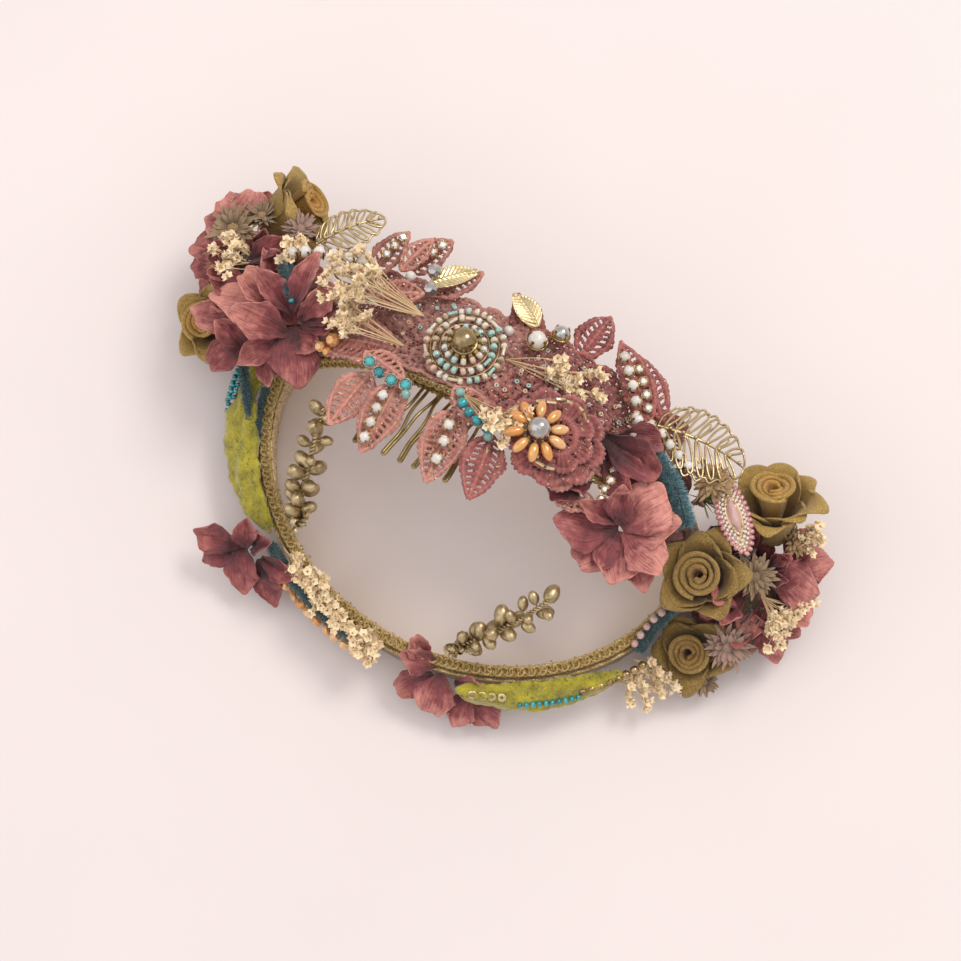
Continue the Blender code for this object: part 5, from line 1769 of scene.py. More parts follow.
@dataclass(frozen=True)
class LaceWork:
    """The lace on the arch: two panels, a round flower, and leaves that fan out before and behind."""

    leaf_area: float = 0.72
    panel_area: float = 1.0
    panel_turning: float = 2.4
    panel_ease: float = 1.12
    round_cut: tuple[float, float] = (28.0, 40.0)
    round_area: float = 0.76
    under_across: float = 23.0
    under_area: float = 0.74
    leaves: tuple[tuple[str, Leaf, str], ...] = (
        ("lace_leaf_front_a", Leaf((54.0, -32.5, 27.5), (50.5, -48.0, 30.0), 8.0, seed=1), "salmon"),
        ("lace_leaf_front_b", Leaf((44.5, -38.5, 28.0), (38.3, -51.5, 31.0), 9.0, seed=2), "salmon"),
        ("lace_leaf_wide", Leaf((33.5, -13.0, 45.5), (56.8, -6.5, 37.0), 15.0, bow=1.5, seed=3), "salmon"),
        ("lace_leaf_back_a", Leaf((37.0, -4.0, 44.6), (38.8, 15.0, 50.0), 10.5, seed=4), "salmon"),
        ("lace_leaf_back_b", Leaf((28.5, -5.0, 48.5), (26.5, 18.5, 56.5), 10.5, seed=5), "salmon"),
        ("lace_leaf_back_c", Leaf((10.5, -5.0, 53.6), (6.9, 18.0, 62.0), 11.5, seed=6), "salmon"),
        ("lace_leaf_back_d", Leaf((-1.5, -3.0, 55.4), (-5.2, 16.5, 63.0), 11.0, seed=7), "mauve"),
        ("lace_leaf_front_d", Leaf((-9.5, -37.5, 37.2), (-11.0, -53.0, 33.5), 10.0, seed=8), "mauve"),
        ("lace_leaf_right_a", Leaf((-35.0, -30.0, 40.5), (-17.0, -47.0, 38.5), 9.5, seed=9), "mauve"),
    )
    extras: tuple[tuple[str, Leaf, str], ...] = (
        ("lace_tip_front_c", Leaf((35.0, -33.0, 37.5), (25.5, -46.0, 36.2), 9.0, seed=11), "salmon"),
        ("lace_tip_front_e", Leaf((3.0, -33.5, 40.5), (14.0, -44.5, 40.0), 9.0, seed=12), "mauve"),
        ("lace_tip_front_f", Leaf((46.5, -36.0, 33.0), (43.0, -48.5, 33.5), 6.5, seed=13), "salmon"),
        ("lace_tip_right_b", Leaf((-38.0, -33.0, 38.0), (-23.0, -46.5, 36.5), 8.0, seed=14), "mauve"),
        ("lace_tip_right_c", Leaf((-33.0, -3.0, 44.5), (-24.5, 3.5, 47.5), 7.5, seed=15), "salmon"),
        ("lace_tip_left_d", Leaf((47.0, -24.0, 40.5), (35.5, -31.0, 43.5), 9.0, seed=16), "salmon"),
        ("lace_tip_left_e", Leaf((41.0, -8.0, 45.5), (27.0, -5.5, 50.5), 8.0, seed=17), "salmon"),
        ("lace_tip_mid_f", Leaf((14.0, -10.0, 54.0), (0.0, -3.0, 57.5), 9.0, seed=18), "salmon"),
    )
    panel_left: Panel = Panel(50.0, 3.0, -19.0, 9.5, seed=21)
    panel_right: Panel = Panel(5.0, -43.0, -20.0, 9.5, seed=22)

    def build(self) -> None:
        """Builds every piece of lace."""
        look = {"salmon": Looks.LACE_SALMON, "mauve": Looks.LACE_MAUVE}
        for name, leaf, shade in self.leaves + self.extras:
            own = [name] if (name, leaf, shade) in self.leaves else []
            item = add_piece("sewn_" + name, lace_leaf(leaf), look[shade], own, wall=0.5)
            declare_cloth(item, leaf.width, leaf.length, "stretched", ["covered_tape"], self.leaf_area)
        for name, panel, finish in (("lace_panel_left", self.panel_left, Looks.LACE_SALMON),
                                    ("lace_panel_right", self.panel_right, Looks.LACE_DEEP)):
            item = add_piece("sewn_" + name, panel.shape(), finish, [name], wall=0.5)
            declare_cloth(item, panel.back - panel.front + self.panel_turning,
                          abs(panel.last_x - panel.first_x) * self.panel_ease, "laid", ["covered_tape"],
                          self.panel_area)
        at = on_arch(-13.6, 7.4, 11.2)[0]
        out = unit(np.array([-0.14, -0.20, 1.0]))
        flower = joined([
            lace_round(at, out, 14.0, -0.10, 31),
            lace_round(at + out * 1.1, out + np.array([0.05, 0.05, 0.0]), 10.5, -0.05, 32, 8, 40, 180),
        ])
        item = add_piece("sewn_lace_round_flower", flower, Looks.LACE_MAUVE, ["lace_round_flower"], wall=0.5)
        declare_cloth(item, *self.round_cut, "stretched", ["sewn_lace_panel_right"], self.round_area)
        rim_at, rim_out = on_arch(-16.0, 6.0, 12.0)[0], unit(np.array([-0.2, -0.1, 1.0]))
        rim = lace_round(rim_at, rim_out, 11.5, -0.16, 33, 7, 40, 180)
        item = add_piece("sewn_lace_round_under", rim, Looks.LACE_SALMON, wall=0.5)
        declare_cloth(item, self.under_across, self.under_across, "stretched", ["sewn_lace_panel_right"],
                      self.under_area)


@dataclass(frozen=True)
class BeadWork:
    """The beads sewn on the lace."""

    def medallion(self) -> None:
        """Sews rings of seed beads, thin wire rings and bugles round a brass bead, on a disc of lace."""
        rng = np.random.default_rng(5)
        at = on_arch(16.0, 5.6, -1.5)[0]
        out = unit(np.array([0.14, -0.17, 1.0]))
        side, other = (v[0] for v in facing_frames(out[None], np.zeros(1)))
        disc = lace_round(at, out, 11.6, -0.03, 34, 12, 44, 200)
        base = add_piece("medallion_lace", disc, Looks.LACE_SALMON, wall=0.6)
        declare_cloth(base, 23.2, 23.2, "stretched", ["sewn_lace_panel_left"], 0.76)
        rings, bugles = [], []
        for number, (reach, lift, size) in enumerate(((5.3, 2.5, 1.16), (8.0, 1.9, 1.14), (10.6, 1.2,
                                                                                           1.08))):
            count = int(FULL_TURN * reach / (2.02 * size))
            angle = np.arange(count) * FULL_TURN / count + rng.normal(0.0, 0.02, count)
            far = reach + rng.normal(0.0, 0.10, count)
            places = (at + side * (far * np.cos(angle))[:, None] + other * (far * np.sin(angle))[:, None]
                      + out * (lift + rng.normal(0.0, 0.10, count))[:, None])
            ways = (-side * np.sin(angle)[:, None] + other * np.cos(angle)[:, None]
                    + rng.normal(0, 0.10, (count, 3)))
            long = rng.uniform(0.0, 1.0, count) < (0.0, 0.2, 0.3)[number]
            rings.append(scattered(SEED_BEAD, places[~long], ways[~long], size,
                                   rng.uniform(0, 6, (~long).sum()),
                                   rng.uniform(0.0, 0.999, (~long).sum())))
            if long.any():
                bugles.append(scattered(BUGLE_BEAD, places[long] + out * 0.2, ways[long], 0.5,
                                        rng.uniform(0, 6, long.sum()), rng.uniform(0.0, 0.999, long.sum())))
        add_piece("medallion_seed_rings", joined(rings + bugles), Looks.MEDALLION_SEEDS, ["bead_medallion"])
        angle = np.arange(14) * FULL_TURN / 14
        collar = (at + side * (4.1 * np.cos(angle))[:, None] + other * (4.1 * np.sin(angle))[:, None]
                  + out * 2.9)
        turn = np.arange(60)[:, None] * FULL_TURN / 60
        wires = [tubes(at + out * lift + reach * (side * np.cos(turn) + other * np.sin(turn)), 0.26, 6,
                       closed=True)
                 for reach, lift in ((6.65, 1.4), (9.3, 0.8))]
        add_piece("medallion_collar", joined([scattered(CUT_BEAD, collar, out, 0.95, angle)] + wires),
                  Looks.BRASS_OLD, edge=Edge.CREASED)
        middle = at + out * 5.0
        dome = scattered(ROUND_BEAD, middle[None], out, np.array([[3.55, 3.55, 3.3]]))
        hoop = scattered(ring_bead(0.72, 0.5, 24, 8), (middle - out * 2.1)[None], out, 3.9)
        add_piece("medallion_brass_bead", joined([dome, hoop]), Looks.BRONZE_BEAD, ["medallion_bead"])

    def rosette(self) -> None:
        """Sews ten rice beads as petals round a silver pearl."""
        rng = np.random.default_rng(6)
        at = on_arch(-9.2, 9.6, 14.4)[0]
        out = unit(np.array([-0.14, -0.18, 1.0]))
        side, other = (v[0] for v in facing_frames(out[None], np.array([0.3])))
        count = 10
        angle = np.arange(count) * FULL_TURN / count + rng.normal(0.0, 0.03, count)
        ways = side * np.cos(angle)[:, None] + other * np.sin(angle)[:, None] - out * 0.16
        places = at + ways * 6.1 + out * 0.9
        sizes = np.stack([np.full(count, 1.5), np.full(count, 1.42), np.full(count, 1.44)], axis=1)
        add_piece("rosette_rice_beads", scattered(ball(14, 12, 1.9), places, ways, sizes, 0.0,
                                                  rng.uniform(0.0, 0.999, count)),
                  Looks.AMBER, ["bead_rosette"])
        dome = scattered(ROUND_BEAD, (at + out * 2.3)[None], out, 3.05)
        add_piece("rosette_centre_pearl", dome, Looks.SILVER_PEARL, ["rosette_pearl"])
        knots = scattered(SMALL_BEAD, at + ways * 3.15 + out * 0.9, out, 0.5)
        add_piece("rosette_knots", knots, Looks.BRASS_OLD)

    def mounted(self, name: str, places: Array, facings: Array | Place, size: float,
                replaces: Sequence[str] = (),
                finish: Finish = Looks.PEARL, cup: Finish = Looks.BRASS_WIRE, cut: bool = False,
                seed: int = 1) -> None:
        """Sets stones or pearls in metal cups with four claws each."""
        rng = np.random.default_rng(seed)
        places = np.asarray(places, dtype=float)
        facings = unit(np.broadcast_to(np.asarray(facings, dtype=float), places.shape)
                       + rng.normal(0.0, 0.10, places.shape))
        tints = rng.uniform(0.0, 0.999, len(places))
        stone = scattered(CUT_STONE if cut else ball(14, 9), places, facings, size,
                          rng.uniform(0, 6, len(places)),
                          tints)
        add_piece(name, stone, finish, replaces, edge=Edge.FACETED if cut else Edge.SMOOTH)
        cups = scattered(STONE_CUP if cut else PEARL_CUP, places, facings, 1.06 * size)
        side, other = facing_frames(facings, rng.uniform(0, 6, len(places)))
        turn = np.arange(4) * 0.25 * FULL_TURN
        round_it = (side[:, None] * np.cos(turn)[None, :, None]
                    + other[:, None] * np.sin(turn)[None, :, None])
        t = np.linspace(0.0, 1.0, 6)[None, None, :, None]
        claw = (places[:, None, None] + round_it[:, :, None] * size * (1.12 - 0.32 * t ** 3)
                + facings[:, None, None] * size * (-0.7 + 1.35 * t))
        claws = tubes(claw.reshape(-1, 6, 3), 0.15 * size + 0.04, 5)
        add_piece(name + "_cups", joined([cups, claws]), cup)

    def strings(self) -> None:
        """Threads the rows of beads and the loose ones."""
        up = np.array(UP)
        left = smooth_line([(38.0, -5.6, 50.4), (32.0, -3.6, 52.0), (25.9, -4.2, 53.6)], 40)
        places, _ = spaced(left, 3.7)
        self.mounted("turquoise_stones_left", places, (0.0, 0.0, 1.0), 1.5, ["turquoise_row_left"],
                     Looks.TURQUOISE,
                     Looks.STEEL, True, 2)
        right = smooth_line([(9.4, -6.2, 59.4), (5.2, -4.2, 60.2), (0.4, -3.2, 60.8)], 40)
        beads = threaded(right, ball(14, 9), 1.45, 3.3, 3)
        add_piece("turquoise_beads_right", beads, Looks.TURQUOISE, ["turquoise_row_right"])
        back = smooth_line([(29.5, 1.5, 54.8), (28.5, 8.0, 57.6), (27.3, 14.6, 59.4)], 40)
        self.mounted("pearls_on_back_leaf", spaced(back, 4.3)[0], up, 1.45, ["pearl_row_back"], seed=4)
        front = smooth_line([(-20.5, -42.5, 43.6), (-26.5, -36.0, 45.6), (-31.0, -30.0, 46.0),
                             (-33.0, -24.5, 46.4)], 40)
        self.mounted("pearls_on_right_leaf", spaced(front, 4.1)[0], up, 1.5, ["pearl_row_right"], seed=5)
        second = smooth_line([(-25.5, -42.0, 41.4), (-29.5, -38.0, 42.2), (-33.0, -33.5, 42.0)], 20)
        self.mounted("stones_on_right_leaf", spaced(second, 3.8)[0], up, 1.2, (), Looks.CRYSTAL, cut=True,
                     seed=6)
        middle = smooth_line([(9.5, 1.0, 60.4), (8.2, 6.0, 62.2), (7.4, 11.0, 63.2)], 20)
        self.mounted("pearls_on_middle_leaf", spaced(middle, 5.0)[0], up, 1.5, seed=7)
        pair, out = on_arch(np.array([1.6, -2.9]), 7.6, np.array([-13.2, -19.0]))
        self.mounted("pearl_pair_white", pair[:1], out[:1], 2.6, ["pearl_pair"], seed=12)
        self.mounted("pearl_pair_silver", pair[1:], out[1:], 2.4, (), Looks.SILVER_PEARL, seed=13)
        fold = np.array([(51.0, -45.0, 32.6), (51.8, -41.8, 32.6), (52.6, -38.8, 32.0)])
        self.mounted("stones_on_front_leaf_a", fold, up, 1.15, (), Looks.CRYSTAL, cut=True, seed=8)
        fold_b = np.array([(40.0, -48.3, 33.4), (41.4, -45.2, 33.6), (42.8, -42.3, 33.4), (44.2, -39.5,
                                                                                           32.6)])
        self.mounted("stones_on_front_leaf_b", fold_b, up, 1.2, (), Looks.CRYSTAL, cut=True, seed=9)
        silver = np.array([(37.0, -38.8, 40.6), (35.0, -33.2, 42.8)])
        add_piece("silver_cut_beads", scattered(CUT_BEAD, silver, (0.3, 0.2, 1.0), 2.3, 0.4),
                  Looks.SILVER_PEARL,
                  edge=Edge.FACETED)
        inner = np.array([(-33.6, -12.5, 48.0), (-34.2, -9.6, 48.2), (-34.0, -6.6, 48.2), (-34.4, -3.8,
                                                                                           48.0)])
        self.mounted("stones_by_right_floret", inner, up, 1.15, (), Looks.CRYSTAL, cut=True, seed=10)
        whites = np.array([(10.2, -32.6, 46.2), (-5.6, -31.6, 46.8), (42.0, -34.2, 41.0), (22.8, -30.6,
                                                                                           46.6)])
        add_piece("small_white_pearls", scattered(ball(12, 8), whites, UP, 1.5), Looks.PEARL)
        mint = np.array([(11.5, -8.6, 58.6), (-1.0, -1.5, 59.8), (24.6, -2.0, 53.4), (46.8, -22.0, 45.2)])
        add_piece("mint_beads", scattered(ball(12, 8), mint, UP, 1.35, 0.0, 0.2), Looks.MIXED_SEEDS)
        rng = np.random.default_rng(41)
        flower_at, flower_out = on_arch(-13.6, 9.4, 11.2)[0], unit(np.array([-0.14, -0.20, 1.0]))
        side, other = (v[0] for v in facing_frames(flower_out[None], np.zeros(1)))
        angle = np.concatenate([np.linspace(-0.4, 1.6, 8), np.linspace(2.3, 3.4, 5)])
        reach = 9.5 + rng.normal(0.0, 0.5, len(angle))
        spots = (flower_at + side * (reach * np.cos(angle))[:, None]
                 + other * (reach * np.sin(angle))[:, None]
                 - flower_out * 0.3)
        ways = (-side * np.sin(angle)[:, None] + other * np.cos(angle)[:, None]
                + rng.normal(0, 0.3, (len(angle), 3)))
        add_piece("flower_bugles", scattered(BUGLE_BEAD, spots, ways, 0.5, 0.0,
                                             rng.uniform(0, 1, len(angle))),
                  Looks.GOLD_BEAD, edge=Edge.CREASED)
        count = 84
        x = rng.uniform(-36.0, 45.0, count)
        wide = rng.uniform(-17.0, 7.5, count)
        rise = 1.0 + PANEL_LIFT + PANEL_END_LIFT * np.clip((np.abs(x) - PANEL_FLAT_X) / 30.0, 0.0,
                                                           1.0) ** 1.5
        spots, out = on_arch(x, rise + 0.65, wide)
        add_piece("scattered_seeds", scattered(SEED_BEAD, spots, out + rng.normal(0, 0.25, (count, 3)),
                                               0.72, 0.0,
                                               rng.uniform(0, 0.999, count)), Looks.MEDALLION_SEEDS)

    def build(self) -> None:
        """Builds the medallion, the rosette and the strings."""
        self.medallion()
        self.rosette()
        self.strings()


def stamped_leaf(leaf: Leaf, step: float = 0.22) -> Shape:
    """Makes a stamped metal leaf: a raised midrib, parallel slanting veins and a turned-up rim, over a thin
    plate."""
    s, t, half = leaf.grid(step)
    u, v = s * leaf.length, t * half
    relief = (0.45 * np.exp(-(v / 0.35) ** 2) + 0.17 * np.cos(FULL_TURN * (u - 0.9 * np.abs(v)) / 1.25)
              + 0.28 * np.exp(-((np.abs(v) - half) / 0.3) ** 2) - 0.5 * np.abs(t) ** 2)
    return surface(leaf.placed(s, v, relief), 0.0, s, v)


def filigree(leaf: Leaf, loops: int, wire: float = 0.42) -> Shape:
    """Bends a leaf from wire: a stem, an outline, and pairs of open drops that slant from the stem to the
    edge.

    Round a drop, with q from 0 to 1, the reach from the stem is sin(pi q) and the place across it is cos(pi
    q) sin(pi q)^0.7, so that it is thin at the stem and round at the edge.
    """
    q = np.linspace(0.0, 1.0, 26)
    lines, thin = [], []
    spacing = 0.80 / loops
    for number in range(loops):
        start = 0.03 + spacing * number
        for hand in (-1.0, 1.0):
            reach = np.sin(math.pi * q)
            across = 0.62 * spacing * np.cos(math.pi * q) * reach ** 0.7
            slant = 0.17 * reach
            s = np.clip(start + 0.03 + slant - across, 0.0, 1.0)
            end = min(start + 0.03 + 0.17, 0.97)
            half = 0.5 * leaf.width * math.sin(math.pi * end ** 0.85) ** leaf.blunt
            lines.append(leaf.placed(s, hand * 0.93 * half * reach, 0.35 * reach))
            if number % 2:
                s_in = np.clip(start + 0.03 + 0.6 * slant - 0.5 * across, 0.0, 1.0)
                thin.append(leaf.placed(s_in, hand * 0.62 * half * reach, 0.3 + 0.1 * reach))
    s = np.linspace(0.0, 1.0, 60)
    edge = 0.5 * leaf.width * np.sin(math.pi * np.clip(s, 0.0, 1.0) ** 0.85) ** leaf.blunt
    wavy = edge * (0.96 + 0.07 * np.cos(FULL_TURN * (s * loops * 1.02 + 0.1)))
    rims = tubes(np.stack([leaf.placed(s, wavy, 0 * s), leaf.placed(s, -wavy, 0 * s)]), 0.9 * wire, 7)
    stem = tubes(leaf.placed(s, 0 * s, 0.2 + 0 * s), np.linspace(1.5, 0.8, 60) * wire, 8)
    beads = scattered(SMALL_BEAD, leaf.placed(0.12 + 0.8 * np.linspace(0, 1, loops), np.zeros(loops),
                                              np.full(loops, 0.7)), leaf.normal(), 0.62)
    return joined([tubes(np.stack(lines), wire, 7), tubes(np.stack(thin), 0.6 * wire, 6), rims, stem, beads])


# ---------------------------------------------------------------- flowers at the two feet and behind


def add_florets(name: str, petals: Sequence[Petal], finish: Finish, replaces: Sequence[str], seed: int,
                wall: float = 0.26) -> None:
    """Builds a flower head from its petals."""
    shape = joined([petal.shape(seed * 50 + number) for number, petal in enumerate(petals)])
    add_piece(name, shape, finish, replaces, wall=wall)


def filler_petals(centre: Place, spread: Place, count: int, seed: int,
                  size: tuple[float, float] = (5.0, 9.5),
                  lowest: float = 1.5) -> list[Petal]:
    """Returns small curled petals that fill in round a centre: each grows outwards and up from inside an
    oval."""
    rng = np.random.default_rng(seed)
    made = []
    for _ in range(count):
        way = unit(rng.normal(0.0, 1.0, 3) * np.array([1.0, 1.0, 0.45]))
        base = np.array(centre) + np.array(spread) * way * 0.62
        long = rng.uniform(*size)
        lean = unit(way + np.array([0.0, 0.0, rng.uniform(0.1, 0.9)]))
        tip = base + lean * long
        tip[2] = max(tip[2], lowest)
        base[2] = max(base[2], lowest + 0.5)
        made.append(Petal(tuple(base), tuple(tip), long * rng.uniform(0.45, 0.8),
                          tuple(way + np.array(UP) * 1.2),
                          bow=rng.uniform(0.4, 1.4), curl=rng.uniform(-1.0, 2.4), cup=rng.uniform(0.4, 1.8),
                          fold=rng.uniform(0.0, 0.6), point=rng.uniform(0.1, 0.9),
                          tint=rng.uniform(-0.4, 0.9)))
    return made


@dataclass(frozen=True)
class StemBundle:
    """What holds a cluster together: bound stems over a padded core, wound with yarn, with dry leaves
    between."""

    name: str
    node: str
    centre: Place
    radius: float
    low: float
    top: float
    seed: int

    def core(self) -> Shape:
        """Returns the padded core: a dome whose radius is ruffled by waves, flat where it rests."""
        profile = np.array([(0.0, self.low), (0.52, self.low), (0.74, self.low + 7.0), (0.80,
                                                                                        0.45 * self.top),
                            (0.70, 0.75 * self.top), (0.40, 0.93 * self.top), (0.0, self.top)])
        rows = np.interp(np.linspace(0, 6, 37), np.arange(7), profile[:, 0]) * self.radius
        lift = np.interp(np.linspace(0, 6, 37), np.arange(7), profile[:, 1])
        shape = turned(list(zip(rows, lift)), 64)
        ruffle = waves(shape.points[:, 0], shape.points[:, 1] + shape.points[:, 2], 7.0, self.seed)
        flat = np.clip((shape.points[:, 2] - self.low) / 3.0, 0.0, 1.0)
        shape.points[:, :2] *= (1.0 + 0.09 * ruffle * flat)[:, None]
        shape.points[:, :2] += np.array(self.centre[:2])
        return shape

    def stems(self, count: int = 54) -> Shape:
        """Lays bent stems over the core: each follows the dome from a random side, up and over, or round
        it."""
        rng = np.random.default_rng(self.seed + 1)
        t = np.linspace(0.0, 1.0, 14)
        start = rng.uniform(0.0, FULL_TURN, count)[:, None]
        swing = rng.uniform(-1.6, 1.6, count)[:, None]
        low = rng.uniform(0.02, 0.55, count)[:, None]
        high = rng.uniform(0.35, 0.98, count)[:, None]
        angle = start + swing * t
        share = low + (high - low) * t
        reach = self.radius * (1.0 - 0.55 * np.clip(share, 0, 1) ** 3) + rng.uniform(-0.5, 1.2, count)[:,
                                                                                                       None]
        height = self.low + 1.2 + (self.top - self.low) * share
        lines = np.stack([self.centre[0] + reach * np.cos(angle), self.centre[1] + reach * np.sin(angle),
                          height + 0.5 * np.sin(9.0 * t + start)], axis=-1)
        return tubes(lines, rng.uniform(0.22, 0.62, count)[:, None] * np.linspace(1.1, 0.7, 14), 6,
                     rng.uniform(-1.0, 1.0, count))

    def skirt(self, count: int, seed: int) -> list[Petal]:
        """Returns dry leaves that hang round the foot of the core, from its side out and down to the rest
        level."""
        rng = np.random.default_rng(seed)
        made = []
        for number in range(count):
            angle = FULL_TURN * (number + rng.uniform(-0.35, 0.35)) / count
            way = np.array([math.cos(angle), math.sin(angle), 0.0])
            root = np.array(self.centre) * (1.0, 1.0, 0.0) + way * self.radius * rng.uniform(0.60, 0.80)
            tip = root + way * self.radius * rng.uniform(0.30, 0.52)
            root[2] = self.low + rng.uniform(9.0, 14.0)
            tip[2] = self.low + rng.uniform(2.2, 5.5)
            made.append(Petal(tuple(root), tuple(tip), rng.uniform(6.5, 9.0),
                              tuple(way + np.array(UP) * 0.7),
                              bow=rng.uniform(0.8, 1.6), curl=rng.uniform(0.0, 2.0),
                              cup=rng.uniform(0.5, 1.6),
                              fold=rng.uniform(0.0, 0.4), point=rng.uniform(0.2, 0.8),
                              tint=rng.uniform(-0.4, 0.6)))
        return made

    def build(self) -> None:
        """Builds the bundle and its dry leaves."""
        add_piece(self.name, joined([self.core(), self.stems()]), Looks.STEMS, [self.node])
        middle = (self.centre[0], self.centre[1], 0.5 * (self.low + self.top))
        spread = (self.radius * 1.25, self.radius * 1.25, 0.45 * (self.top - self.low))
        dark = filler_petals(middle, spread, 16, self.seed + 2, (6.0, 11.0)) + self.skirt(13, self.seed + 7)
        add_florets(self.name + "_leaves", dark, Looks.PETAL_DEEP, (), self.seed + 3, 0.3)
        dusty = filler_petals(middle, spread, 9, self.seed + 5, (5.0, 9.0)) + self.skirt(11, self.seed + 8)
        add_florets(self.name + "_husks", dusty, Looks.PETAL_DUSTY, (), self.seed + 6, 0.3)


@dataclass(frozen=True)
class LeftCluster:
    """The larger cluster, at the +X foot of the arch."""

    bundle: StemBundle = StemBundle("bound_bundle_left", "stem_bundle_left", (83.0, -17.0, 13.0), 13.5, 0.4,
                                    25.0, 3)
    rose_front: Rosebud = Rosebud((88.5, -30.5, 25.5), (77.0, -43.0, 34.5), 8.6, 1, heart=0.95, flare=0.5)
    rose_side: Rosebud = Rosebud((86.0, -2.5, 8.5), (91.0, 1.5, 21.5), 8.6, 2, heart=0.9)
    large: tuple[Petal, ...] = (
        Petal((67.0, -7.0, 38.0), (88.5, -4.5, 33.5), 10.5, bow=2.0, cup=0.8, point=0.5, tint=1.3,
              ruffle=0.3),
        Petal((68.0, -9.0, 38.5), (83.5, -11.5, 39.5), 9.0, bow=1.5, cup=2.2, fold=0.35, tint=0.8),
        Petal((64.0, -3.5, 38.0), (79.5, -0.5, 42.0), 10.0, bow=1.0, cup=2.8, fold=0.3, tint=0.6),
        Petal((72.5, 4.0, 33.0), (83.0, 1.5, 31.0), 7.0, bow=1.0, curl=2.5, cup=2.0, tint=0.1),
        Petal((64.5, -1.5, 37.0), (72.0, 8.5, 33.5), 7.0, bow=1.2, curl=2.2, cup=1.8, tint=0.2),
        Petal((68.0, 2.5, 32.0), (63.5, 9.5, 27.0), 5.0, bow=1.0, cup=1.0, point=0.9, tint=0.4),
        Petal((62.8, -6.5, 38.0), (55.5, 8.0, 36.5), 13.0, bow=1.2, cup=-0.8, curl=-0.6, tint=-0.25,
              ruffle=0.4),
        Petal((65.5, -9.5, 38.5), (79.5, -14.5, 43.0), 7.5, bow=0.8, cup=1.8, fold=0.5, tint=0.3),
        Petal((75.0, -4.0, 32.0), (91.0, 3.0, 27.0), 9.5, bow=1.2, curl=2.0, cup=1.6, tint=0.3),
        Petal((74.0, 1.0, 30.0), (80.0, 12.0, 23.0), 8.5, bow=1.4, curl=2.0, cup=1.5, tint=-0.2),
        Petal((78.0, -8.0, 34.0), (92.5, -9.5, 33.0), 8.0, bow=1.2, cup=1.8, tint=0.1),
    )
    inner: tuple[Petal, ...] = (
        Petal((64.8, -10.0, 40.5), (64.6, -27.0, 49.5), 8.5, facing=(0.3, 0.4, 0.9), bow=1.5, cup=1.2,
              fold=0.7,
              point=0.9, tint=0.35),
        Petal((62.5, -9.0, 40.5), (59.4, -21.5, 48.5), 8.5, facing=(-0.4, 0.5, 0.8), bow=1.2, cup=1.0,
              fold=0.7,
              point=0.9, tint=0.7),
        Petal((61.5, -8.0, 40.0), (55.5, -19.5, 43.5), 9.0, bow=0.8, cup=1.2, fold=0.25, point=0.4,
              tint=-0.1),
        Petal((61.0, -7.5, 39.5), (52.0, -15.5, 40.5), 8.5, bow=0.8, cup=0.9, point=0.4, tint=0.2),
        Petal((63.0, -5.0, 38.0), (54.0, -3.5, 38.0), 7.5, bow=0.6, cup=0.8, tint=0.0),
        Petal((69.0, -13.0, 38.0), (72.0, -24.0, 40.0), 7.5, bow=1.0, cup=1.6, fold=0.3, tint=0.5),
        Petal((72.0, -15.0, 36.0), (81.0, -22.5, 38.0), 7.5, bow=1.0, cup=1.8, fold=0.4, tint=0.2),
    )
    outer: tuple[Petal, ...] = (
        Petal((92.5, -26.0, 29.0), (95.5, -37.0, 28.0), 10.0, bow=1.2, cup=1.2, tint=1.0, point=0.5),
        Petal((93.5, -27.0, 28.5), (102.5, -31.5, 24.0), 9.0, bow=1.2, cup=1.4, tint=0.6),
        Petal((93.5, -26.0, 27.0), (103.5, -24.5, 21.0), 8.5, bow=1.2, cup=1.2, tint=0.3),
        Petal((93.0, -20.5, 25.0), (103.5, -16.5, 18.0), 9.0, bow=1.4, curl=2.0, cup=1.6, tint=0.1),
        Petal((92.5, -18.0, 23.0), (99.5, -10.5, 16.0), 8.0, bow=1.2, curl=2.0, cup=1.6, tint=-0.2),
        Petal((84.0, -16.5, 36.0), (76.0, -27.5, 39.5), 6.5, bow=1.0, cup=1.6, fold=0.6, point=0.8,
              tint=-0.5),
        Petal((91.0, -30.0, 27.0), (90.0, -40.0, 23.0), 8.0, bow=1.0, cup=1.4, tint=0.2),
    )
    silver_leaf: Leaf = Leaf((69.5, -30.0, 39.0), (57.0, -46.0, 37.5), 12.5, bow=2.2, cup=-1.2, blunt=0.6,
                             seed=41)

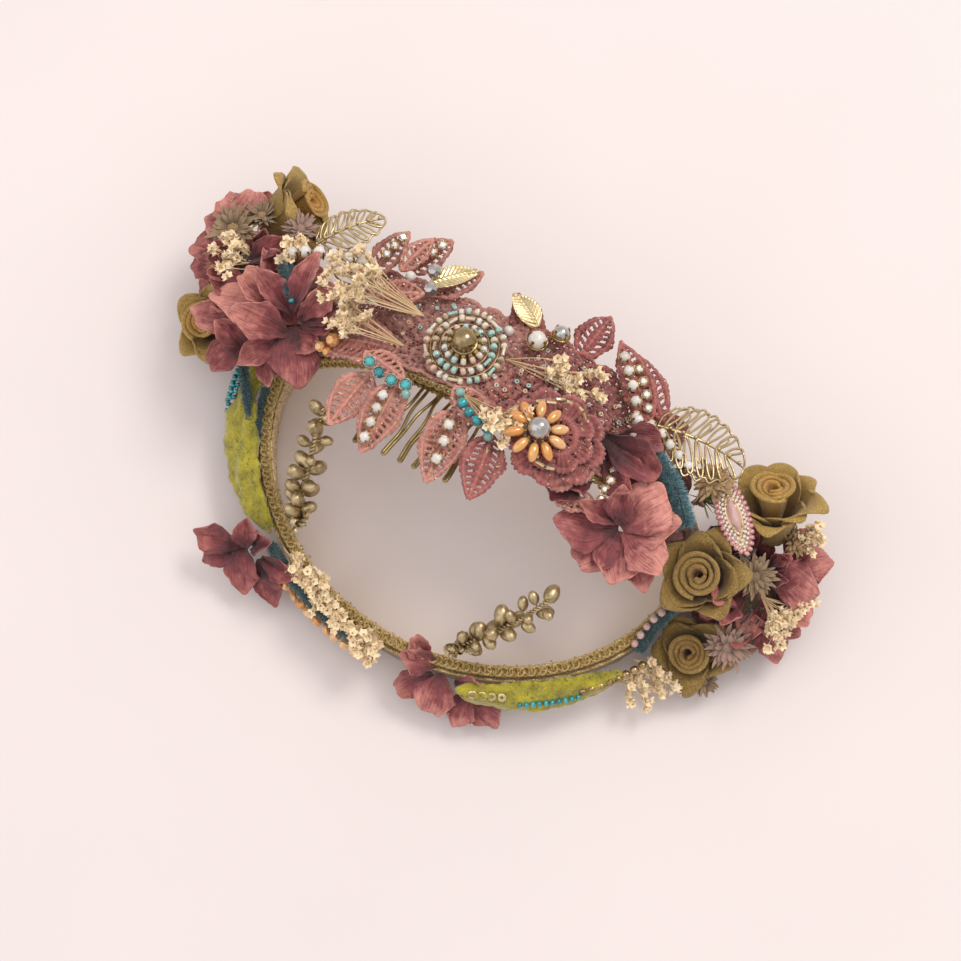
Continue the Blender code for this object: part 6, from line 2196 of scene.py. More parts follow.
    def build(self) -> None:
        """Builds the cluster."""
        self.bundle.build()
        add_piece("rosebud_left_front", self.rose_front.shape(), Looks.SUEDE_OCHRE, ["rose_left_front"],
                  wall=0.4)
        add_piece("rosebud_left_side", self.rose_side.shape(), Looks.SUEDE_OCHRE, ["rose_left_side"],
                  wall=0.4)
        add_florets("petals_left_large", self.large, Looks.PETAL_ROSE, ["floret_left_large"], 11)
        add_florets("petals_left_inner", self.inner, Looks.PETAL_ROSE, ["floret_left_inner"], 12)
        add_florets("petals_left_outer", self.outer, Looks.PETAL_ROSE, ["floret_left_outer"], 13)
        add_florets("petals_left_filler", filler_petals((80.0, -15.0, 29.0), (15.0, 14.0, 8.0), 20, 61),
                    Looks.PETAL_DEEP, (), 14)
        add_piece("filigree_wire_left", filigree(self.silver_leaf, 6, 0.34), Looks.FILIGREE,
                  ["filigree_leaf_left"])
        heads = [Daisy((93.0, -23.5, 34.0), (0.15, 0.1, 1.0), 7.2, 1),
                 Daisy((88.0, -30.5, 33.0), (0.3, -0.4, 0.9),
                 5.6, 2), Daisy((92.0, -15.5, 30.5), (0.5, 0.3, 0.8), 5.4, 3)]
        add_piece("daisies_left", joined([d.shape() for d in heads]), Looks.DAISY, ["daisy_left"], wall=0.16)
        add_piece("daisies_left_middles", joined([d.middle() for d in heads]), Looks.DAISY_TAN)
        pink = [Daisy((75.5, -31.0, 39.5), (-0.1, -0.3, 1.0), 5.2, 4)]
        add_piece("daisy_left_pink", joined([d.shape() for d in pink] + [d.middle() for d in pink]),
                  Looks.DAISY_PINK, wall=0.16)
        line = smooth_line([(73.0, -23.0, 45.0), (66.8, -26.0, 47.0), (60.4, -28.2, 47.0), (54.8, -30.0,
                                                                                            45.4)], 60)
        BeadWork().mounted("pearls_on_left_strand", spaced(line, 3.9)[0], (0.1, -0.35, 1.0),
                           1.7, ["pearl_row_left"], seed=21)
        sprays = [Spray((32.0, -24.5, 48.0), (54.0, -24.0, 48.6), 8.5, 17, 1, size=1.05, reach=0.3),
                  Spray((32.5, -14.5, 48.4), (50.5, -13.0, 46.5), 5.5, 10, 2, reach=0.28)]
        add_piece("dried_spray_left", joined([s.shape() for s in sprays]), Looks.SPRAY, ["spray_left"])
        more = [Spray((80.5, -18.5, 36.0), (89.5, -15.0, 36.5), 6.0, 10, 3, size=0.95),
                Spray((72.0, -22.5, 39.0), (75.0, -24.5, 42.0), 3.0, 5, 4)]
        add_piece("dried_spray_left_outer", joined([s.shape() for s in more]), Looks.SPRAY)
        t = np.linspace(0.0, 1.0, 70)
        curls = np.stack([
            np.stack([58.0 - 5.0 * t + 3.2 * np.cos(7.0 * t + n),
                      -25.5 - 3.0 * n + 2.4 * np.sin(7.0 * t + n) * (1 - t),
                      40.5 + 3.0 * t + 0.5 * n], axis=-1) for n in range(3)])
        add_piece("wire_curls_left", tubes(curls, 0.3, 6), Looks.BRASS_WIRE)
        teal = fuzzy(smooth_line([(75.5, 4.0, 21.0), (69.0, 13.0, 18.0), (61.0, 22.0, 16.0)], 40), 0.8,
                     1500, 1.7, 5)
        add_piece("dark_yarn_left", teal, Looks.CHENILLE_DARK)
        tuft = fuzzy(smooth_line([(73.5, -20.0, 41.0), (70.0, -17.0, 42.6), (67.0, -13.5, 42.6)], 20), 1.5,
                     1800, 2.4,
                     17)
        add_piece("teal_tuft_left", tuft, Looks.CHENILLE_DARK)
        beads = threaded(smooth_line([(71.5, -18.5, 42.0), (69.0, -15.0, 43.0), (66.5, -11.5, 43.2)], 20),
                         SEED_BEAD,
                         1.0, 2.1, 6, 0.3)
        add_piece("teal_seeds_left", beads, Looks.TURQUOISE)
        cut = np.array([(51.0, -7.5, 43.4), (53.4, -4.5, 41.6), (50.8, -4.0, 42.2)])
        add_piece("amber_cut_beads", scattered(CUT_BEAD, cut, (0.4, 0.5, 1.0), np.array([2.1, 1.6, 1.5]),
                                               0.0,
                                               np.array([0.1, 0.5, 0.9])), Looks.AMBER, edge=Edge.FACETED)


@dataclass(frozen=True)
class RightCluster:
    """The cluster at the -X foot of the arch."""

    bundle: StemBundle = StemBundle("bound_bundle_right", "stem_bundle_right", (-81.0, -8.0, 12.0), 12.0,
                                    0.4, 21.5,
                                    4)
    rose_front: Rosebud = Rosebud((-79.5, -23.5, 20.5), (-72.5, -33.5, 37.0), 9.4, 3, heart=0.75, flare=0.5)
    rose_middle: Rosebud = Rosebud((-69.5, -3.5, 25.0), (-66.4, -0.4, 38.5), 9.8, 4, turns=3.1, heart=0.35,
                                   flare=0.32)
    rose_back: Rosebud = Rosebud((-75.5, 12.0, 4.5), (-74.5, 16.0, 16.0), 8.2, 5, heart=0.5)
    large: tuple[Petal, ...] = (
        Petal((-42.5, -0.5, 44.5), (-48.5, -14.5, 47.5), 15.0, bow=1.6, cup=0.9, tint=1.2, ruffle=0.4),
        Petal((-43.0, -1.0, 44.0), (-56.0, -8.0, 44.5), 11.0, bow=1.2, cup=0.8, tint=0.9),
        Petal((-42.0, 0.0, 44.5), (-26.5, 7.0, 45.0), 13.0, bow=1.2, cup=0.6, tint=-0.1, ruffle=0.4),
        Petal((-42.3, 0.5, 44.0), (-38.0, 14.0, 41.0), 11.5, bow=1.2, cup=0.8, tint=0.1),
        Petal((-43.0, 0.5, 44.0), (-48.5, 13.0, 41.5), 12.0, bow=1.2, cup=0.8, tint=0.5),
        Petal((-43.5, 0.0, 44.5), (-58.0, 3.5, 43.0), 10.5, bow=1.0, cup=1.0, tint=1.0),
        Petal((-41.0, -1.0, 45.0), (-29.5, 0.0, 48.0), 7.0, bow=0.8, cup=1.6, fold=0.5, point=0.8, tint=0.4),
        Petal((-41.8, -0.5, 45.5), (-38.0, -10.0, 49.0), 8.0, bow=0.8, cup=1.6, fold=0.4, point=0.6,
              tint=0.0),
        Petal((-44.5, 2.0, 42.0), (-56.5, 10.0, 39.0), 8.5, bow=1.0, cup=1.0, tint=0.2),
    )
    front: tuple[Petal, ...] = (
        Petal((-27.0, -19.5, 47.5), (-46.0, -18.5, 47.5), 10.5, facing=(0.0, 0.3, 0.9), bow=2.2, cup=1.4,
              fold=0.45,
              point=0.9, tint=-0.35),
        Petal((-28.0, -16.0, 47.0), (-43.5, -12.5, 46.0), 10.0, facing=(0.0, 0.3, 0.9), bow=1.6, cup=1.2,
              fold=0.2,
              tint=-0.2),
        Petal((-27.5, -5.0, 46.5), (-22.0, 3.0, 47.5), 8.0, bow=1.0, cup=1.6, fold=0.4, tint=-0.5),
        Petal((-30.0, -21.0, 46.5), (-41.0, -26.0, 44.0), 8.5, bow=1.2, cup=1.2, fold=0.3, tint=0.0),
        Petal((-29.0, -7.0, 46.0), (-24.5, -1.0, 49.5), 6.5, bow=0.8, cup=1.5, fold=0.5, point=0.7,
              tint=0.0),
        Petal((-33.0, -9.0, 45.5), (-41.0, -9.5, 48.5), 7.0, bow=0.8, cup=1.6, fold=0.5, tint=0.2),
    )
    outer: tuple[Petal, ...] = (
        Petal((-82.5, -14.5, 24.0), (-97.5, -15.0, 17.5), 11.5, bow=1.6, cup=1.2, curl=1.0, tint=0.5),
        Petal((-87.5, -17.5, 21.0), (-95.5, -27.0, 15.0), 9.0, bow=1.2, cup=1.4, tint=0.7),
        Petal((-86.0, -18.5, 22.5), (-88.0, -29.5, 20.0), 8.5, bow=1.2, cup=1.4, tint=0.4),
        Petal((-84.5, -10.0, 21.0), (-86.5, 3.0, 13.5), 9.5, bow=1.4, cup=1.4, tint=0.6),
        Petal((-87.5, -3.5, 15.0), (-98.5, -4.5, 10.0), 8.5, bow=1.2, cup=1.2, tint=0.2),
        Petal((-88.0, -2.5, 14.0), (-97.0, 4.0, 8.0), 8.0, bow=1.2, cup=1.2, tint=0.3),
        Petal((-80.0, -5.0, 26.0), (-76.0, 4.5, 22.0), 7.0, bow=1.2, cup=1.4, tint=0.5),
        Petal((-88.0, -10.0, 19.0), (-99.5, -9.5, 15.0), 8.5, bow=1.2, cup=1.4, tint=0.8),
    )
    wire_leaf: Leaf = Leaf((-37.5, -30.5, 41.0), (-63.5, -33.0, 35.5), 23.0, bow=2.6, cup=-1.8, blunt=0.5,
                           seed=51)

    def stone(self) -> None:
        """Builds the long stone: a pointed plate with two rows of small stones, in a frame of seed beads."""
        start, end = np.array([-61.0, -25.5, 38.2]), np.array([-73.5, -14.0, 37.2])
        middle = 0.5 * (start + end)
        ahead = unit(end - start)
        half = 0.31 * float(np.linalg.norm(end - start))
        facing = unit(np.cross(np.cross(ahead, np.array([0.1, -0.1, 1.0])), ahead))
        side = np.cross(facing, ahead)
        angle = np.arange(16) * FULL_TURN / 16

        def oval(scale: float, lift: float, turn: Array = angle) -> Array:
            """Returns points on the pointed oval: x = L c, y = W s |s|^0.35."""
            x = half * np.cos(turn) * scale
            y = 0.34 * half * np.sin(turn) * np.abs(np.sin(turn)) ** 0.35 * (scale - 0.12 + 0.12 * scale)
            return middle + ahead * x[:, None] + side * y[:, None] + facing * lift

        rings = np.stack([oval(0.30, -1.2), oval(0.98, 0.0), oval(1.0, 0.5), oval(0.72, 1.6),
                          oval(0.42, 2.1)])
        cut = surface(rings, 0.2, wrap_columns=True)
        low, top = len(cut.points), len(cut.points) + 1
        k = np.arange(16)
        after = (k + 1) % 16
        cut.tris = np.concatenate([np.stack([np.full(16, low), after, k], axis=1),
                                   np.stack([64 + k, 64 + after, np.full(16, top)], axis=1)])
        cut = Shape(np.vstack([cut.points, middle - facing * 1.3, middle + facing * 2.15]), cut.quads,
                    cut.tris, 0.2)
        add_piece("navette_stone", cut, Looks.BLUSH, ["navette_brooch"], edge=Edge.FACETED)
        fine = np.arange(72) * FULL_TURN / 72
        bezel = tubes(oval(1.05, 0.3, fine), 0.28, 8, closed=True)
        plate = surface(np.stack([oval(0.05, -0.9, fine), oval(2.1, -0.9, fine), oval(2.1, -1.5, fine),
                                  oval(0.05, -1.5, fine)]), 0.2, wrap_columns=True)
        claw_at = oval(1.04, 0.8, np.array([0.0, 0.9, 2.24, math.pi, 4.04, 5.38]))
        claws = scattered(ball(8, 6, 1.3), claw_at, facing, 0.5)
        add_piece("navette_setting", joined([bezel, plate, claws]), Looks.GOLD_LEAF, edge=Edge.CREASED)
        stones = []
        for scale, lift in ((1.34, 0.1), (1.68, -0.2)):
            places, _ = spaced(np.vstack([oval(scale, lift, fine), oval(scale, lift, fine)[:1]]), 1.3)
            stones.append(scattered(CUT_STONE, places[:-1], facing, 0.60, 0.4, 0.1))
        add_piece("navette_crystals", joined(stones), Looks.CHAMPAGNE, edge=Edge.FACETED)
        outer = np.vstack([oval(2.06, -0.4, fine), oval(2.06, -0.4, fine)[:1]])
        places, ways = spaced(outer, 1.62)
        add_piece("navette_seed_frame", scattered(SEED_BEAD, places[:-1], ways[:-1], 0.95, 0.0, 0.6),
                  Looks.PINK_SEED)

    def build(self) -> None:
        """Builds the cluster."""
        self.bundle.build()
        add_piece("rosebud_right_front", self.rose_front.shape(), Looks.SUEDE_OCHRE, ["rose_right_front"],
                  wall=0.4)
        add_piece("rosebud_right_middle", self.rose_middle.shape(), Looks.SUEDE_BROWN, ["rose_right_middle"],
                  wall=0.42)
        add_piece("rosebud_right_back", self.rose_back.shape(), Looks.SUEDE_BROWN, ["rose_right_back"],
                  wall=0.4)
        add_florets("petals_right_large", self.large, Looks.PETAL_ROSE, ["floret_right_large"], 21)
        add_florets("petals_right_front", self.front, Looks.PETAL_DEEP, ["floret_right_front"], 22, 0.4)
        add_florets("petals_right_outer", self.outer, Looks.PETAL_ROSE, ["floret_right_outer"], 23)
        add_florets("petals_right_filler", filler_petals((-78.0, -8.0, 25.0), (14.0, 14.0, 7.0), 20, 62),
                    Looks.PETAL_DEEP, (), 24)
        low = filler_petals((-58.0, -17.0, 27.0), (11.0, 9.0, 7.0), 18, 63)
        add_florets("petals_right_under", low, Looks.PETAL_DUSTY, (), 25)
        add_piece("filigree_wire_right", filigree(self.wire_leaf, 7, 0.36),
                  Looks.FILIGREE, ["filigree_leaf_right"])
        self.stone()
        tan = [Daisy((-58.0, -25.0, 38.5), (0.1, 0.1, 1.0), 6.2, 11),
               Daisy((-85.5, -24.0, 25.5), (-0.5, -0.3, 0.9),
               4.6, 12)]
        add_piece("daisies_right_tan", joined([d.shape() for d in tan] + [d.middle() for d in tan]),
                  Looks.DAISY_TAN, wall=0.16)
        heads = [Daisy((-80.0, -9.0, 32.0), (-0.2, 0.2, 1.0), 6.4, 13),
                 Daisy((-82.0, 19.0, 8.0), (-0.4, 0.5, 0.8),
                 4.4, 14)]
        add_piece("daisies_right", joined([d.shape() for d in heads] + [d.middle() for d in heads]),
                  Looks.DAISY,
                  ["daisy_right"], wall=0.16)
        pink = [Daisy((-83.0, 8.5, 14.5), (-0.3, 0.3, 0.9), 7.0, 15)]
        add_piece("daisy_right_pink", joined([d.shape() for d in pink] + [d.middle() for d in pink]),
                  Looks.DAISY_PINK, wall=0.16)
        sprays = [Spray((-84.5, -6.5, 24.5), (-93.0, -4.0, 20.5), 7.0, 12, 31), Spray((-84.0, -17.5, 25.5),
                  (-87.0, -25.5, 25.0), 3.5, 5, 32)]
        add_piece("dried_spray_right", joined([s.shape() for s in sprays]), Looks.SPRAY, ["spray_right"])
        more = [Spray((6.6, -24.5, 49.2), (-14.5, -28.5, 50.5), 6.5, 10, 33, reach=0.35),
                Spray((11.0, -9.0, 56.2), (-2.5, -5.5, 60.5), 4.0, 8, 34, reach=0.3),
                Spray((-60.0, 31.0, 10.0), (-69.5, 27.5, 7.5), 4.5, 9, 35),
                Spray((-62.0, 24.0, 12.0), (-72.0, 23.0, 8.0), 3.0, 6, 36)]
        add_piece("dried_sprays_middle", joined([s.shape() for s in more]), Looks.SPRAY)
        strand = smooth_line([(-32.5, -28.0, 47.0), (-37.5, -28.8, 45.4), (-43.0, -26.8,
                                                                           44.4), (-50.0, -24.5, 43.0)],
                             40)
        BeadWork().mounted("pearls_on_right_strand", spaced(strand, 3.9)[0], UP, 1.45, seed=22)
        teal = fuzzy(smooth_line([(-39.5, -23.0, 44.0), (-45.0, -20.5, 43.5), (-50.0, -17.5, 42.0), (-57.5,
                                                                                                     -11.0,
                                 38.0)], 60), 1.2, 4200, 2.6, 7)
        add_piece("teal_chenille_right", teal, Looks.CHENILLE)
        dark = fuzzy(smooth_line([(-62.5, 22.0, 15.5), (-63.0, 14.0, 18.0), (-65.5, 7.0, 22.0), (-69.0, 1.5,
                                                                                                 24.0)],
                                 60), 1.0, 2600, 2.0, 8)
        add_piece("dark_chenille_right", dark, Looks.CHENILLE_DARK)
        line = smooth_line([(-60.5, 21.0, 17.5), (-61.5, 14.0, 20.0), (-64.0, 8.0, 23.0)], 30)
        add_piece("blush_seeds_right", threaded(line, SMALL_BEAD, 1.15, 2.9, 9, 0.9), Looks.BLUSH)
        rng = np.random.default_rng(71)
        root = np.array([-57.5, -20.5, 33.0])
        ways = unit(rng.normal(0.0, 0.55, (60, 3)) + np.array([-0.3, -0.2, 1.0]))
        t = np.linspace(0.0, 1.0, 7)[None, :, None]
        needles = root + ways[:, None] * t * rng.uniform(5.0, 8.5, 60)[:, None, None] \
            + np.array([0.0, 0.0, -1.6]) * t ** 2
        tuft = tubes(needles, np.linspace(0.24, 0.06, 7), 4, rng.uniform(-0.5, 0.6, 60))
        add_piece("needle_tuft", tuft, Looks.GREEN)


@dataclass(frozen=True)
class BackBand:
    """What is sewn along the back of the loop."""

    left: tuple[Petal, ...] = (
        Petal((49.0, 50.0, 13.0), (62.5, 52.5, 9.0), 8.0, facing=(0.4, 0.5, 0.8), bow=1.4, cup=1.8,
              fold=0.3, tint=0.3),
        Petal((49.5, 51.0, 12.0), (57.5, 57.5, 5.5), 7.0, facing=(0.4, 0.6, 0.7), bow=1.2, cup=1.5,
              tint=0.1),
        Petal((48.5, 50.5, 12.5), (43.5, 60.5, 5.5), 9.5, facing=(0.0, 0.7, 0.7), bow=1.2, cup=1.2,
              tint=0.5),
        Petal((47.5, 50.5, 14.0), (51.0, 43.5, 18.0), 7.0, bow=0.8, cup=1.6, fold=0.5, tint=0.6),
        Petal((42.5, 51.0, 12.5), (34.0, 59.0, 4.5), 8.5, facing=(0.0, 0.7, 0.7), bow=1.2, cup=1.2,
              tint=0.0),
        Petal((42.0, 50.5, 14.5), (30.0, 51.0, 14.5), 6.0, facing=(0.0, 0.4, 0.9), bow=1.0, cup=1.8,
              fold=0.5,
              tint=0.2),
        Petal((46.0, 49.5, 13.5), (40.5, 46.5, 17.5), 6.5, bow=0.8, cup=1.6, fold=0.4, tint=-0.2),
    )
    middle: tuple[Petal, ...] = (
        Petal((-15.5, 52.5, 14.5), (-5.5, 54.0, 16.0), 7.5, facing=(0.0, 0.4, 0.9), bow=1.2, cup=1.6,
              fold=0.3,
              tint=0.3),
        Petal((-12.5, 54.0, 14.0), (-5.5, 49.5, 17.0), 6.0, bow=0.6, cup=1.0, fold=0.3, tint=0.5),
        Petal((-18.0, 54.0, 13.5), (-21.0, 64.0, 6.0), 10.5, facing=(0.0, 0.7, 0.7), bow=1.4, cup=0.9,
              tint=0.6),
        Petal((-15.5, 55.0, 12.0), (-9.0, 63.5, 6.5), 8.0, facing=(0.0, 0.7, 0.7), bow=1.2, cup=1.2,
              tint=0.1),
        Petal((-26.0, 54.5, 11.0), (-28.0, 63.5, 4.5), 8.0, facing=(0.0, 0.7, 0.7), bow=1.2, cup=1.0,
              tint=0.4),
        Petal((-27.0, 54.0, 11.0), (-37.0, 58.5, 4.5), 9.5, facing=(-0.2, 0.7, 0.7), bow=1.2, cup=1.0,
              tint=0.0),
        Petal((-22.0, 54.0, 13.0), (-30.0, 52.0, 13.5), 6.0, facing=(0.0, 0.4, 0.9), bow=1.0, cup=1.6,
              fold=0.5,
              tint=0.2),
    )

    def felt(self, name: str, node: str, start: tuple[float, float], end: tuple[float, float],
             inner: tuple[float, float], outer: tuple[float, float], seed: int, drift: float = 0.0) -> None:
        """Makes a felt leaf that lies over the band's upper edge.

        Across the leaf the place runs from the inner to the outer edge as (out, wide); its spread along the
        leaf is sin(pi s^0.85)^0.45, cut uneven at the rim, notched at one end, and the surface rolls in
        gentle waves.
        """
        s, t = np.meshgrid(np.linspace(0.0, 1.0, 110), np.linspace(-1.0, 1.0, 34), indexing="ij")
        spread = np.maximum(np.sin(math.pi * s ** 0.85) ** 0.45, 0.10)
        waist = 1.0 - 0.32 * np.exp(-((s - 0.22) / 0.07) ** 2) * (1.0 if seed % 2 else 0.4)
        ragged = 1.0 + 0.07 * np.abs(t) * np.sin(34.0 * s + 3.0 * t + seed) + 0.04 * np.sin(91.0 * s
                                                                                            + 5.0 * t)
        first, last = distance_at(*start), distance_at(*end)
        point, _, out, across = loop_frame(first + (last - first) * (s + 0.02 * np.sin(3.0 * t)))
        middle = 0.5 * (np.array(inner) + np.array(outer))
        half = 0.5 * (np.array(outer) - np.array(inner))
        reach = t * spread * waist * ragged
        out_by = middle[0] + half[0] * reach - drift * s ** 3
        wide_by = middle[1] + half[1] * reach
        normal = unit(np.array([-half[1], half[0]]))
        roll = 0.7 * waves(s * 34.0, t * 6.0, 11.0, seed) + 0.9 * (1.0 - t ** 2) \
            + 0.25 * waves(s * 60.0, t * 12.0, 5.0, seed + 1)
        out_by = out_by + normal[0] * roll * np.sign(normal[1] + 1e-9)
        wide_by = wide_by + abs(normal[1]) * roll
        points = point + out * out_by[..., None] + across * wide_by[..., None]
        item = add_piece(name, surface(points, 0.0, s, t), Looks.FELT, [node], wall=1.1)
        length = abs(last - first) * 1.12
        width = 2.0 * float(np.linalg.norm(half)) * 1.1
        declare_cloth(item, width, length, "stretched", ["covered_tape"], 0.84)
        rng = np.random.default_rng(seed)
        count = 420
        pick = rng.integers(0, points.shape[0] * points.shape[1], count)
        rim = rng.uniform(0, 1, count) < 0.6
        rows = rng.integers(2, 108, count)
        cols = np.where(rng.uniform(0, 1, count) < 0.5, 0, 33)
        spots = np.where(rim[:, None], points[rows, cols], points.reshape(-1, 3)[pick])
        side_way = np.where(rim[:, None], points[rows, cols] - points[rows, 17],
                            rng.normal(0, 1, (count, 3)))
        ways = unit(unit(side_way) + rng.normal(0.0, 0.6, (count, 3)) + across.reshape(-1, 3)[pick] * 0.7)
        hair = turned([(0.0, 0.0), (1.0, 0.02), (0.8, 0.6), (0.0, 1.0)], 3)
        sizes = np.stack([np.full(count, 0.05), np.full(count, 0.05), rng.uniform(0.5, 1.2, count)], axis=1)
        add_piece(name + "_nap", scattered(hair, spots, ways, sizes, 0.0, rng.uniform(-1, 1, count)),
                  Looks.FELT)

    def row(self, start: tuple[float, float], end: tuple[float, float], count: int, out_by: float,
            wide_by: float) -> Array:
        """Returns a line along the back of the band."""
        return on_loop(start, end, count, out_by, wide_by)[0]

    def build(self) -> None:
        """Builds the trims behind."""
        self.felt("felt_leaf_long", "felt_leaf_left", (67.0, 1.0), (45.5, 44.5), (1.8, 10.4), (11.2, 4.4),
                  1, 4.0)
        self.felt("felt_leaf_wide", "felt_leaf_back", (-23.5, 53.0), (-58.0, 27.0), (2.2, 9.8), (9.2, 4.0),
                  2)
        add_florets("petals_back_left", self.left, Looks.PETAL_DEEP, ["floret_back_left"], 31)
        add_florets("petals_back_middle", self.middle, Looks.PETAL_ROSE, ["floret_back"], 32)
        line = self.row((36.0, 46.0), (3.0, 54.0), 60, 6.6, 3.4)
        places, ways = spaced(line, 3.5)
        rng = np.random.default_rng(81)
        rice = np.arange(len(places)) % 4 == 3
        cut = scattered(CUT_BEAD, places[~rice], ways[~rice] + rng.normal(0, 0.3, ((~rice).sum(), 3)), 1.75,
                        0.0,
                        rng.uniform(0.3, 0.999, (~rice).sum()))
        long = scattered(RICE_BEAD, places[rice], ways[rice] + rng.normal(0, 0.5, (rice.sum(), 3)), 1.1,
                         0.0, 0.1)
        add_piece("amber_row_beads", joined([cut, long]), Looks.AMBER, ["amber_row"], edge=Edge.CREASED)
        low = self.row((36.0, 46.0), (3.0, 54.0), 60, 4.6, -0.6)
        dark = threaded(low, SEED_BEAD, 1.15, 1.9, 82)
        add_piece("dark_seed_row", dark, Looks.BRASS_OLD)
        sprays = []
        for number, (x, y) in enumerate(((38.0, 45.0), (32.0, 48.0), (26.0, 50.3), (20.0, 52.0),
                                           (13.5, 53.3), (7.5, 54.0))):
            root = self.row((x, y), (x - 3.0, y + 0.6), 2, 1.6, 8.0)[0]
            tip = root + np.array([-7.0, 2.6, 1.4])
            sprays.append(Spray(tuple(root), tuple(tip), 2.6, 6, 83 + number, (0.0, 0.3, 0.95), 1.4,
                                size=0.95))
        add_piece("dried_spray_back", joined([s.shape() for s in sprays]), Looks.SPRAY, ["spray_back"])
        yarn = fuzzy(self.row((40.0, 43.5), (8.0, 54.0), 60, 4.2, 6.6), 1.1, 2600, 1.8, 88)
        add_piece("teal_yarn_back", yarn, Looks.CHENILLE_DARK)
        side_yarn = fuzzy(self.row((65.0, 8.0), (60.0, 24.0), 40, 1.6, 8.6), 0.7, 1300, 1.4, 89)
        add_piece("dark_yarn_side", side_yarn, Looks.CHENILLE_DARK)
        strands = [(66.0, 3.0, 62.5, 15.0, 11.4, 4.6), (66.5, 1.5, 63.5, 12.0, 10.0, 6.2),
                   (66.0, 2.5, 63.8, 12.5, 12.2, 2.8)]
        turquoise = joined([threaded(self.row(strand[:2], strand[2:4], 50, *strand[4:]), SEED_BEAD, 0.85,
                                     1.8,
                                     90 + number) for number, strand in enumerate(strands)])
        add_piece("turquoise_seeds_side", turquoise, Looks.TURQUOISE)
        behind = [Petal(tuple(self.row((67.0, -1.0), (64.0, 9.0), 2, 10.6, low)[0]),
                        tuple(self.row((62.5, 15.0), (60.0, 20.0), 2, 9.4, low)[0]), 6.5, (1.0, 0.4, 0.7),
                        bow=0.5,
                        curl=-0.6, cup=-0.4, ruffle=0.2, tint=-0.2) for low in (1.2, 4.2)]
        add_florets("petals_behind_beads", behind, Looks.PETAL_DEEP, (), 37)
        blue = threaded(self.row((-38.0, 46.0), (-50.0, 37.0), 50, 8.2, 7.4), SEED_BEAD, 0.95, 1.9, 91)
        add_piece("turquoise_beads_back", blue, Looks.TURQUOISE)
        bronze = threaded(self.row((-51.0, 36.0), (-60.0, 22.0), 50, 7.0, 7.6), SMALL_BEAD, 1.2, 2.5, 92)
        add_piece("bronze_beads_back", bronze, Looks.BRASS_OLD)
        sequins = self.row((-27.0, 51.5), (-34.0, 48.5), 4, 6.4, 8.6)
        plate = turned([(0.35, -0.1), (1.0, 0.0), (0.96, 0.16), (0.35, 0.0)], 14)
        add_piece("gold_sequins", scattered(plate, sequins, (-0.1, 0.5, 0.8), 1.35), Looks.GOLD_LEAF)
        edge = self.row((62.0, 18.0), (-62.0, 12.0), 260, 1.5, 7.1)
        add_piece("copper_rim_cord", twisted_pair(edge, 0.22, 1.6, 0.2, 5), Looks.BRAID)
        stitches = []
        for start in np.linspace(20.0, 150.0, 34):
            at, along, out, across = loop_frame(start)
            stitches.append(np.stack([at + out * 1.4 + across * 5.0,
                                      at + out * 1.75 + across * 6.6 + along * 0.5,
                                      at + out + across * 7.6 + along * 0.9]))
        add_piece("rim_stitches", tubes(np.stack(stitches), 0.16, 5), Looks.THREAD)


@dataclass(frozen=True)
class BerrySprig:
    """A wired berry sprig on its own body: a twisted stem, short side wires, and ridged bronze berries."""

    name: str
    node: str
    body: str
    places: tuple[Place, Place, Place]
    seed: int
    berries: int = 30
    cluster: float = 0.12

    def line(self, count: int) -> Array:
        """Returns the stem: the curve that starts and ends at the outer places and bends by the middle
        one."""
        places = np.array(self.places)
        control = 2.0 * places[1] - 0.5 * (places[0] + places[2])
        t = np.linspace(0.0, 1.0, count)[:, None]
        return places[0] * (1 - t) ** 2 + control * 2 * t * (1 - t) + places[2] * t ** 2

    def build(self) -> None:
        """Builds the sprig: berries sit on short wires that leave the stem in a spiral."""
        rng = np.random.default_rng(self.seed)
        line = self.line(120)
        stem = twisted_pair(line, 0.42, 2.6, 0.42)
        at = np.linspace(0.16, 0.97, self.berries)
        roots = line[(at * 119).astype(int)]
        step = unit(np.gradient(line, axis=0))[(at * 119).astype(int)]
        side, other = facing_frames(step, np.zeros(self.berries))
        turn = np.arange(self.berries) * 2.4 + rng.uniform(-0.3, 0.3, self.berries)
        ways = unit(side * np.cos(turn)[:, None] + other * np.sin(turn)[:, None] + step * 0.5)
        length = rng.uniform(1.2, 3.2, self.berries)
        ends = roots + ways * length[:, None]
        t = np.linspace(0.0, 1.0, 6)[None, :, None]
        twigs = tubes(roots[:, None] * (1 - t) + ends[:, None] * t + step[:, None] * 0.5 * t * (1 - t),
                      0.22, 5)
        berry = ball(12, 8, 1.5)
        angle = np.arctan2(berry.points[:, 1], berry.points[:, 0])
        berry.points[:, :2] *= (1.0 + 0.09 * np.cos(6.0 * angle))[:, None]
        sizes = rng.uniform(1.3, 2.15, self.berries)
        fruit = scattered(berry, ends + ways * 0.9, ways, sizes, rng.uniform(0, 6, self.berries))
        nub = scattered(turned([(0.0, -0.5), (0.5, -0.2), (0.3, 0.4), (0.0, 0.7)], 6),
                        ends + ways * (0.9 + 1.25 * sizes)[:, None], ways, 0.45)
        crowd = int(self.berries * 1.6)
        spot = line[rng.integers(14, 34, crowd)] + rng.normal(0.0, 1.15, (crowd, 3))
        crinkle = scattered(FLORET, spot, rng.normal(0, 1, (crowd, 3)) + np.array([0, 0, 0.8]),
                            rng.uniform(0.8, 1.5, crowd), rng.uniform(0, 6, crowd))
        add_piece(self.name, joined([stem, twigs, fruit, nub, crinkle]), Looks.BERRY, [self.node], self.body)


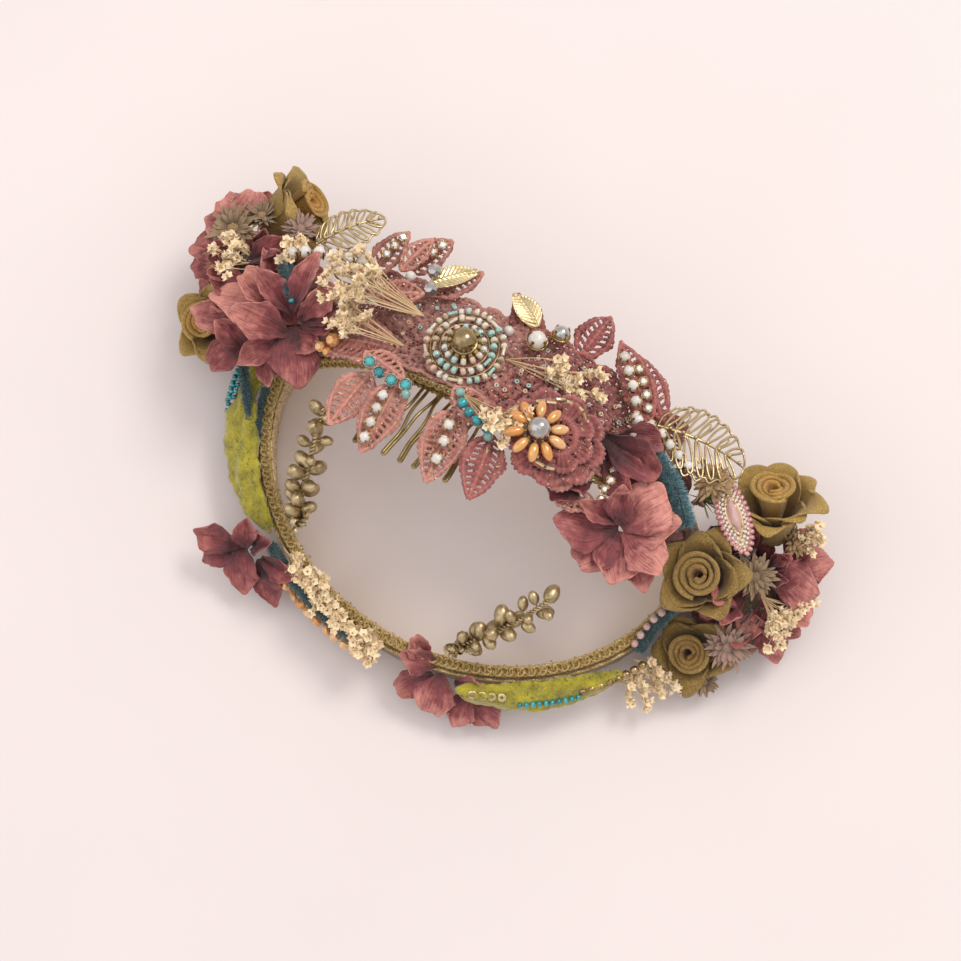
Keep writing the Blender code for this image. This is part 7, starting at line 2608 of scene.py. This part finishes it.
@dataclass(frozen=True)
class Stamped:
    """The two stamped metal leaves at the front."""

    left: Leaf = Leaf((36.5, -35.0, 40.0), (26.5, -45.0, 39.2), 6.5, seed=1)
    right: Leaf = Leaf((4.2, -38.0, 43.5), (14.6, -43.4, 42.4), 7.5, seed=2)

    def build(self) -> None:
        """Builds both leaves."""
        for name, node, leaf in (("gold_leaf_left", "brass_leaf_left", self.left),
                                 ("gold_leaf_right", "brass_leaf_right", self.right)):
            add_piece(name, stamped_leaf(leaf), Looks.GOLD_LEAF, [node], wall=0.35)


# ---------------------------------------------------------------- the studio


@dataclass(frozen=True)
class Studio:
    """The pale floor, the soft lights and the camera."""

    focal: float = 90.0
    distance: float = 676.0
    tilt: float = math.radians(12.0)
    roll: float = math.radians(29.6)
    aim: Place = (-0.4, 1.5, 15.0)
    floor_half: float = 1500.0

    def directions(self) -> tuple[Array, Array, Array]:
        """Returns the view's right, up and forward directions."""
        right = np.array([-math.cos(self.roll), -math.sin(self.roll), 0.0])
        flat_up = np.array([math.sin(self.roll), -math.cos(self.roll), 0.0])
        down = np.array([0.0, 0.0, -1.0])
        forward = flat_up * math.sin(self.tilt) + down * math.cos(self.tilt)
        return right, flat_up * math.cos(self.tilt) - down * math.sin(self.tilt), forward

    def camera(self) -> None:
        """Places the camera so that it looks at the aim from the given distance."""
        right, up, forward = self.directions()
        lens = bpy.data.cameras.new("view")
        lens.lens = self.focal
        lens.sensor_width = 36.0
        lens.clip_end = 20.0
        item = bpy.data.objects.new("view", lens)
        spot = (np.array(self.aim) - forward * self.distance + SHIFT) * MM
        matrix = np.eye(4)
        matrix[:3, 0], matrix[:3, 1], matrix[:3, 2], matrix[:3, 3] = right, up, -forward, spot
        item.matrix_world = Matrix(matrix.tolist())
        bpy.context.scene.collection.objects.link(item)
        bpy.context.scene.camera = item

    def floor(self) -> None:
        """Lays a large, flat, pale floor under the crown."""
        low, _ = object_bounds()
        x, y = np.meshgrid(np.linspace(-1.0, 1.0, 9), np.linspace(-1.0, 1.0, 9), indexing="ij")
        points = np.stack([x * self.floor_half, y * self.floor_half, np.full_like(x, low[2] / MM)], axis=-1)
        shape = surface(points)
        shape.quads = shape.quads[:, ::-1].copy()
        mesh = bpy.data.meshes.new("floor")
        mesh.from_pydata([tuple(p * MM) for p in shape.points], [], [tuple(q) for q in shape.quads.tolist()])
        mesh.materials.append(Looks.FLOOR.material())
        item = bpy.data.objects.new("floor", mesh)
        bpy.context.scene.collection.objects.link(item)
        item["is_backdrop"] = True

    def light(self, name: str, place: Place, size: float, power: float, colour: Colour) -> None:
        """Hangs a square soft light at a place in metres, turned to the crown."""
        lamp = bpy.data.lights.new(name, "AREA")
        lamp.size = size
        lamp.energy = power
        lamp.color = colour
        item = bpy.data.objects.new(name, lamp)
        back = unit(np.array(place) - np.array([0.0, 0.0, 0.03]))
        side = unit(np.cross(np.array([0.1, 1.0, 0.2]), back))
        matrix = np.eye(4)
        matrix[:3, 0], matrix[:3, 1], matrix[:3, 2], matrix[:3, 3] = side, np.cross(back, side), back, place
        item.matrix_world = Matrix(matrix.tolist())
        bpy.context.scene.collection.objects.link(item)

    def build(self) -> None:
        """Builds the floor, the lights, the sky and the camera."""
        self.camera()
        self.floor()
        right, up, _ = self.directions()
        key = right * 0.62 + up * 0.55 + np.array([0.0, 0.0, 1.05])
        self.light("key", tuple(key), 0.50, 8.0, (1.0, 0.97, 0.93))
        fill = -right * 0.9 - up * 0.15 + np.array([0.0, 0.0, 0.8])
        self.light("fill", tuple(fill), 1.1, 2.6, (0.90, 0.93, 1.0))
        self.light("top", (0.0, 0.0, 1.5), 1.2, 2.6, (1.0, 1.0, 1.0))
        world = bpy.data.worlds.new("sky")
        world.use_nodes = True
        world.node_tree.nodes["Background"].inputs["Color"].default_value = (0.95, 0.90, 0.89, 1.0)
        world.node_tree.nodes["Background"].inputs["Strength"].default_value = 0.80
        bpy.context.scene.world = world
        bpy.context.scene.view_settings.view_transform = "Standard"


def clear_others() -> None:
    """Removes whatever objects the file opened with, and keeps the measured model."""
    ours = set(frame["nodes"].values()) | set(frame["bodies"].values())
    for item in list(bpy.data.objects):
        if item not in ours:
            bpy.data.objects.remove(item, do_unlink=True)


def corners(box: Sequence) -> list[list[float]]:
    """Returns a box's two corners as plain lists."""
    return [[float(v) for v in corner] for corner in box]


def main() -> None:
    """Builds the crown's parts in order."""
    logging.basicConfig(level=logging.INFO, format="%(name)s %(message)s")
    clear_others()
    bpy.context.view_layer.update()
    Studio().build()
    CoveredLoop().build()
    WireComb().build()
    LaceWork().build()
    BeadWork().build()
    Stamped().build()
    LeftCluster().build()
    RightCluster().build()
    BackBand().build()
    BerrySprig("berry_sprig_left_wired", "berry_sprig_left", "sprig_left",
               ((37.0, 39.8, 19.5), (40.5, 28.0, 27.0), (43.8, 10.0, 42.0)), 1, 20).build()
    BerrySprig("berry_sprig_right_wired", "berry_sprig_right", "sprig_right",
               ((-15.5, 48.0, 19.5), (-25.5, 39.0, 26.0), (-35.4, 25.4, 40.0)), 2, 22).build()


if __name__ == "__main__":
    main()
